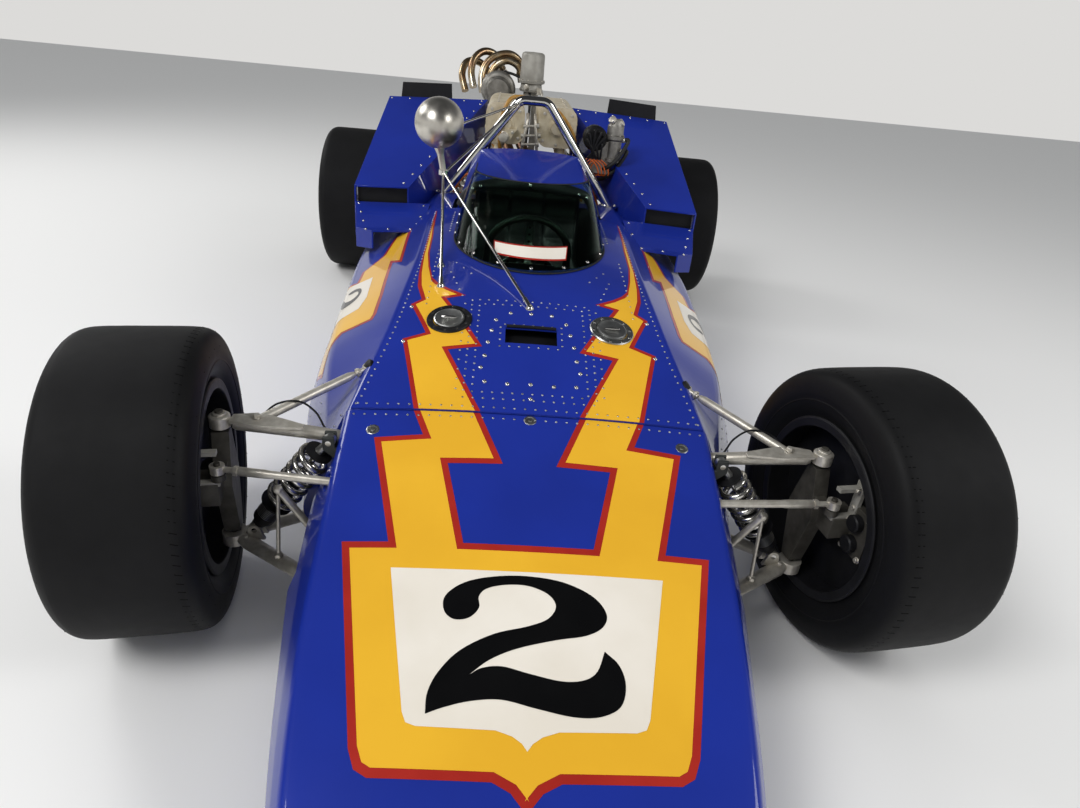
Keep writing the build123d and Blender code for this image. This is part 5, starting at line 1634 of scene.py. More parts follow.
@dataclass
class Cockpit:
    """Driver's place: pleated seat, dash with plain gauges, steering wheel and lip pad."""

    wheel_at: tuple[float, float, float] = (0, aft(965), 0.560)
    wheel_radius: float = 0.140
    tilt: float = math.radians(20)
    seat_half: float = 0.193
    pleats: int = 3
    rolls: int = 14

    def seat(self) -> None:
        """Build the seat as one pleated cushion with raised sides."""
        path = rounded([(0, 780, 122), (0, 1140, 142), (0, 1340, 552), (0, 1396, 716)], [0, 90, 40, 0], 8)
        miles = [0.0]
        for a, b in zip(path, path[1:]):
            miles.append(miles[-1] + (b - a).length)
        count = 120
        face = []
        for i in range(count + 1):
            at = miles[-1] * i / count
            k = min(len(path) - 2, sum(m <= at for m in miles) - 1)
            face.append(path[k].lerp(path[k + 1], (at - miles[k]) / (miles[k + 1] - miles[k])))
        back = [(0, 1428, 716), (0, 1428, 560), (0, 1196, 86), (0, 784, 86)]
        rings = []
        for k in range(61):
            x = self.seat_half * (k / 30 - 1)
            edge = abs(x) / self.seat_half
            pleat = abs(math.sin(math.pi * self.pleats * k / 60))
            ring = []
            for i, p in enumerate(face):
                ahead = face[min(i + 1, len(face) - 1)] - face[max(i - 1, 0)]
                normal = Vector((0, -ahead.z, ahead.y)).normalized()
                roll = abs(math.sin(math.pi * self.rolls * i / count))
                lift = 12 * (pleat * roll) ** 0.4 - 8 + 16 * edge**6 - 20 * max(0.0, edge - 0.94) / 0.06
                q = Vector((0, p.y, p.z)) + normal * lift
                ring.append((x, aft(q.y), q.z * MM))
            ring += [(x, aft(p[1]), p[2] * MM) for p in back]
            rings.append(ring)
        seat = Form().rings(rings).piece("seat_cushion", [VINYL], ["seat"], crease=60)

    def steering_wheel(self) -> None:
        """Build the leather rim, the spokes with black discs that are painted shade for their drilled holes, and
        the column.
        """
        axis = Vector((0, -math.cos(self.tilt), -math.sin(self.tilt)))
        up = Vector((0, -math.sin(self.tilt), math.cos(self.tilt)))
        centre = Vector(self.wheel_at)
        middle, grip = self.wheel_radius - 0.0115, 0.0112
        rings = []
        for t in turns(72):
            out = LEFT * math.cos(t) + up * math.sin(t)
            rings.append(circle(centre + out * middle, out * grip, axis * grip * 0.86, 16))
        form = Form().rings(rings, 0, looped=True)
        for turn in (90, 210, 330):
            t = math.radians(turn)
            out, side = LEFT * math.cos(t) + up * math.sin(t), up * math.cos(t) - LEFT * math.sin(t)
            outline = [centre + out * a + side * b - axis * 0.0015 for a, b in
                       ((0.02, -0.013), (middle - 0.004, -0.009), (middle - 0.004, 0.009), (0.02, 0.013))]
            form.slab(outline, axis * 0.003, 1)
            # Painted shade: each drilled hole is a black disc through the spoke, not an opening.
            for share in (0.35, 0.55, 0.75):
                form.stub(-0.0022, 0.0022, 0.0045, centre + out * middle * share, axis, 14, 2)
        form.lathe([(-0.006, 0.0), (-0.006, 0.026), (-0.002, 0.033), (0.010, 0.034), (0.016, 0.02)], centre, axis,
                   32, 1)
        form.lathe([(0.010, 0.0125), (0.200, 0.0115)], centre, axis, 20, 1)
        form.bolts(circle(centre - axis * 0.004, LEFT, up, 6, 0.024), -axis, 0.003, 1)
        form.piece("steering_wheel_rim", [LEATHER, ALLOY, SATIN], ["steering_wheel"], crease=50,
                   body="steering_wheel_body")

    def dash(self) -> None:
        """Build the dash with three plain gauges and a row of switches."""
        face, gauge_z = aft(800) + 0.0058, 0.532
        half, top, low = 0.2447, 0.555, 0.485
        outline = [p for x, z, a in ((half, top, 0), (-half, top, 90), (-half, low, 180), (half, low, 270))
                   for p in arc((x, z), 0.02, a, a + 90, 6)]
        form = Form().slab([(x, face, z) for x, z in outline], BACK * -0.0056, 0)
        for x, r in ((-0.105, 0.036), (0.0, 0.044), (0.105, 0.036)):
            at = (x, face, gauge_z)
            form.lathe([(0, r), (0.006, r), (0.0072, r - 0.003), (0.004, r - 0.005), (0.003, 0.0)], at, BACK,
                       36, 1)
            form.lathe([(0.003, r - 0.005), (0.0036, r - 0.006), (0.0036, 0.0)], at, BACK, 36, 2)
            for k in range(11):
                t = math.radians(225 - 27 * k)
                form.tube([(x + reach * math.cos(t), face + 0.0038, gauge_z + reach * math.sin(t))
                           for reach in (r - 0.014, r - 0.008)], 0.0008, 5, 3)
            form.tube([(x, face + 0.004, gauge_z), (x - 0.6 * r, face + 0.004, gauge_z + 0.3 * r)],
                      [0.0014, 0.0005], 6, 3)
        for x in (-0.19, -0.165, 0.165, 0.19):
            form.lathe([(0, 0.006), (0.003, 0.006), (0.004, 0.003), (0.016, 0.0022), (0.018, 0.0)],
                       (x, face, 0.53), (0, 1, -0.3), 14, 1)
        form.piece("dash_gauges", [SATIN, CHROME, BLACK, WHITE], ["dash_panel"], crease=40)

    def lip_pad(self) -> None:
        """Build the stitched pad along the fairing's front edge."""
        line = section(Bodywork().arch(1215, 13, 636), 1214)
        pad = Form().tube(line, 0.0150, 20)
        for share in (0.2, 0.35, 0.5, 0.65, 0.8):
            at = line[round(share * (len(line) - 1))]
            pad.lathe([(0.010, 0.0062), (0.0165, 0.0058), (0.0185, 0.0035), (0.019, 0.0)], at, AHEAD, 16, 1)
        made = pad.piece("fairing_lip_pad", [VINYL, CHROME], crease=60)

    def build(self) -> None:
        """Build everything around the driver."""
        self.seat()
        self.steering_wheel()
        self.dash()
        self.lip_pad()


# Running gear


@dataclass
class SpringUnits:
    """Coil springs over dampers, wound by a geometry node tree."""

    coil_radius: float = 0.0304
    wire: float = 0.0064
    # Columns: foot, head, start of the spring above the foot, its length, damper's length, windings
    units: tuple = (
        ((0.580, aft(0), 0.180), (0.408, aft(-12), 0.420), 0.092, 0.160, 0.150, 6.0),
        ((0.470, aft(2585), 0.222), (0.250, aft(2549), 0.540), 0.110, 0.240, 0.190, 8.5),
    )

    def coil_tree(self) -> bpy.types.NodeTree:
        """Build the tree that winds one spring of a given size.

        Returns:
            The tree.
        """
        tree, given = new_tree("coil spring", {
            "Geometry": "Geometry", "Turns": "Float", "Coil radius": "Float", "Length": "Float",
            "Wire radius": "Float", "Finish": "Material"})
        helix = add_node(tree, "GeometryNodeCurveSpiral",
                         {"Rotations": given["Turns"], "Start Radius": given["Coil radius"],
                          "End Radius": given["Coil radius"], "Height": given["Length"]}, {"Resolution": 32})
        wire = add_node(tree, "GeometryNodeCurvePrimitiveCircle", {"Radius": given["Wire radius"]},
                        {"Resolution": 12})
        coil = add_node(tree, "GeometryNodeCurveToMesh", {"Curve": helix.outputs[0],
                                                          "Profile Curve": wire.outputs[0]}, {"Fill Caps": True})
        end_tree(tree, coil.outputs[0], given["Finish"])
        return tree

    def wind(self, tree: bpy.types.NodeTree, windings: float, length: float) -> bpy.types.Mesh:
        """Wind one spring along +Z from the origin.

        Args:
            tree: The tree that winds it.
            windings: Its number of turns.
            length: Its length.

        Returns:
            The mesh of the spring.
        """
        return grown(tree, bpy.data.meshes.new("winding"), {
            "Turns": windings, "Coil radius": self.coil_radius, "Length": length - 2 * self.wire,
            "Wire radius": self.wire, "Finish": SPRING.material()})

    def build(self) -> None:
        """Build all four units."""
        tree = self.coil_tree()
        springs, bodies = Form(), Form()
        for foot, head, start, length, body, windings in self.units:
            coil = self.wind(tree, windings, length)
            for side in (1, -1):
                low, high = sided(foot, side), sided(head, side)
                axis = (high - low).normalized()
                place = (Matrix.Translation(low + axis * (start + self.wire))
                         @ axis.to_track_quat("Z", "Y").to_matrix().to_4x4())
                first = len(springs.verts)
                springs.verts.extend(place @ v.co for v in coil.vertices)
                for face in coil.polygons:
                    springs.add_face(tuple(first + i for i in face.vertices), 0)
                self.damper(bodies, low, high, start, length, body)
        springs.piece("coil_springs", [SPRING], ["springs"], crease=60)
        bodies.piece("damper_bodies", [SATIN, CHROME, ALLOY], ["dampers"], crease=40)

    def damper(self, form: Form, low: Vector, high: Vector, start: float, length: float, body: float) -> None:
        """Add one damper: eyes, body with its adjuster, shaft, and the spring's two perches.

        Args:
            form: The form that gets it.
            low: The middle of its foot.
            high: The middle of its head.
            start: Where the spring starts above the foot.
            length: The spring's length.
            body: The body's length.
        """
        axis, reach = (high - low).normalized(), (high - low).length
        end = start + length
        form.lathe([(0.012, 0.0), (0.014, 0.014), (0.024, 0.018), (0.030, 0.0225), (0.034, 0.0238),
                    (start - 0.012, 0.0238), (start - 0.006, 0.0232), (start + 0.004, 0.0175), (body, 0.0170),
                    (body + 0.003, 0.009)], low, axis, 32, 0)
        form.lathe([(body, 0.0065), (reach - 0.012, 0.0065)], low, axis, 20, 1)
        for at, rim in ((start - 0.0065, 0.0345), (end + 0.0005, 0.0285)):
            perch = [(at, 0.0115), (at, rim), (at + 0.0045, rim + 0.0006), (at + 0.006, 0.0115)]
            form.lathe(perch, low, axis, 36, 0)
        form.lathe([(end + 0.007, 0.011), (end + 0.014, 0.010), (reach - 0.014, 0.0085)], low, axis, 24, 2)
        for k in range(9):
            at = start - 0.012 - 0.004 * k
            if at > 0.04:
                form.lathe([(at, 0.0232), (at + 0.0014, 0.0243), (at + 0.0028, 0.0232)], low, axis, 30, 2)
        for eye in (low, high):
            form.sleeve(-0.0068, 0.0068, 0.0062, 0.0128, eye, BACK, 24, 2, looped=True)
            form.sleeve(-0.0155, 0.0155, 0.0, 0.006, eye, BACK, 16, 1)


def rod_end(form: Form, ball: Vector, towards: Vector, size: float, finish: int = 0) -> None:
    """Add a spherical rod end with its lock nut.

    Args:
        form: The form that gets it.
        ball: The middle of its ball.
        towards: A point on the rod that it is screwed in.
        size: The radius of its eye.
        finish: Which of the piece's finishes it gets.
    """
    axis = (towards - ball).normalized()
    pin = axis.orthogonal() if abs(axis.z) > 0.9 else axis.cross(UP).cross(axis)
    eye = ((-0.45, 0.55), (-0.45, 0.9), (0, 1), (0.45, 0.9), (0.45, 0.55))
    inner = ((-0.7, 0.3), (-0.45, 0.52), (0, 0.62), (0.45, 0.52), (0.7, 0.3))
    form.lathe([(u * size, r * size) for u, r in eye], ball, pin, 24, finish, looped=True)
    form.lathe([(u * size, r * size) for u, r in inner], ball, pin, 20, finish)
    form.tube([ball + axis * size * 0.8, ball + axis * size * 2.6], size * 0.42, 14, finish)
    form.stub(size * 1.8, size * 2.3, size * 0.75, ball, axis, 6, finish)


@dataclass
class FrontSuspension:
    """Tubular arms, cast uprights with calipers, rack and track rods."""

    upper_ball_z: float = 0.445
    lower_ball_z: float = 0.155
    upper_pivot: tuple[float, float, float] = (0.332, aft(54), 0.384)
    rear_pivot: tuple[float, float, float] = (0.369, aft(215), 0.480)
    lower_pivots: tuple = ((0.334, aft(190), 0.150), (0.334, aft(-190), 0.150))
    rod_z: float = 0.372
    rod_reach: float = 0.075

    def upper_arms(self) -> None:
        """Build the upper arms: a stout tube with a gusset, and a long leg behind."""
        form = Form()
        ball = Vector((KINGPIN_X, FRONT_AXLE.y, self.upper_ball_z))
        pivot, rear = Vector(self.upper_pivot), Vector(self.rear_pivot)
        outer = ball + (pivot - ball).normalized() * 0.026
        inner = pivot + (ball - pivot).normalized() * 0.045
        form.tube([outer, outer.lerp(inner, 0.04), outer.lerp(inner, 0.96), inner], [0.013, 0.0165, 0.0130, 0.009],
                  24)
        form.tube([inner, pivot], 0.007, 14)
        form.stub(0.0, 0.010, 0.0115, inner, pivot - ball)
        joint = ball + Vector((-0.070, 0.012, -0.004))
        leg_end = rear + (joint - rear).normalized() * 0.040
        form.tube([joint, joint.lerp(leg_end, 0.06), joint.lerp(leg_end, 0.94), leg_end],
                  [0.0065, 0.0098, 0.0098, 0.0065], 20)
        rod_end(form, rear, joint, 0.014)
        rod_end(form, joint, rear, 0.013)
        gusset = ((-0.022, -0.014, 0.0), (-0.022, 0.016, 0.0), (-0.060, 0.026, 0.0), (-0.095, 0.022, 0.0),
                  (-0.165, 0.012, -0.012), (-0.165, -0.002, -0.012), (-0.090, -0.016, -0.006))
        form.slab([ball + Vector(p) for p in gusset], UP * 0.006)
        form.bolts([joint + UP * 0.008], UP, 0.0075)
        form.lathe([(-0.014, 0.010), (-0.014, 0.021), (0.010, 0.021), (0.013, 0.017), (0.013, 0.010)], ball,
                   UP, 28)
        form.lathe([(0.013, 0.014), (0.017, 0.013), (0.019, 0.0)], ball, UP, 24)
        form.mirrored().piece("upper_wishbones", [NICKEL], ["front_upper_arms"], crease=40,
                              bevel=0.0008)

    def lower_arms(self) -> None:
        """Build the lower wishbones from flattened tube, with the dampers' ears."""
        form = Form()
        ball = Vector((KINGPIN_X, FRONT_AXLE.y, self.lower_ball_z))
        for pivot in self.lower_pivots:
            inner = Vector(pivot)
            axis = (inner - ball).normalized()
            across = axis.cross(UP).normalized()
            outer = ball + axis * 0.022
            rings = []
            for share, wide, tall in ((0, 0.012, 0.012), (0.08, 0.019, 0.0105), (0.86, 0.017, 0.0105),
                                      (0.93, 0.010, 0.010), (1.0, 0.008, 0.008)):
                rings.append(circle(outer.lerp(inner, share), across * wide, UP * tall, 24))
            form.rings(rings)
            form.bolts([outer.lerp(inner, 0.05) + UP * 0.011], UP, 0.006)
        form.lathe([(-0.014, 0.011), (-0.016, 0.026), (0.012, 0.026), (0.012, 0.011)], ball, UP, 28)
        form.lathe([(-0.020, 0.0), (-0.018, 0.015), (-0.014, 0.018)], ball, UP, 24)
        x, y, z = SpringUnits.units[0][0]
        ear = [*arc((x, z), 0.013, 0, 180, 12), (x - 0.022, z - 0.024), (x + 0.020, z - 0.026)]
        for near in (-0.0153, 0.0073):
            form.slab([(a, y + near, b) for a, b in ear], BACK * 0.008)
        form.mirrored().piece("lower_wishbones", [NICKEL], ["front_lower_arms"], crease=40,
                              bevel=0.0008)

    def uprights(self) -> None:
        """Dress the cast uprights, and add calipers and hub carriers."""
        for name, side in SIDES:
            node_copy(f"front_upright_{name}", f"cast_upright_{name}", MAGNESIUM, 0.0025,
                      body=f"steered_upright_{name}")
            form = Form()
            disc = side * (FRONT_AXLE.x - 0.056)
            caliper = Vector((disc, FRONT_AXLE.y - 0.108, 0.3215))
            for reach, way in ((-0.031, -1), (0.014, 1)):
                for dz in (-0.026, 0.026):
                    form.lathe([(0, 0.019), (0.014, 0.019), (0.017, 0.016), (0.017, 0.0)],
                               caliper + Vector((reach, 0, dz)), LEFT * way, 24)
            corners = [caliper + Vector((-side * 0.030, dy, dz))
                       for dy in (-0.030, 0.026) for dz in (0.048, -0.048)]
            form.bolts(corners, LEFT * -side, 0.006, 1)
            form.hose([(disc - 0.03, FRONT_AXLE.y - 0.13, 0.372), (disc, FRONT_AXLE.y - 0.15, 0.384),
                       (disc + 0.03, FRONT_AXLE.y - 0.13, 0.372)], 0.0028, 10, 1)
            form.lathe([(0.0, 0.038), (0.022, 0.036), (0.030, 0.030)], (side * 0.645, FRONT_AXLE.y, FRONT_AXLE.z),
                       LEFT * side, 32, 0)
            near, far = sorted((side * (KINGPIN_X - 0.004), side * (KINGPIN_X + 0.050)))
            wall = sorted((side * (KINGPIN_X + 0.045), side * (KINGPIN_X + 0.054)))
            y = FRONT_AXLE.y - 0.082
            for z in (0.342, 0.412):
                form.block((near, y - 0.006, z), (far, y + 0.009, z + 0.009), 2)
                form.bolts([(side * (KINGPIN_X + 0.036), y - 0.006, z + 0.0045)], AHEAD, 0.0045, 1)
            form.block((wall[0], y - 0.010, 0.330), (wall[1], y + 0.012, 0.432), 2)
            form.moved(steered(side)).piece(f"caliper_{name}", [SATIN, NICKEL, GREY_CAST], crease=40, bevel=0.001,
                                            body=f"steered_upright_{name}")

    def track_rods(self) -> None:
        """Build the track rods with their rod ends."""
        for name, side in SIDES:
            ball = Vector((side * KINGPIN_X + math.sin(STEER_REST) * self.rod_reach,
                           FRONT_AXLE.y - math.cos(STEER_REST) * self.rod_reach, self.rod_z + 0.004))
            rack = Vector((side * 0.300, aft(-99), self.rod_z))
            form = Form()
            a, b = ball.lerp(rack, 0.12), ball.lerp(rack, 0.93)
            form.tube([a, a.lerp(b, 0.03), a.lerp(b, 0.22), a.lerp(b, 0.26), a.lerp(b, 0.97), b],
                      [0.0065, 0.0092, 0.0092, 0.0082, 0.0082, 0.0065], 20)
            form.sleeve(-0.0085, 0.0085, 0.0068, 0.0145, ball, UP, 28, looped=True)
            form.tube([ball.lerp(rack, 0.04), a], 0.0062, 14)
            form.stub(0.0, 0.008, 0.0105, ball.lerp(rack, 0.105), rack - ball)
            form.lathe([(-0.004, 0.0), (-0.002, 0.010), (0.006, 0.013), (0.012, 0.009)], rack, ball - rack, 20)
            form.piece(f"track_rod_tube_{name}", [NICKEL], [f"tie_rod_{name}"], crease=40,
                       body=f"track_rod_{name}")

    def rack(self) -> None:
        """Build the rack housing with its boots and clamps."""
        y, z = aft(-99), self.rod_z
        form = Form()
        form.lathe([(-0.185, 0.019), (-0.180, 0.0198), (0.180, 0.0198), (0.185, 0.019)], (0, y, z), LEFT, 28)
        for side in (1, -1):
            boot = [(0.185, 0.0185)]
            for k in range(6):
                boot += [(0.191 + 0.010 * k, 0.0195), (0.196 + 0.010 * k, 0.0155)]
            boot += [(0.249, 0.012), (0.2495, 0.0)]
            form.lathe(boot, (0, y, z), LEFT * side, 24, 1)
            form.block((side * 0.18 - 0.014, y - 0.0145, z - 0.059), (side * 0.18 + 0.014, y + 0.0145, z - 0.004))
            form.stub(-0.013, 0.013, 0.0225, (side * 0.18, y, z), LEFT, 24)
        form.piece("rack_housing", [CAST, HOSE], ["steering_rack"], crease=40, bevel=0.0008)

    def brackets(self) -> None:
        """Build the bar's levers, the drop links and the legs' feet on the body."""
        form = Form()
        lever = ((0.512, -75, 0.166), (0.503, -66, 0.329), (0.446, -60, 0.234), (0.338, -60, 0.234))
        brake_line = ((0.556, 34, 0.440), (0.530, 62, 0.456), (0.486, 66, 0.462), (0.452, 62, 0.440),
                      (0.430, 50, 0.408), (0.400, 40, 0.392))
        for side in (1, -1):
            low, top, elbow, root = (Vector((side * x, aft(d), z)) for x, d, z in lever)
            form.tube(rounded([top, elbow, root], [0, 0.02, 0], 8), 0.0078, 18)
            form.lathe([(0, 0.014), (0.006, 0.014), (0.010, 0.010)], root, elbow - root, 24)
            form.tube([top, low], 0.0042, 12)
            for end in (top, low):
                form.lathe([(-0.009, 0.0), (-0.008, 0.006), (0, 0.0105), (0.008, 0.006), (0.009, 0.0)], end,
                           BACK, 18)
            form.lathe([(-0.012, 0.019), (0.004, 0.019), (0.008, 0.012), (0.012, 0.0)],
                       sided(self.rear_pivot, side), (side * 0.8, -0.3, 0.4), 24, 1)
            form.tube(bend([(side * x, aft(d), z) for x, d, z in brake_line], 10), 0.0024, 8, 1)
        form.piece("roll_bar_levers", [NICKEL, SATIN], crease=40, bevel=0.0008)

    def build(self) -> None:
        """Build the whole front end."""
        self.upper_arms()
        self.lower_arms()
        self.uprights()
        self.track_rods()
        self.rack()
        self.brackets()


# Wheels


@dataclass(frozen=True)
class WheelSize:
    """Sizes of one wheel and its tyre, in metres."""

    axle: tuple[float, float, float]
    radius: float
    tyre_half: float
    rim_half: float
    web: float
    disc: float


@dataclass
class Wheels:
    """Slick tyres on black cast wheels, with nuts, valves and discs."""

    front: WheelSize = WheelSize(tuple(FRONT_AXLE), 0.3115, 0.1315, 0.122, 0.066, -0.064)
    rear: WheelSize = WheelSize(tuple(REAR_AXLE), 0.3375, 0.201, 0.181, 0.110, -0.084)
    bead: float = 0.1908
    steps: int = 112

    def tyre_line(self, size: WheelSize) -> list[tuple[float, float]]:
        """Give the closed section of a tyre, from the outboard bead round to the inner side.

        Args:
            size: The wheel's sizes.

        Returns:
            The points, as distance along the axle and radius.
        """
        half, top, seat = size.tyre_half, size.radius, size.rim_half - 0.0085
        wall = top - self.bead
        shoulder = [(half - back, self.bead + share * wall) for back, share in (
            (0.006, 0.30), (0.0006, 0.5), (0.0002, 0.60), (0.0045, 0.79), (0.0125, 0.905), (0.027, 0.972))]
        outer = [(seat, self.bead), (seat + 0.001, self.bead + 0.016), *shoulder, (half - 0.050, top - 0.0008),
                 (half * 0.3, top)]
        walk = [(p.x, p.y) for p in bend([(*p, 0) for p in outer], 4)]
        walk = [(min(u, half), min(r, top)) for u, r in walk]
        ribs = []
        for u, r in walk:
            ribs.append((u, r))
            if abs(r - (self.bead + 0.42 * wall)) < 0.004:
                ribs += [(u + 0.0001, r + 0.001), (min(half, u + 0.0016), r + 0.002), (u + 0.0006, r + 0.0032)]
        inner = [(half * 0.3, top - 0.012), (half - 0.050, top - 0.013), (half - 0.022, self.bead + 0.75 * wall),
                 (half - 0.013, self.bead + 0.5 * wall), (seat - 0.010, self.bead + 0.006),
                 (seat - 0.010, self.bead)]
        inner = [(u, min(r, top - 0.0115)) for u, r in inner]
        loop = ribs + [(-u, r) for u, r in reversed(ribs)]
        return loop + [(-u, r) for u, r in reversed(inner)] + inner

    def tyre(self, name: str, body: str, node: str, size: WheelSize, side: int, place: Matrix) -> None:
        """Build one tyre with its mould ribs and vent spews.

        Args:
            name: The new piece's name.
            body: The body that it moves with.
            node: The node that it stands for.
            size: The wheel's sizes.
            side: 1 on the car's left and -1 on its right.
            place: How the wheel is turned about its king pin.
        """
        axle, out = sided(size.axle, side), LEFT * side
        tread = size.radius - 0.004
        form = Form().lathe(self.tyre_line(size), axle, out, self.steps, 0, looped=True)
        for face, corners in enumerate(form.faces):
            middle = sum((form.verts[i] for i in corners), Vector()) / len(corners)
            reach = math.hypot(middle.y - axle.y, middle.z - axle.z)
            form.finishes[face] = int(reach > tread)
        made = form.moved(place).piece(name, [RUBBER, WORN_RUBBER], [node], crease=60, body=body)
        rows = FastenerRows(made)

        def hoop(offset: float, reach: float, count: int) -> list[Vector]:
            """Run a closed ring round the tyre.

            Args:
                offset: How far outboard of the middle it lies.
                reach: Its radius.
                count: The number of its points.

            Returns:
                The points, with the first once more at the end.
            """
            ring = [Vector((axle.x + side * offset, axle.y + reach * math.cos(t), axle.z + reach * math.sin(t)))
                    for t in turns(count)]
            return [place @ p for p in [*ring, ring[0]]]

        wall = size.radius - self.bead
        spews = [hoop(turn * (size.tyre_half - inwards), self.bead + share * wall, 60)
                 for turn in (1, -1) for share, inwards in ((0.66, 0.001), (0.93, 0.016))]
        rows.lay(f"{name}_spews", body, spews, 0.052, 0.0011, Head.RIVET, RUBBER)
        # Each slit is a near black strip that stands just proud of the rubber; its colour is painted shade for the
        # inside of the cut.
        slits = [hoop(0.029 - size.tyre_half, size.radius - 0.003, 90)]
        rows.lay(f"{name}_slits", body, slits, 0.0205, 0.0065, Head.SLIT, SLIT_SHADE)

    def wheel(self, name: str, body: str, node: str, size: WheelSize, side: int, place: Matrix) -> None:
        """Dress one cast wheel and add its nut, studs, valve and rim beads.

        Args:
            name: The new piece's name.
            body: The body that it moves with.
            node: The node that it stands for.
            size: The wheel's sizes.
            side: 1 on the car's left and -1 on its right.
            place: How the wheel is turned about its king pin.
        """
        node_copy(node, f"{name}_casting", SATIN, 0.0022, 30, body)
        axle, out = sided(size.axle, side), LEFT * side
        face = size.web + 0.014
        form = Form()
        form.lathe([(face + 0.008, 0.030), (face + 0.010, 0.034), (face + 0.026, 0.034), (face + 0.029, 0.030),
                    (face + 0.030, 0.0)], axle, out, 6, 1)
        form.lathe([(face + 0.028, 0.018), (face + 0.040, 0.0165), (face + 0.042, 0.0)], axle, out, 28, 1)
        form.bolts(circle(axle + out * (face + 0.010), BACK, UP, 5, 0.039, math.pi / 2), out, 0.0058, 1)
        for end in (-1, 1):
            lip = end * (size.rim_half - 0.0042)
            ring = [(lip + 0.0036 * math.cos(t), 0.2016 + 0.0036 * math.sin(t)) for t in turns(10)]
            form.lathe(ring, axle, out, 96, 0, looped=True)
        for offset in (-0.55, -0.1, 0.34):
            u = offset * size.rim_half
            rib = [(u, 0.1822), (u + 0.001, 0.1804), (u + 0.005, 0.1804), (u + 0.006, 0.1822)]
            form.lathe(rib, axle, out, 96, 0)
        valve = axle + Vector((0, 0.120, 0.130)) + out * size.rim_half
        form.tube([valve - out * 0.028, valve - out * 0.004], 0.0038, 10, 2)
        form.lathe([(0, 0.0046), (0.009, 0.0046), (0.011, 0.003)], valve - out * 0.010, out, 12, 2)
        form.moved(place).piece(f"{name}_fittings", [SATIN, ALLOY, HOSE], crease=40, body=body)

    def build(self) -> None:
        """Build all four wheels."""
        for name, side in SIDES:
            turned = steered(side)
            body = f"front_wheel_assembly_{name}"
            self.tyre(f"front_slick_{name}", body, f"front_tyre_{name}", self.front, side, turned)
            self.wheel(f"front_cast_wheel_{name}", body, f"front_wheel_{name}", self.front, side, turned)
            node_copy(f"front_disc_{name}", f"front_brake_disc_{name}", DISC_IRON, 0.001, body=body)
            body, still = f"rear_wheel_assembly_{name}", Matrix.Identity(4)
            self.tyre(f"rear_slick_{name}", body, f"rear_tyre_{name}", self.rear, side, still)
            self.wheel(f"rear_cast_wheel_{name}", body, f"rear_wheel_{name}", self.rear, side, still)
            node_copy(f"half_shaft_{name}", f"drive_shaft_{name}", NICKEL, 0.002, body=body)


# Engine, turbocharger and gearbox


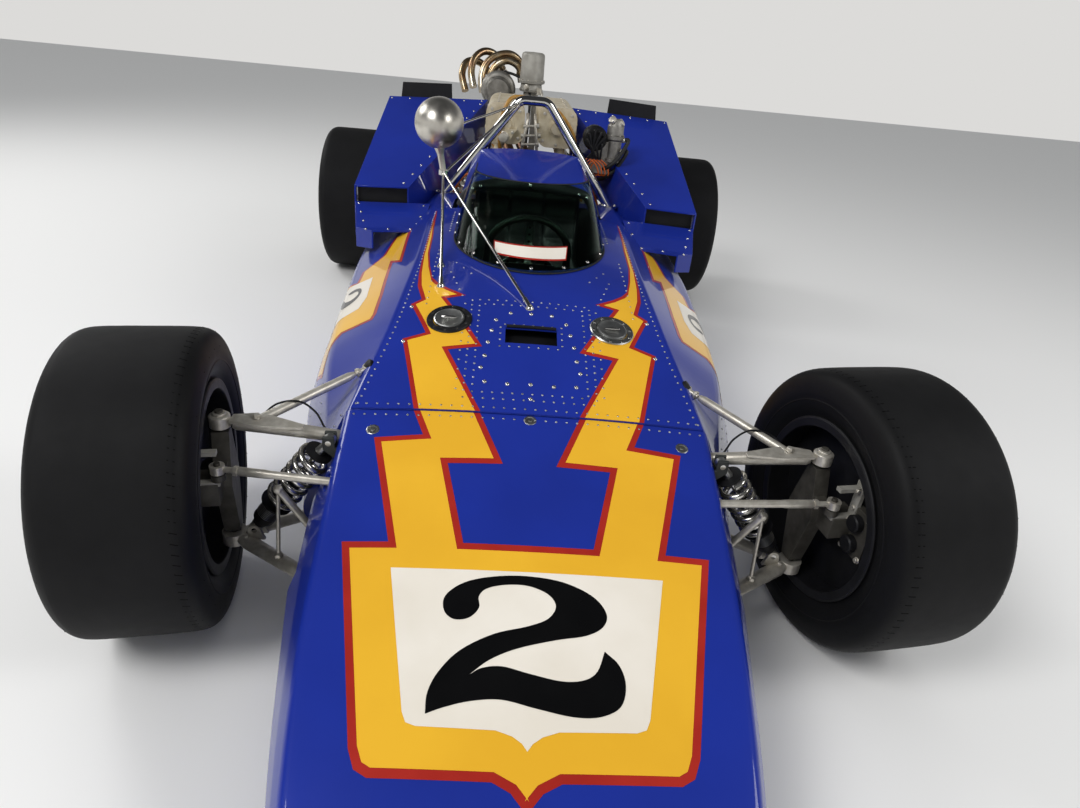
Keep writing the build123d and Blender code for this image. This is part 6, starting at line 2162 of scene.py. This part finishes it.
@dataclass
class EngineBay:
    """Cast V8 with four cam covers, plenums on runners, plug leads and fuel pipes."""

    front: float = 1520
    length: float = 560
    outer: tuple[float, float] = (318, 455)
    inner: tuple[float, float] = (188, 585)
    pitch: float = 118
    plenum_x: float = 100
    plenum_front: float = 1640
    plenum_length: float = 412
    distributor: tuple[float, float, float] = (242, 1590, 846)

    def seat(self, share: float, along: float) -> Vector:
        """Give a point by its share across the left head's sloping face and its distance along it."""
        x, z = (low + share * (high - low) for low, high in zip(self.outer, self.inner))
        return Vector((x * MM, aft(self.front + along), z * MM))

    def block(self) -> None:
        """Dress the block and cover it with its plates, ribs and bolts."""
        node_copy("engine", "engine_block", CAST, 0.004)
        node_copy("cam_covers", "cam_cover_castings", CAST, 0.006)
        form = Form()
        diagonal = 0.7071
        out, down = Vector((diagonal, 0, diagonal)), Vector((diagonal, 0, -diagonal))
        rib = ((0.020, -0.029), (0.034, -0.010), (0.034, 0.010), (0.020, 0.029))
        for share in (0.22, 0.78):
            for off in (-0.031, 0.031):
                form.bolts([self.seat(share, 60 + 58 * k) + out * (off + 0.003) for k in range(9)], out, 0.0045)
            for k in range(9):
                at = self.seat(share, 70 + 54 * k)
                form.tube([at + out * r + down * s for r, s in rib], 0.0022, 8)
        for k in range(4):
            at = self.seat(0.5, 92 + self.pitch * k)
            form.lathe([(-0.002, 0.014), (0.010, 0.013), (0.014, 0.009), (0.030, 0.0085), (0.036, 0.006)], at, out,
                       16, 1)
            end = Vector((0.120, aft(self.front + 130 + 26 * k), 0.700))
            form.hose([at + out * 0.030, at + out * 0.062, at + Vector((-0.01, 0.012, 0.14)), end], 0.004, 10, 1)
        form.mirrored().piece("engine_fittings", [NICKEL, LEAD], crease=40)

    def plenums(self) -> None:
        """Dress the plenums and runners, with hoses, clamps, nozzles and a fuel pipe."""
        node_copy("intake", "plenum_castings", CREAM_CAST, 0.009)
        form = Form()
        for port in range(4):
            y = aft(self.plenum_front + 30 + port * (self.plenum_length - 60) / 3)
            top, low = Vector((self.plenum_x * MM, y, 0.800)), Vector((0.253, y, 0.520))
            axis = (low - top).normalized()
            for near, far in ((0.055, 0.118), (0.205, 0.262)):
                form.sleeve(near, far, 0.0152, 0.0195, top, axis, 24, 1)
                for band in (near + 0.008, far - 0.014):
                    form.sleeve(band, band + 0.006, 0.0196, 0.0208, top, axis)
                    form.block(top + axis * band + Vector((0.016, -0.006, 0.002)),
                               top + axis * band + Vector((0.026, 0.006, 0.010)), 0)
            nozzle = top.lerp(low, 0.88) + Vector((0.015, 0, 0.008))
            form.lathe([(0, 0.006), (0.014, 0.006), (0.018, 0.004), (0.026, 0.0035)], nozzle, (0.7, 0, 0.7), 12, 0)
            rail = Vector((0.166, y, 0.728))
            form.hose([nozzle + Vector((0.018, 0, 0.018)), nozzle + Vector((0.03, 0.01, 0.07)), rail], 0.0028,
                      8, 2)
        front, out = aft(self.plenum_front), self.plenum_x * MM
        form.tube([(0.166, front + 0.010, 0.728), (0.166, front + 0.400, 0.728)], 0.007, 14, 0)
        lid = [(out + x, front + 0.016 + 0.063 * k, 0.934) for k in range(7) for x in (-0.030, 0.030)]
        form.bolts(lid, UP, 0.004)
        for height in (0.838, 0.876):
            near, far, edge = front + 0.014, front + 0.398, out + 0.074
            form.slab([(edge, near, height), (edge, far, height), (edge, far, height + 0.005),
                       (edge, near, height + 0.005)], LEFT * 0.003, 3)
        studs = ((-0.052, 0.812), (0.052, 0.812), (-0.052, 0.910), (0.052, 0.910), (0.0, 0.922), (0.0, 0.800))
        form.bolts([(out + x, front, z) for x, z in studs], AHEAD, 0.005)
        form.lathe([(0, 0.034), (0.004, 0.034), (0.006, 0.026), (0.014, 0.024), (0.016, 0.0)], (out, front, 0.861),
                   AHEAD, 28, 3)
        form.mirrored()
        form.slab([(-out - 0.050, front - 0.004, 0.842), (-out + 0.046, front - 0.004, 0.846),
                   (-out + 0.014, front - 0.004, 0.792), (-out - 0.026, front - 0.004, 0.790)], AHEAD * 0.016, 3)
        form.bolts([(x - out, front - 0.020, 0.834) for x in (-0.036, 0.030)], AHEAD, 0.005)
        form.lathe([(0, 0.021), (0.010, 0.021), (0.012, 0.017), (0.030, 0.016), (0.032, 0.0)],
                   (-out - 0.004, front - 0.018, 0.816), AHEAD, 24, 0)
        for x in (-0.016, 0.014):
            form.hose([(x, front + 0.02, 0.90), (x, front - 0.012, 0.880), (x * 1.6, front - 0.02, 0.82),
                       (x * 2.2, front, 0.74)], 0.0060)
        for height, reach in ((0.862, 0.030), (0.828, 0.038), (0.796, 0.034)):
            form.lathe([(-reach, 0.005), (-reach, 0.009), (-reach + 0.010, 0.009), (-reach + 0.012, 0.005),
                        (reach - 0.012, 0.005), (reach - 0.010, 0.010), (reach, 0.010), (reach, 0.0)],
                       (0, front - 0.016, height), (1, 0, 0.1), 16, 0)
        form.hose([(-0.012, front + 0.10, 0.944), (-0.036, front + 0.03, 0.958), (-0.085, front - 0.012, 0.950),
                   (-0.112, front - 0.030, 0.890), (-0.118, front - 0.018, 0.800), (-0.105, front + 0.03, 0.72)],
                  0.0072, 14, 1)
        form.hose([(0.030, front + 0.09, 0.942), (0.055, front - 0.01, 0.948), (0.118, front - 0.040, 0.905),
                   (0.168, front - 0.045, 0.83), (0.190, front + 0.02, 0.70)], 0.0062, 14, 1)
        form.piece("intake_fittings", [NICKEL, AMBER, HOSE, CREAM_CAST], crease=40)

    def ignition(self) -> None:
        """Build the black distributor with its leads, and the pump beside it on a bracket."""
        x, y, z = self.distributor[0] * MM, aft(self.distributor[1]), self.distributor[2] * MM
        form = Form()
        form.lathe([(-0.048, 0.0), (-0.048, 0.038), (-0.040, 0.043), (-0.010, 0.0445), (-0.006, 0.0385),
                    (0.002, 0.038), (0.004, 0.0455), (0.024, 0.0455), (0.034, 0.038), (0.036, 0.0)],
                   (x, y, z), AHEAD, 40, 0)
        for k, root in enumerate(circle((x, y - 0.034, z), LEFT, UP, 8, 0.029, 0.2)):
            form.lathe([(0, 0.0078), (0.012, 0.0068), (0.014, 0.0055)], root, AHEAD, 14, 0)
            low = Vector((x - 0.024 + 0.007 * k, y - 0.042, z - 0.070))
            drop = [root + AHEAD * 0.008, root + AHEAD * 0.020, low.lerp(root, 0.45) + AHEAD * 0.012, low]
            form.tube(bend(drop, 6), 0.0042, 8, 0)
            sweep = 0.030 if k % 2 else -0.020
            form.tube(bend([low, low + Vector((sweep, -0.004 + 0.002 * k, -0.024)),
                            low + Vector((sweep * 1.3, 0.006 + 0.002 * k, -0.062)),
                            (x - 0.046 + 0.009 * k, y + 0.060, z - 0.130),
                            (0.190 + 0.008 * (k % 2), aft(1690 + 24 * k), 0.650)], 6), 0.0023, 8, 1)
        px, low, top = 0.318, 0.762, 0.930
        form.lathe([(low, 0.028), (low + 0.004, 0.034), (low + 0.016, 0.034), (low + 0.020, 0.029),
                    (top - 0.088, 0.029), (top - 0.082, 0.0365), (top - 0.070, 0.0365), (top - 0.066, 0.032),
                    (top - 0.036, 0.031), (top - 0.026, 0.024), (top - 0.012, 0.022), (top - 0.010, 0.0)],
                   (px, y, 0), UP, 36, 2)
        form.bolts(circle((px, y, top - 0.070), LEFT, BACK, 6, 0.031), UP, 0.004, 3)
        for way, up in (((-0.6, -0.5, 0.7), 0.016), ((0.8, -0.3, 0.6), 0.006)):
            form.lathe([(0.0, 0.010), (up + 0.012, 0.010), (up + 0.013, 0.0145), (up + 0.022, 0.0145),
                        (up + 0.024, 0.012), (up + 0.025, 0.0)], (px, y, top - 0.036), way, 20, 3)
        bracket = ((x - 0.006, z - 0.124), (px - 0.010, z - 0.128), (px - 0.006, z), (x - 0.006, z - 0.030))
        form.slab([(a, y - 0.018, b) for a, b in bracket], BACK * 0.036, 2)
        for start, way in ((0.846, -0.030), (0.806, -0.012)):
            root = Vector((px + 0.030, y - 0.008, start))
            form.lathe([(-0.004, 0.009), (0.010, 0.009), (0.012, 0.007)], root, (1, -0.5, 0.1), 12, 3)
            form.hose([root, root + Vector((0.020, -0.014, 0.0)), (px + 0.018, y + way - 0.01, start - 0.060),
                       (px - 0.020, y + way, start - 0.100), (px - 0.060, y + 0.050, start - 0.125)], 0.0075,
                      12, 4)
        form.piece("distributor_and_pump", [SATIN, LEAD, CAST, NICKEL, HOSE], ["ignition_unit"],
                   crease=40, bevel=0.0008)

    def build(self) -> None:
        """Build the whole engine."""
        self.block()
        self.plenums()
        self.ignition()


@dataclass
class TurboSystem:
    """Turbocharger with scroll housings, collectors, tail pipe and wastegate."""

    at: tuple[float, float, float] = (-0.145, aft(2330), 0.925)
    volute: float = 0.080
    turbine_back: float = 0.140
    wastegate: tuple[float, float] = (0.006, aft(2330))

    def scroll(self, form: Form, middle: Vector, outer: float, turn: float, finish: int) -> None:
        """Add one scroll housing: a pipe that grows round the wheel and leaves on a tangent.

        Args:
            form: The form that gets it.
            middle: The middle of the housing.
            outer: Its radius.
            turn: The angle that it starts at.
            finish: Which of the piece's finishes it gets.
        """
        rings = []
        for k in range(49):
            share = k / 48
            t = turn + 2 * math.pi * share * 0.96
            radius = 0.012 + 0.019 * share
            out = Vector((math.cos(t), 0, math.sin(t)))
            rings.append(circle(middle + out * (outer - radius), out, BACK, 18, radius))
        form.rings(rings, finish)

    def charger(self) -> None:
        """Build the charger itself."""
        middle = Vector(self.at)
        turbine = middle + Vector((0, self.turbine_back, 0))
        form = Form()
        self.scroll(form, middle, self.volute, math.radians(-100), 0)
        form.lathe([(-0.080, 0.0385), (-0.080, 0.048), (-0.072, 0.048), (-0.068, 0.044), (-0.034, 0.050),
                    (-0.024, 0.058), (0.024, 0.062), (0.030, 0.050), (0.034, 0.040)], middle, BACK, 48, 0)
        form.lathe([(-0.079, 0.038), (-0.040, 0.034), (-0.030, 0.010), (-0.052, 0.006), (-0.054, 0.0)], middle,
                   BACK, 36, 2)
        blade = ((0.007, 0.0, -0.050), (0.032, 0.006, -0.046), (0.033, 0.012, -0.034), (0.008, 0.004, -0.032))
        for t in turns(10):
            out, side = Vector((math.cos(t), 0, math.sin(t))), Vector((-math.sin(t), 0, math.cos(t)))
            form.slab([middle + out * r + side * s + BACK * u for r, s, u in blade], side * 0.0015, 2)
        form.lathe([(0.034, 0.040), (0.050, 0.034), (0.078, 0.034), (0.090, 0.040), (0.110, 0.041)], middle,
                   BACK, 36, 1)
        self.scroll(form, turbine, self.volute - 0.008, math.radians(80), 1)
        form.lathe([(-0.030, 0.046), (-0.022, 0.060), (0.022, 0.060), (0.028, 0.054), (0.034, 0.056),
                    (0.034, 0.040)], turbine, BACK, 48, 1)
        for at in (middle + BACK * 0.030, turbine - BACK * 0.030):
            form.bolts(circle(at, LEFT, UP, 8, 0.045), BACK, 0.0045, 2)
        form.hose([middle + Vector((0.0, 0.064, 0.034)), middle + Vector((0.0, 0.064, 0.070)),
                   (-0.06, aft(2380), 0.985), (0.0, aft(2300), 0.93), (0.0, aft(2260), 0.70)], 0.006, 12, 3)
        form.piece("turbocharger_housing", [CAST, IRON, NICKEL, HOSE], ["turbocharger"], crease=45)

    def pipes(self) -> None:
        """Dress the exhaust, with flanges, weld beads and clamps."""
        node_copy("exhaust", "exhaust_pipes", HOT_STEEL, 0.0008, 50)
        form = Form()
        for points in (((-0.050, 2440, 0.985), (-0.052, 2438, 1.040), (-0.100, 2430, 1.072), (-0.168, 2420, 1.058),
                        (-0.212, 2405, 1.016), (-0.226, 2385, 0.960), (-0.218, 2360, 0.905)),
                       ((-0.040, 2400, 0.960), (-0.056, 2398, 1.022), (-0.108, 2396, 1.046), (-0.160, 2392, 1.022),
                        (-0.186, 2385, 0.975), (-0.188, 2370, 0.920)),
                       ((-0.130, 2500, 1.000), (-0.170, 2490, 1.060), (-0.222, 2470, 1.072), (-0.264, 2440, 1.040),
                        (-0.276, 2410, 0.985), (-0.262, 2380, 0.920)),
                       ((-0.180, 2540, 0.960), (-0.240, 2520, 1.020), (-0.300, 2480, 1.020), (-0.320, 2440, 0.970),
                        (-0.300, 2400, 0.900))):
            form.hose([(x, aft(d), z) for x, d, z in points], 0.0165, 20, 1)
        tail = Vector((self.at[0], aft(2504), self.at[2]))
        for back in (0.004, 0.245, 0.586):
            bead = [(back, 0.0502), (back + 0.001, 0.0535), (back + 0.009, 0.0535), (back + 0.010, 0.0502)]
            form.lathe(bead, tail, BACK, 40)
        for side in (1, -1):
            axis = Vector((side * 92, 0, -54)).normalized()
            for port in range(4):
                low = Vector((side * 0.132, aft(EngineBay.front + 90 + port * EngineBay.pitch), 0.512))
                form.sleeve(-0.014, -0.006, 0.0182, 0.027, low, axis, 20)
                form.bolts([low + BACK * u - axis * 0.014 for u in (0.023, -0.023)], -axis, 0.0042)
        form.piece("exhaust_fittings", [NICKEL, STRAW_STEEL], crease=40)

    def gate(self) -> None:
        """Build the wastegate: plain can over a diaphragm flange with screws, neck and line."""
        x, y = self.wastegate
        form = Form()
        form.lathe([(0.885, 0.024), (0.893, 0.024), (0.896, 0.044), (0.904, 0.046), (0.906, 0.034),
                    (0.926, 0.034), (0.930, 0.052), (0.938, 0.0545), (0.944, 0.050), (0.962, 0.048),
                    (0.966, 0.060), (0.975, 0.0615), (0.978, 0.0545), (1.080, 0.0525), (1.088, 0.049),
                    (1.0925, 0.040), (1.0945, 0.0)],
                   (x, y, 0), UP, 56, 0)
        upper = circle((x, y, 0.9765), LEFT, BACK, 10, 0.0572)
        lower = circle((x, y, 0.9050), LEFT, BACK, 10, 0.0405)
        for k in range(10):
            form.bolts([upper[k]], UP, 0.0036, 1)
            if k % 2:
                form.bolts([lower[k]], UP, 0.0038, 1)
        form.hose([(x + 0.030, y - 0.040, 0.935), (x + 0.046, y - 0.060, 0.935), (x + 0.050, y - 0.078, 0.915),
                   (x + 0.034, y - 0.095, 0.87)], 0.0055, 12, 1)
        form.block((x + 0.026, y - 0.062, 0.922), (x + 0.046, y - 0.040, 0.950), 1)
        form.lathe([(0, 0.012), (0.016, 0.012), (0.018, 0.008), (0.030, 0.008)], (x - 0.020, y - 0.040, 0.950),
                   (-0.3, -1, 0), 16, 1)
        form.piece("wastegate_can", [GREY_CAST, NICKEL, HOSE], ["wastegate"], crease=40)

    def build(self) -> None:
        """Build the whole system."""
        self.charger()
        self.pipes()
        self.gate()


@dataclass
class RearEnd:
    """Ribbed gearbox, rear uprights and the arms and rods between them."""

    rear: float = 2930

    def gearbox(self) -> None:
        """Dress the casing with ribs, covers and studs."""
        node_copy("gearbox", "gearbox_casing", CAST, 0.004)
        form = Form()
        for k in range(7):
            y = aft(2290 + 92 * k)
            if abs(y - REAR_AXLE.y) < 0.07:
                continue
            half = [(0.118, y, 0.222), (0.1235, y, 0.26), (0.1235, y, 0.415), (0.09, y, 0.4605)]
            ring = [*[sided(p, -1) for p in half], *half[::-1]]
            form.tube(rounded(ring, [0, 0.02, 0.03, 0.03, 0.03, 0.03, 0.02, 0]), 0.0036, 8)
        form.lathe([(0, 0.075), (0.006, 0.075), (0.010, 0.068), (0.012, 0.030), (0.012, 0.0235)],
                   (0, aft(self.rear) - 0.004, REAR_AXLE.z), BACK, 36, 0)
        form.bolts(circle((0, aft(self.rear) + 0.004, REAR_AXLE.z), LEFT, UP, 10, 0.062), BACK, 0.0045, 1)
        for side in (1, -1):
            cover = (side * 0.165, REAR_AXLE.y, REAR_AXLE.z)
            form.bolts(circle(cover, BACK, UP, 8, 0.047, 0.2), LEFT * side, 0.004, 1)
        form.tube([(0.05, aft(2100), 0.474), (0.05, aft(2700), 0.466)], 0.008, 14, 1)
        form.lathe([(0, 0.018), (0.03, 0.016), (0.04, 0.008)], (0.05, aft(2690), 0.466), BACK, 20, 1)
        form.piece("gearbox_fittings", [CAST, NICKEL], crease=40)

    def suspension(self) -> None:
        """Dress the uprights and rods, and close the rods' ends."""
        node_copy("rear_uprights", "rear_upright_castings", MAGNESIUM, 0.003)
        node_copy("rear_arms", "rear_suspension_rods", NICKEL, 0.0012)
        form = Form()
        outer = Vector((0.508, REAR_AXLE.y, 0.181))
        for distance in (-150, 110):
            inner = Vector((0.116, REAR_AXLE.y + distance * MM, 0.235))
            form.stub(0.024, 0.036, 0.0165, outer, inner - outer)
            form.stub(0.024, 0.036, 0.0165, inner, outer - inner)
        for height in (0.183, 0.476):
            outer = Vector((0.506, REAR_AXLE.y - 0.020, height))
            inner = Vector((0.470, aft(1520), height * 0.9 + 0.03))
            axis = (inner - outer).normalized()
            form.stub(0.030, 0.040, 0.0135, outer, axis)
            form.lathe([(0.0, 0.017), (0.006, 0.021), (0.012, 0.017)], inner - axis * 0.022, axis, 20)
        form.mirrored().piece("rear_rod_nuts", [NICKEL], crease=40)

    def build(self) -> None:
        """Build the whole rear end."""
        self.gearbox()
        self.suspension()


# Fasteners and caps


@dataclass
class Fasteners:
    """Rivets, latches and bolts of the panels, all set by one tree."""

    rows: FastenerRows
    skin: Skin
    deck_skin: Skin

    def row(self, points: Sequence[Point]) -> list[Vector]:
        """Lay one row's line on the skin from above, from x in metres and millimetres aft."""
        return self.skin.line([(x, aft(d), 0.5) for x, d in points], DOWN, 0.01)

    def rivets(self) -> None:
        """Set the rivet rows of the joint, the slot and the panel edges."""
        def frame_row(x: float, front: float, rear: float) -> list[Vector]:
            """Lay a row round a rectangle."""
            return self.row([(-x, front), (x, front), (x, rear), (-x, rear), (-x, front)])

        lines = [*[self.row([(-0.372, d), (0.372, d)]) for d in (55, 81)], frame_row(0.074, 268, 346)]
        for side in (1, -1):
            lines.append(self.row([(side * (glide(TUB_TABLE, d)[0] - 18) * MM, d) for d in range(82, 1190, 60)]))
            lines.append(self.row([(side * 0.245, 1140), (side * 0.245, 930)]))
        lines += [frame_row(0.129, 124, 430), frame_row(0.148, 106, 450)]
        self.rows.lay("panel_rivets", CHASSIS, lines, 0.022, 0.0027, Head.RIVET, ALLOY)
        runs = (((0.165, 430), (0.165, 130)), ((0.175, 470), (0.215, 600)), ((0.262, 430), (0.262, 760)),
                ((0.160, 590), (0.205, 660)))
        fan = [self.row([(side * x, d) for x, d in run]) for side in (1, -1) for run in runs]
        self.rows.lay("fan_rivets", CHASSIS, fan, 0.030, 0.0029, Head.RIVET, ALLOY)

    def flank_rivets(self) -> None:
        """Set the rivet rows down the tub's flanks."""
        lines = []
        for side in (1, -1):
            towards = (-side, 0, -0.25)
            for share in (0.25, 0.8):
                line = []
                for distance in range(120, 1500, 60):
                    *_, shoulder_x, shoulder_z, side_x, side_z, _, _ = glide(TUB_TABLE, distance)
                    line.append((side * (shoulder_x + share * (side_x - shoulder_x)) * MM, aft(distance),
                                 (shoulder_z + share * (side_z - shoulder_z)) * MM))
                lines.append(self.skin.line(line, towards))
            for distance in (100, 560, 1010, 1480):
                ends = [(side * 0.55, aft(distance), 0.43), (side * 0.6, aft(distance), 0.12)]
                lines.append(self.skin.line(ends, (-side, 0, -0.1)))
        self.rows.lay("flank_rivets", CHASSIS, lines, 0.032, 0.0022, Head.RIVET, ALLOY)

    def deck_buttons(self) -> None:
        """Set the button heads along the edges of the decks."""
        runs = (((0.205, 1994), (0.580, 1994)), ((0.440, 1325), (0.305, 1700), (0.210, 1965)),
                ((0.365, 1085), (0.365, 1280)), ((0.385, 1078), (0.530, 1078), (0.590, 1285)))
        lines = [self.deck_skin.line([(side * x, aft(d), 0.8) for x, d in run])
                 for side in (1, -1) for run in runs]
        self.rows.lay("deck_buttons", CHASSIS, lines, 0.066, 0.0044, Head.RIVET, SPRING)

    def latches(self) -> None:
        """Set the quarter turn latches, the cap screws and the cowl bolts."""
        spots = [[self.skin.drop((x, y, 0.5), DOWN)]
                 for x, y in ((0.325, -1.118), (-0.325, -1.118), (0.0, -1.076))]
        self.rows.lay("nose_latches", CHASSIS, spots, 1.0, 0.014, Head.LATCH, ALLOY)
        hatch = ((0.051, 392), (0.086, 361), (0.095, 320), (0.102, 278), (0.107, 233), (0.114, 196), (0.103, 154),
                 (0.052, 150))
        places = [(side * x, d) for side in (1, -1) for x, d in ((0.299, 276), (0.297, 417), *hatch)]
        places += [(0.0, 152), (0.0, 110), (0.0, 393)]
        spots = [[self.skin.drop((x, aft(d), 0.5), DOWN)] for x, d in places]
        self.rows.lay("cowl_bolts", CHASSIS, spots, 1.0, 0.0052, Head.SCREW, SPRING)

    def build(self) -> None:
        """Set them all."""
        self.rivets()
        self.flank_rivets()
        self.deck_buttons()
        self.latches()


@dataclass
class FillerCaps:
    """Flush fuel fillers: a screwed ring, a dished lid and its latch."""

    x: float = 0.199
    distance: float = 358
    radius: float = 0.055
    screws: int = 10

    def build(self, body: Bodywork) -> None:
        """Build one cap in black and one in bare metal.

        Args:
            body: The bodywork that the caps are let into.
        """
        form = Form()
        for side, ring, lid in ((-1, 1, 0), (1, 0, 0)):
            axis = Vector((side * 0.09, -0.27, 1)).normalized()
            seat = Vector((side * self.x, aft(self.distance), body.skin_z(self.x * 1000, self.distance)))
            form.lathe([(-0.004, self.radius), (0.003, self.radius), (0.005, self.radius - 0.002),
                        (0.005, self.radius - 0.014), (0.001, self.radius - 0.016)], seat, axis, 48, ring)
            form.lathe([(0.0, self.radius - 0.0165), (0.0065, self.radius - 0.018), (0.008, self.radius - 0.021),
                        (0.0055, self.radius - 0.028), (0.005, 0.0)], seat, axis, 48, lid)
            across = axis.orthogonal().normalized()
            for at in circle(seat + axis * 0.005, across, axis.cross(across), self.screws, self.radius - 0.008):
                form.lathe([(0, 0.0032), (0.0012, 0.003), (0.0016, 0.0)], at, axis, 10, 2)
            bar = [seat + axis * 0.0085 + LEFT * u for u in (-0.018, -0.009, 0.009, 0.018)]
            form.tube(bar, [0.0022, 0.0042, 0.0042, 0.0022], 12, 2)
        form.piece("fuel_fillers", [ALLOY, SATIN, CHROME], ["filler_caps"], crease=40)


# Studio


@dataclass
class Studio:
    """Plain pale room with soft lamps, and the camera that took the photograph."""

    position: tuple[float, float, float] = (-0.087, -2.410, 1.203)
    yaw: float = 4.48
    pitch: float = 27.73
    roll: float = 5.83
    lens: float = 23.89
    floor_colour: str = "#F1F0EE"
    wall_colour: str = "#DCDBD9"
    ceiling_colour: str = "#3A3B3D"

    def camera(self) -> None:
        """Place the camera by its own three turns."""
        yaw, pitch, roll = (math.radians(a) for a in (self.yaw, self.pitch, self.roll))
        ahead = Vector((math.sin(yaw) * math.cos(pitch), math.cos(yaw) * math.cos(pitch), -math.sin(pitch)))
        level = Vector((math.cos(yaw), -math.sin(yaw), 0))
        above = level.cross(ahead)
        right = level * math.cos(roll) + above * math.sin(roll)
        up = above * math.cos(roll) - level * math.sin(roll)
        data = bpy.data.cameras.new("photo_camera")
        data.lens, data.sensor_width, data.clip_start = self.lens, 36.0, 0.05
        camera = bpy.data.objects.new("photo_camera", data)
        turn = Matrix((right, up, -ahead)).transposed().to_4x4()
        camera.matrix_world = Matrix.Translation(self.position) @ turn
        bpy.context.scene.collection.objects.link(camera)
        bpy.context.scene.camera = camera

    def lamp(self, name: str, at: Point, aim: Point, size: float, power: float) -> None:
        """Hang one soft square lamp.

        Args:
            name: The lamp's name.
            at: Where it hangs.
            aim: The point that it shines at.
            size: The length of its side.
            power: Its power in watts.
        """
        data = bpy.data.lights.new(name, "AREA")
        data.shape, data.size, data.energy = "SQUARE", size, power
        lamp = bpy.data.objects.new(name, data)
        way = Vector(aim) - Vector(at)
        lamp.matrix_world = Matrix.Translation(at) @ way.to_track_quat("-Z", "Y").to_matrix().to_4x4()
        bpy.context.scene.collection.objects.link(lamp)

    def world(self) -> None:
        """Give an even light, seen by the camera and in mirrors as pale walls and a grey ceiling."""
        world = bpy.data.worlds.new("pale room")
        bpy.context.scene.world = world
        world.use_nodes = True
        tree = world.node_tree
        light = tree.nodes["Background"]
        light.inputs["Color"].default_value = (0.96, 0.98, 1.0, 1.0)
        light.inputs["Strength"].default_value = 0.42
        height = add_node(tree, "ShaderNodeSeparateXYZ",
                          {"Vector": add_node(tree, "ShaderNodeTexCoord").outputs["Generated"]})
        room = add_node(tree, "ShaderNodeValToRGB", {"Fac": height.outputs["Z"]})
        room.color_ramp.elements[0].position, room.color_ramp.elements[1].position = 0.1, 0.4
        room.color_ramp.elements[0].color = hex_to_linear(self.wall_colour)
        room.color_ramp.elements[1].color = hex_to_linear(self.ceiling_colour)
        seen = add_node(tree, "ShaderNodeBackground", {"Color": room.outputs["Color"]}, {"Strength": 1.0})
        path = add_node(tree, "ShaderNodeLightPath")
        mirrored = add_node(tree, "ShaderNodeMath", {0: path.outputs["Is Glossy Ray"],
                                                     1: path.outputs["Is Transmission Ray"]}, operation="MAXIMUM")
        either = add_node(tree, "ShaderNodeMath", {0: path.outputs["Is Camera Ray"], 1: mirrored.outputs[0]},
                          operation="MAXIMUM")
        mix = add_node(tree, "ShaderNodeMixShader", {0: either.outputs[0], 1: light.outputs[0],
                                                     2: seen.outputs[0]})
        tree.links.new(mix.outputs[0], tree.nodes["World Output"].inputs["Surface"])

    def floor(self) -> None:
        """Lay the floor, a plain painted screed."""
        form = Form().block((-14, -14, -0.02), (14, 14, 0.0))
        paint = Finish("floor paint", self.floor_colour, self.floor_colour, 0.75, blotch_mm=900, grain_mm=6,
                       grain_depth=0.0, gloss_spread=0.0, shine=0.3)
        floor = form.object("floor", [paint])

    def build(self) -> None:
        """Build the room."""
        bpy.context.scene.view_settings.view_transform = "Standard"
        self.floor()
        self.world()
        self.lamp("key", (-3.0, -3.4, 4.6), (0, 0, 0.3), 2.2, 165)
        self.lamp("fill", (4.0, -2.4, 3.6), (0, -0.4, 0.4), 2.0, 75)
        self.lamp("back", (-4.6, 2.6, 3.8), (0, 0.6, 0.5), 2.0, 90)
        self.camera()


def merged_skin(panels: Sequence[bpy.types.Object]) -> bpy.types.Object:
    """Copy panels into one helper object, for the fasteners to lie on.

    Args:
        panels: The panels.

    Returns:
        The helper object.
    """
    form = bmesh.new()
    for panel in panels:
        form.from_mesh(panel.data)
    mesh = bpy.data.meshes.new("fastener_ground")
    form.to_mesh(mesh)
    form.free()
    ground = bpy.data.objects.new("fastener_ground", mesh)
    bpy.context.scene.collection.objects.link(ground)
    return ground


def main() -> None:
    """Build every sub-assembly in order, then the room."""
    logging.basicConfig(level=logging.INFO, format="%(message)s")
    body = Bodywork()
    skin, deck_skin, panels = body.build()
    Livery(skin).build()
    ground = merged_skin(panels)
    Fasteners(FastenerRows(ground), skin, deck_skin).build()
    bpy.data.objects.remove(ground)
    FillerCaps().build(body)
    Windscreen().build(body)
    MirrorPod().build(body)
    RollBar().build()
    Cockpit().build()
    FrontSuspension().build()
    SpringUnits().build()
    Wheels().build()
    EngineBay().build()
    TurboSystem().build()
    RearEnd().build()
    Studio().build()


if __name__ == "__main__":
    main()
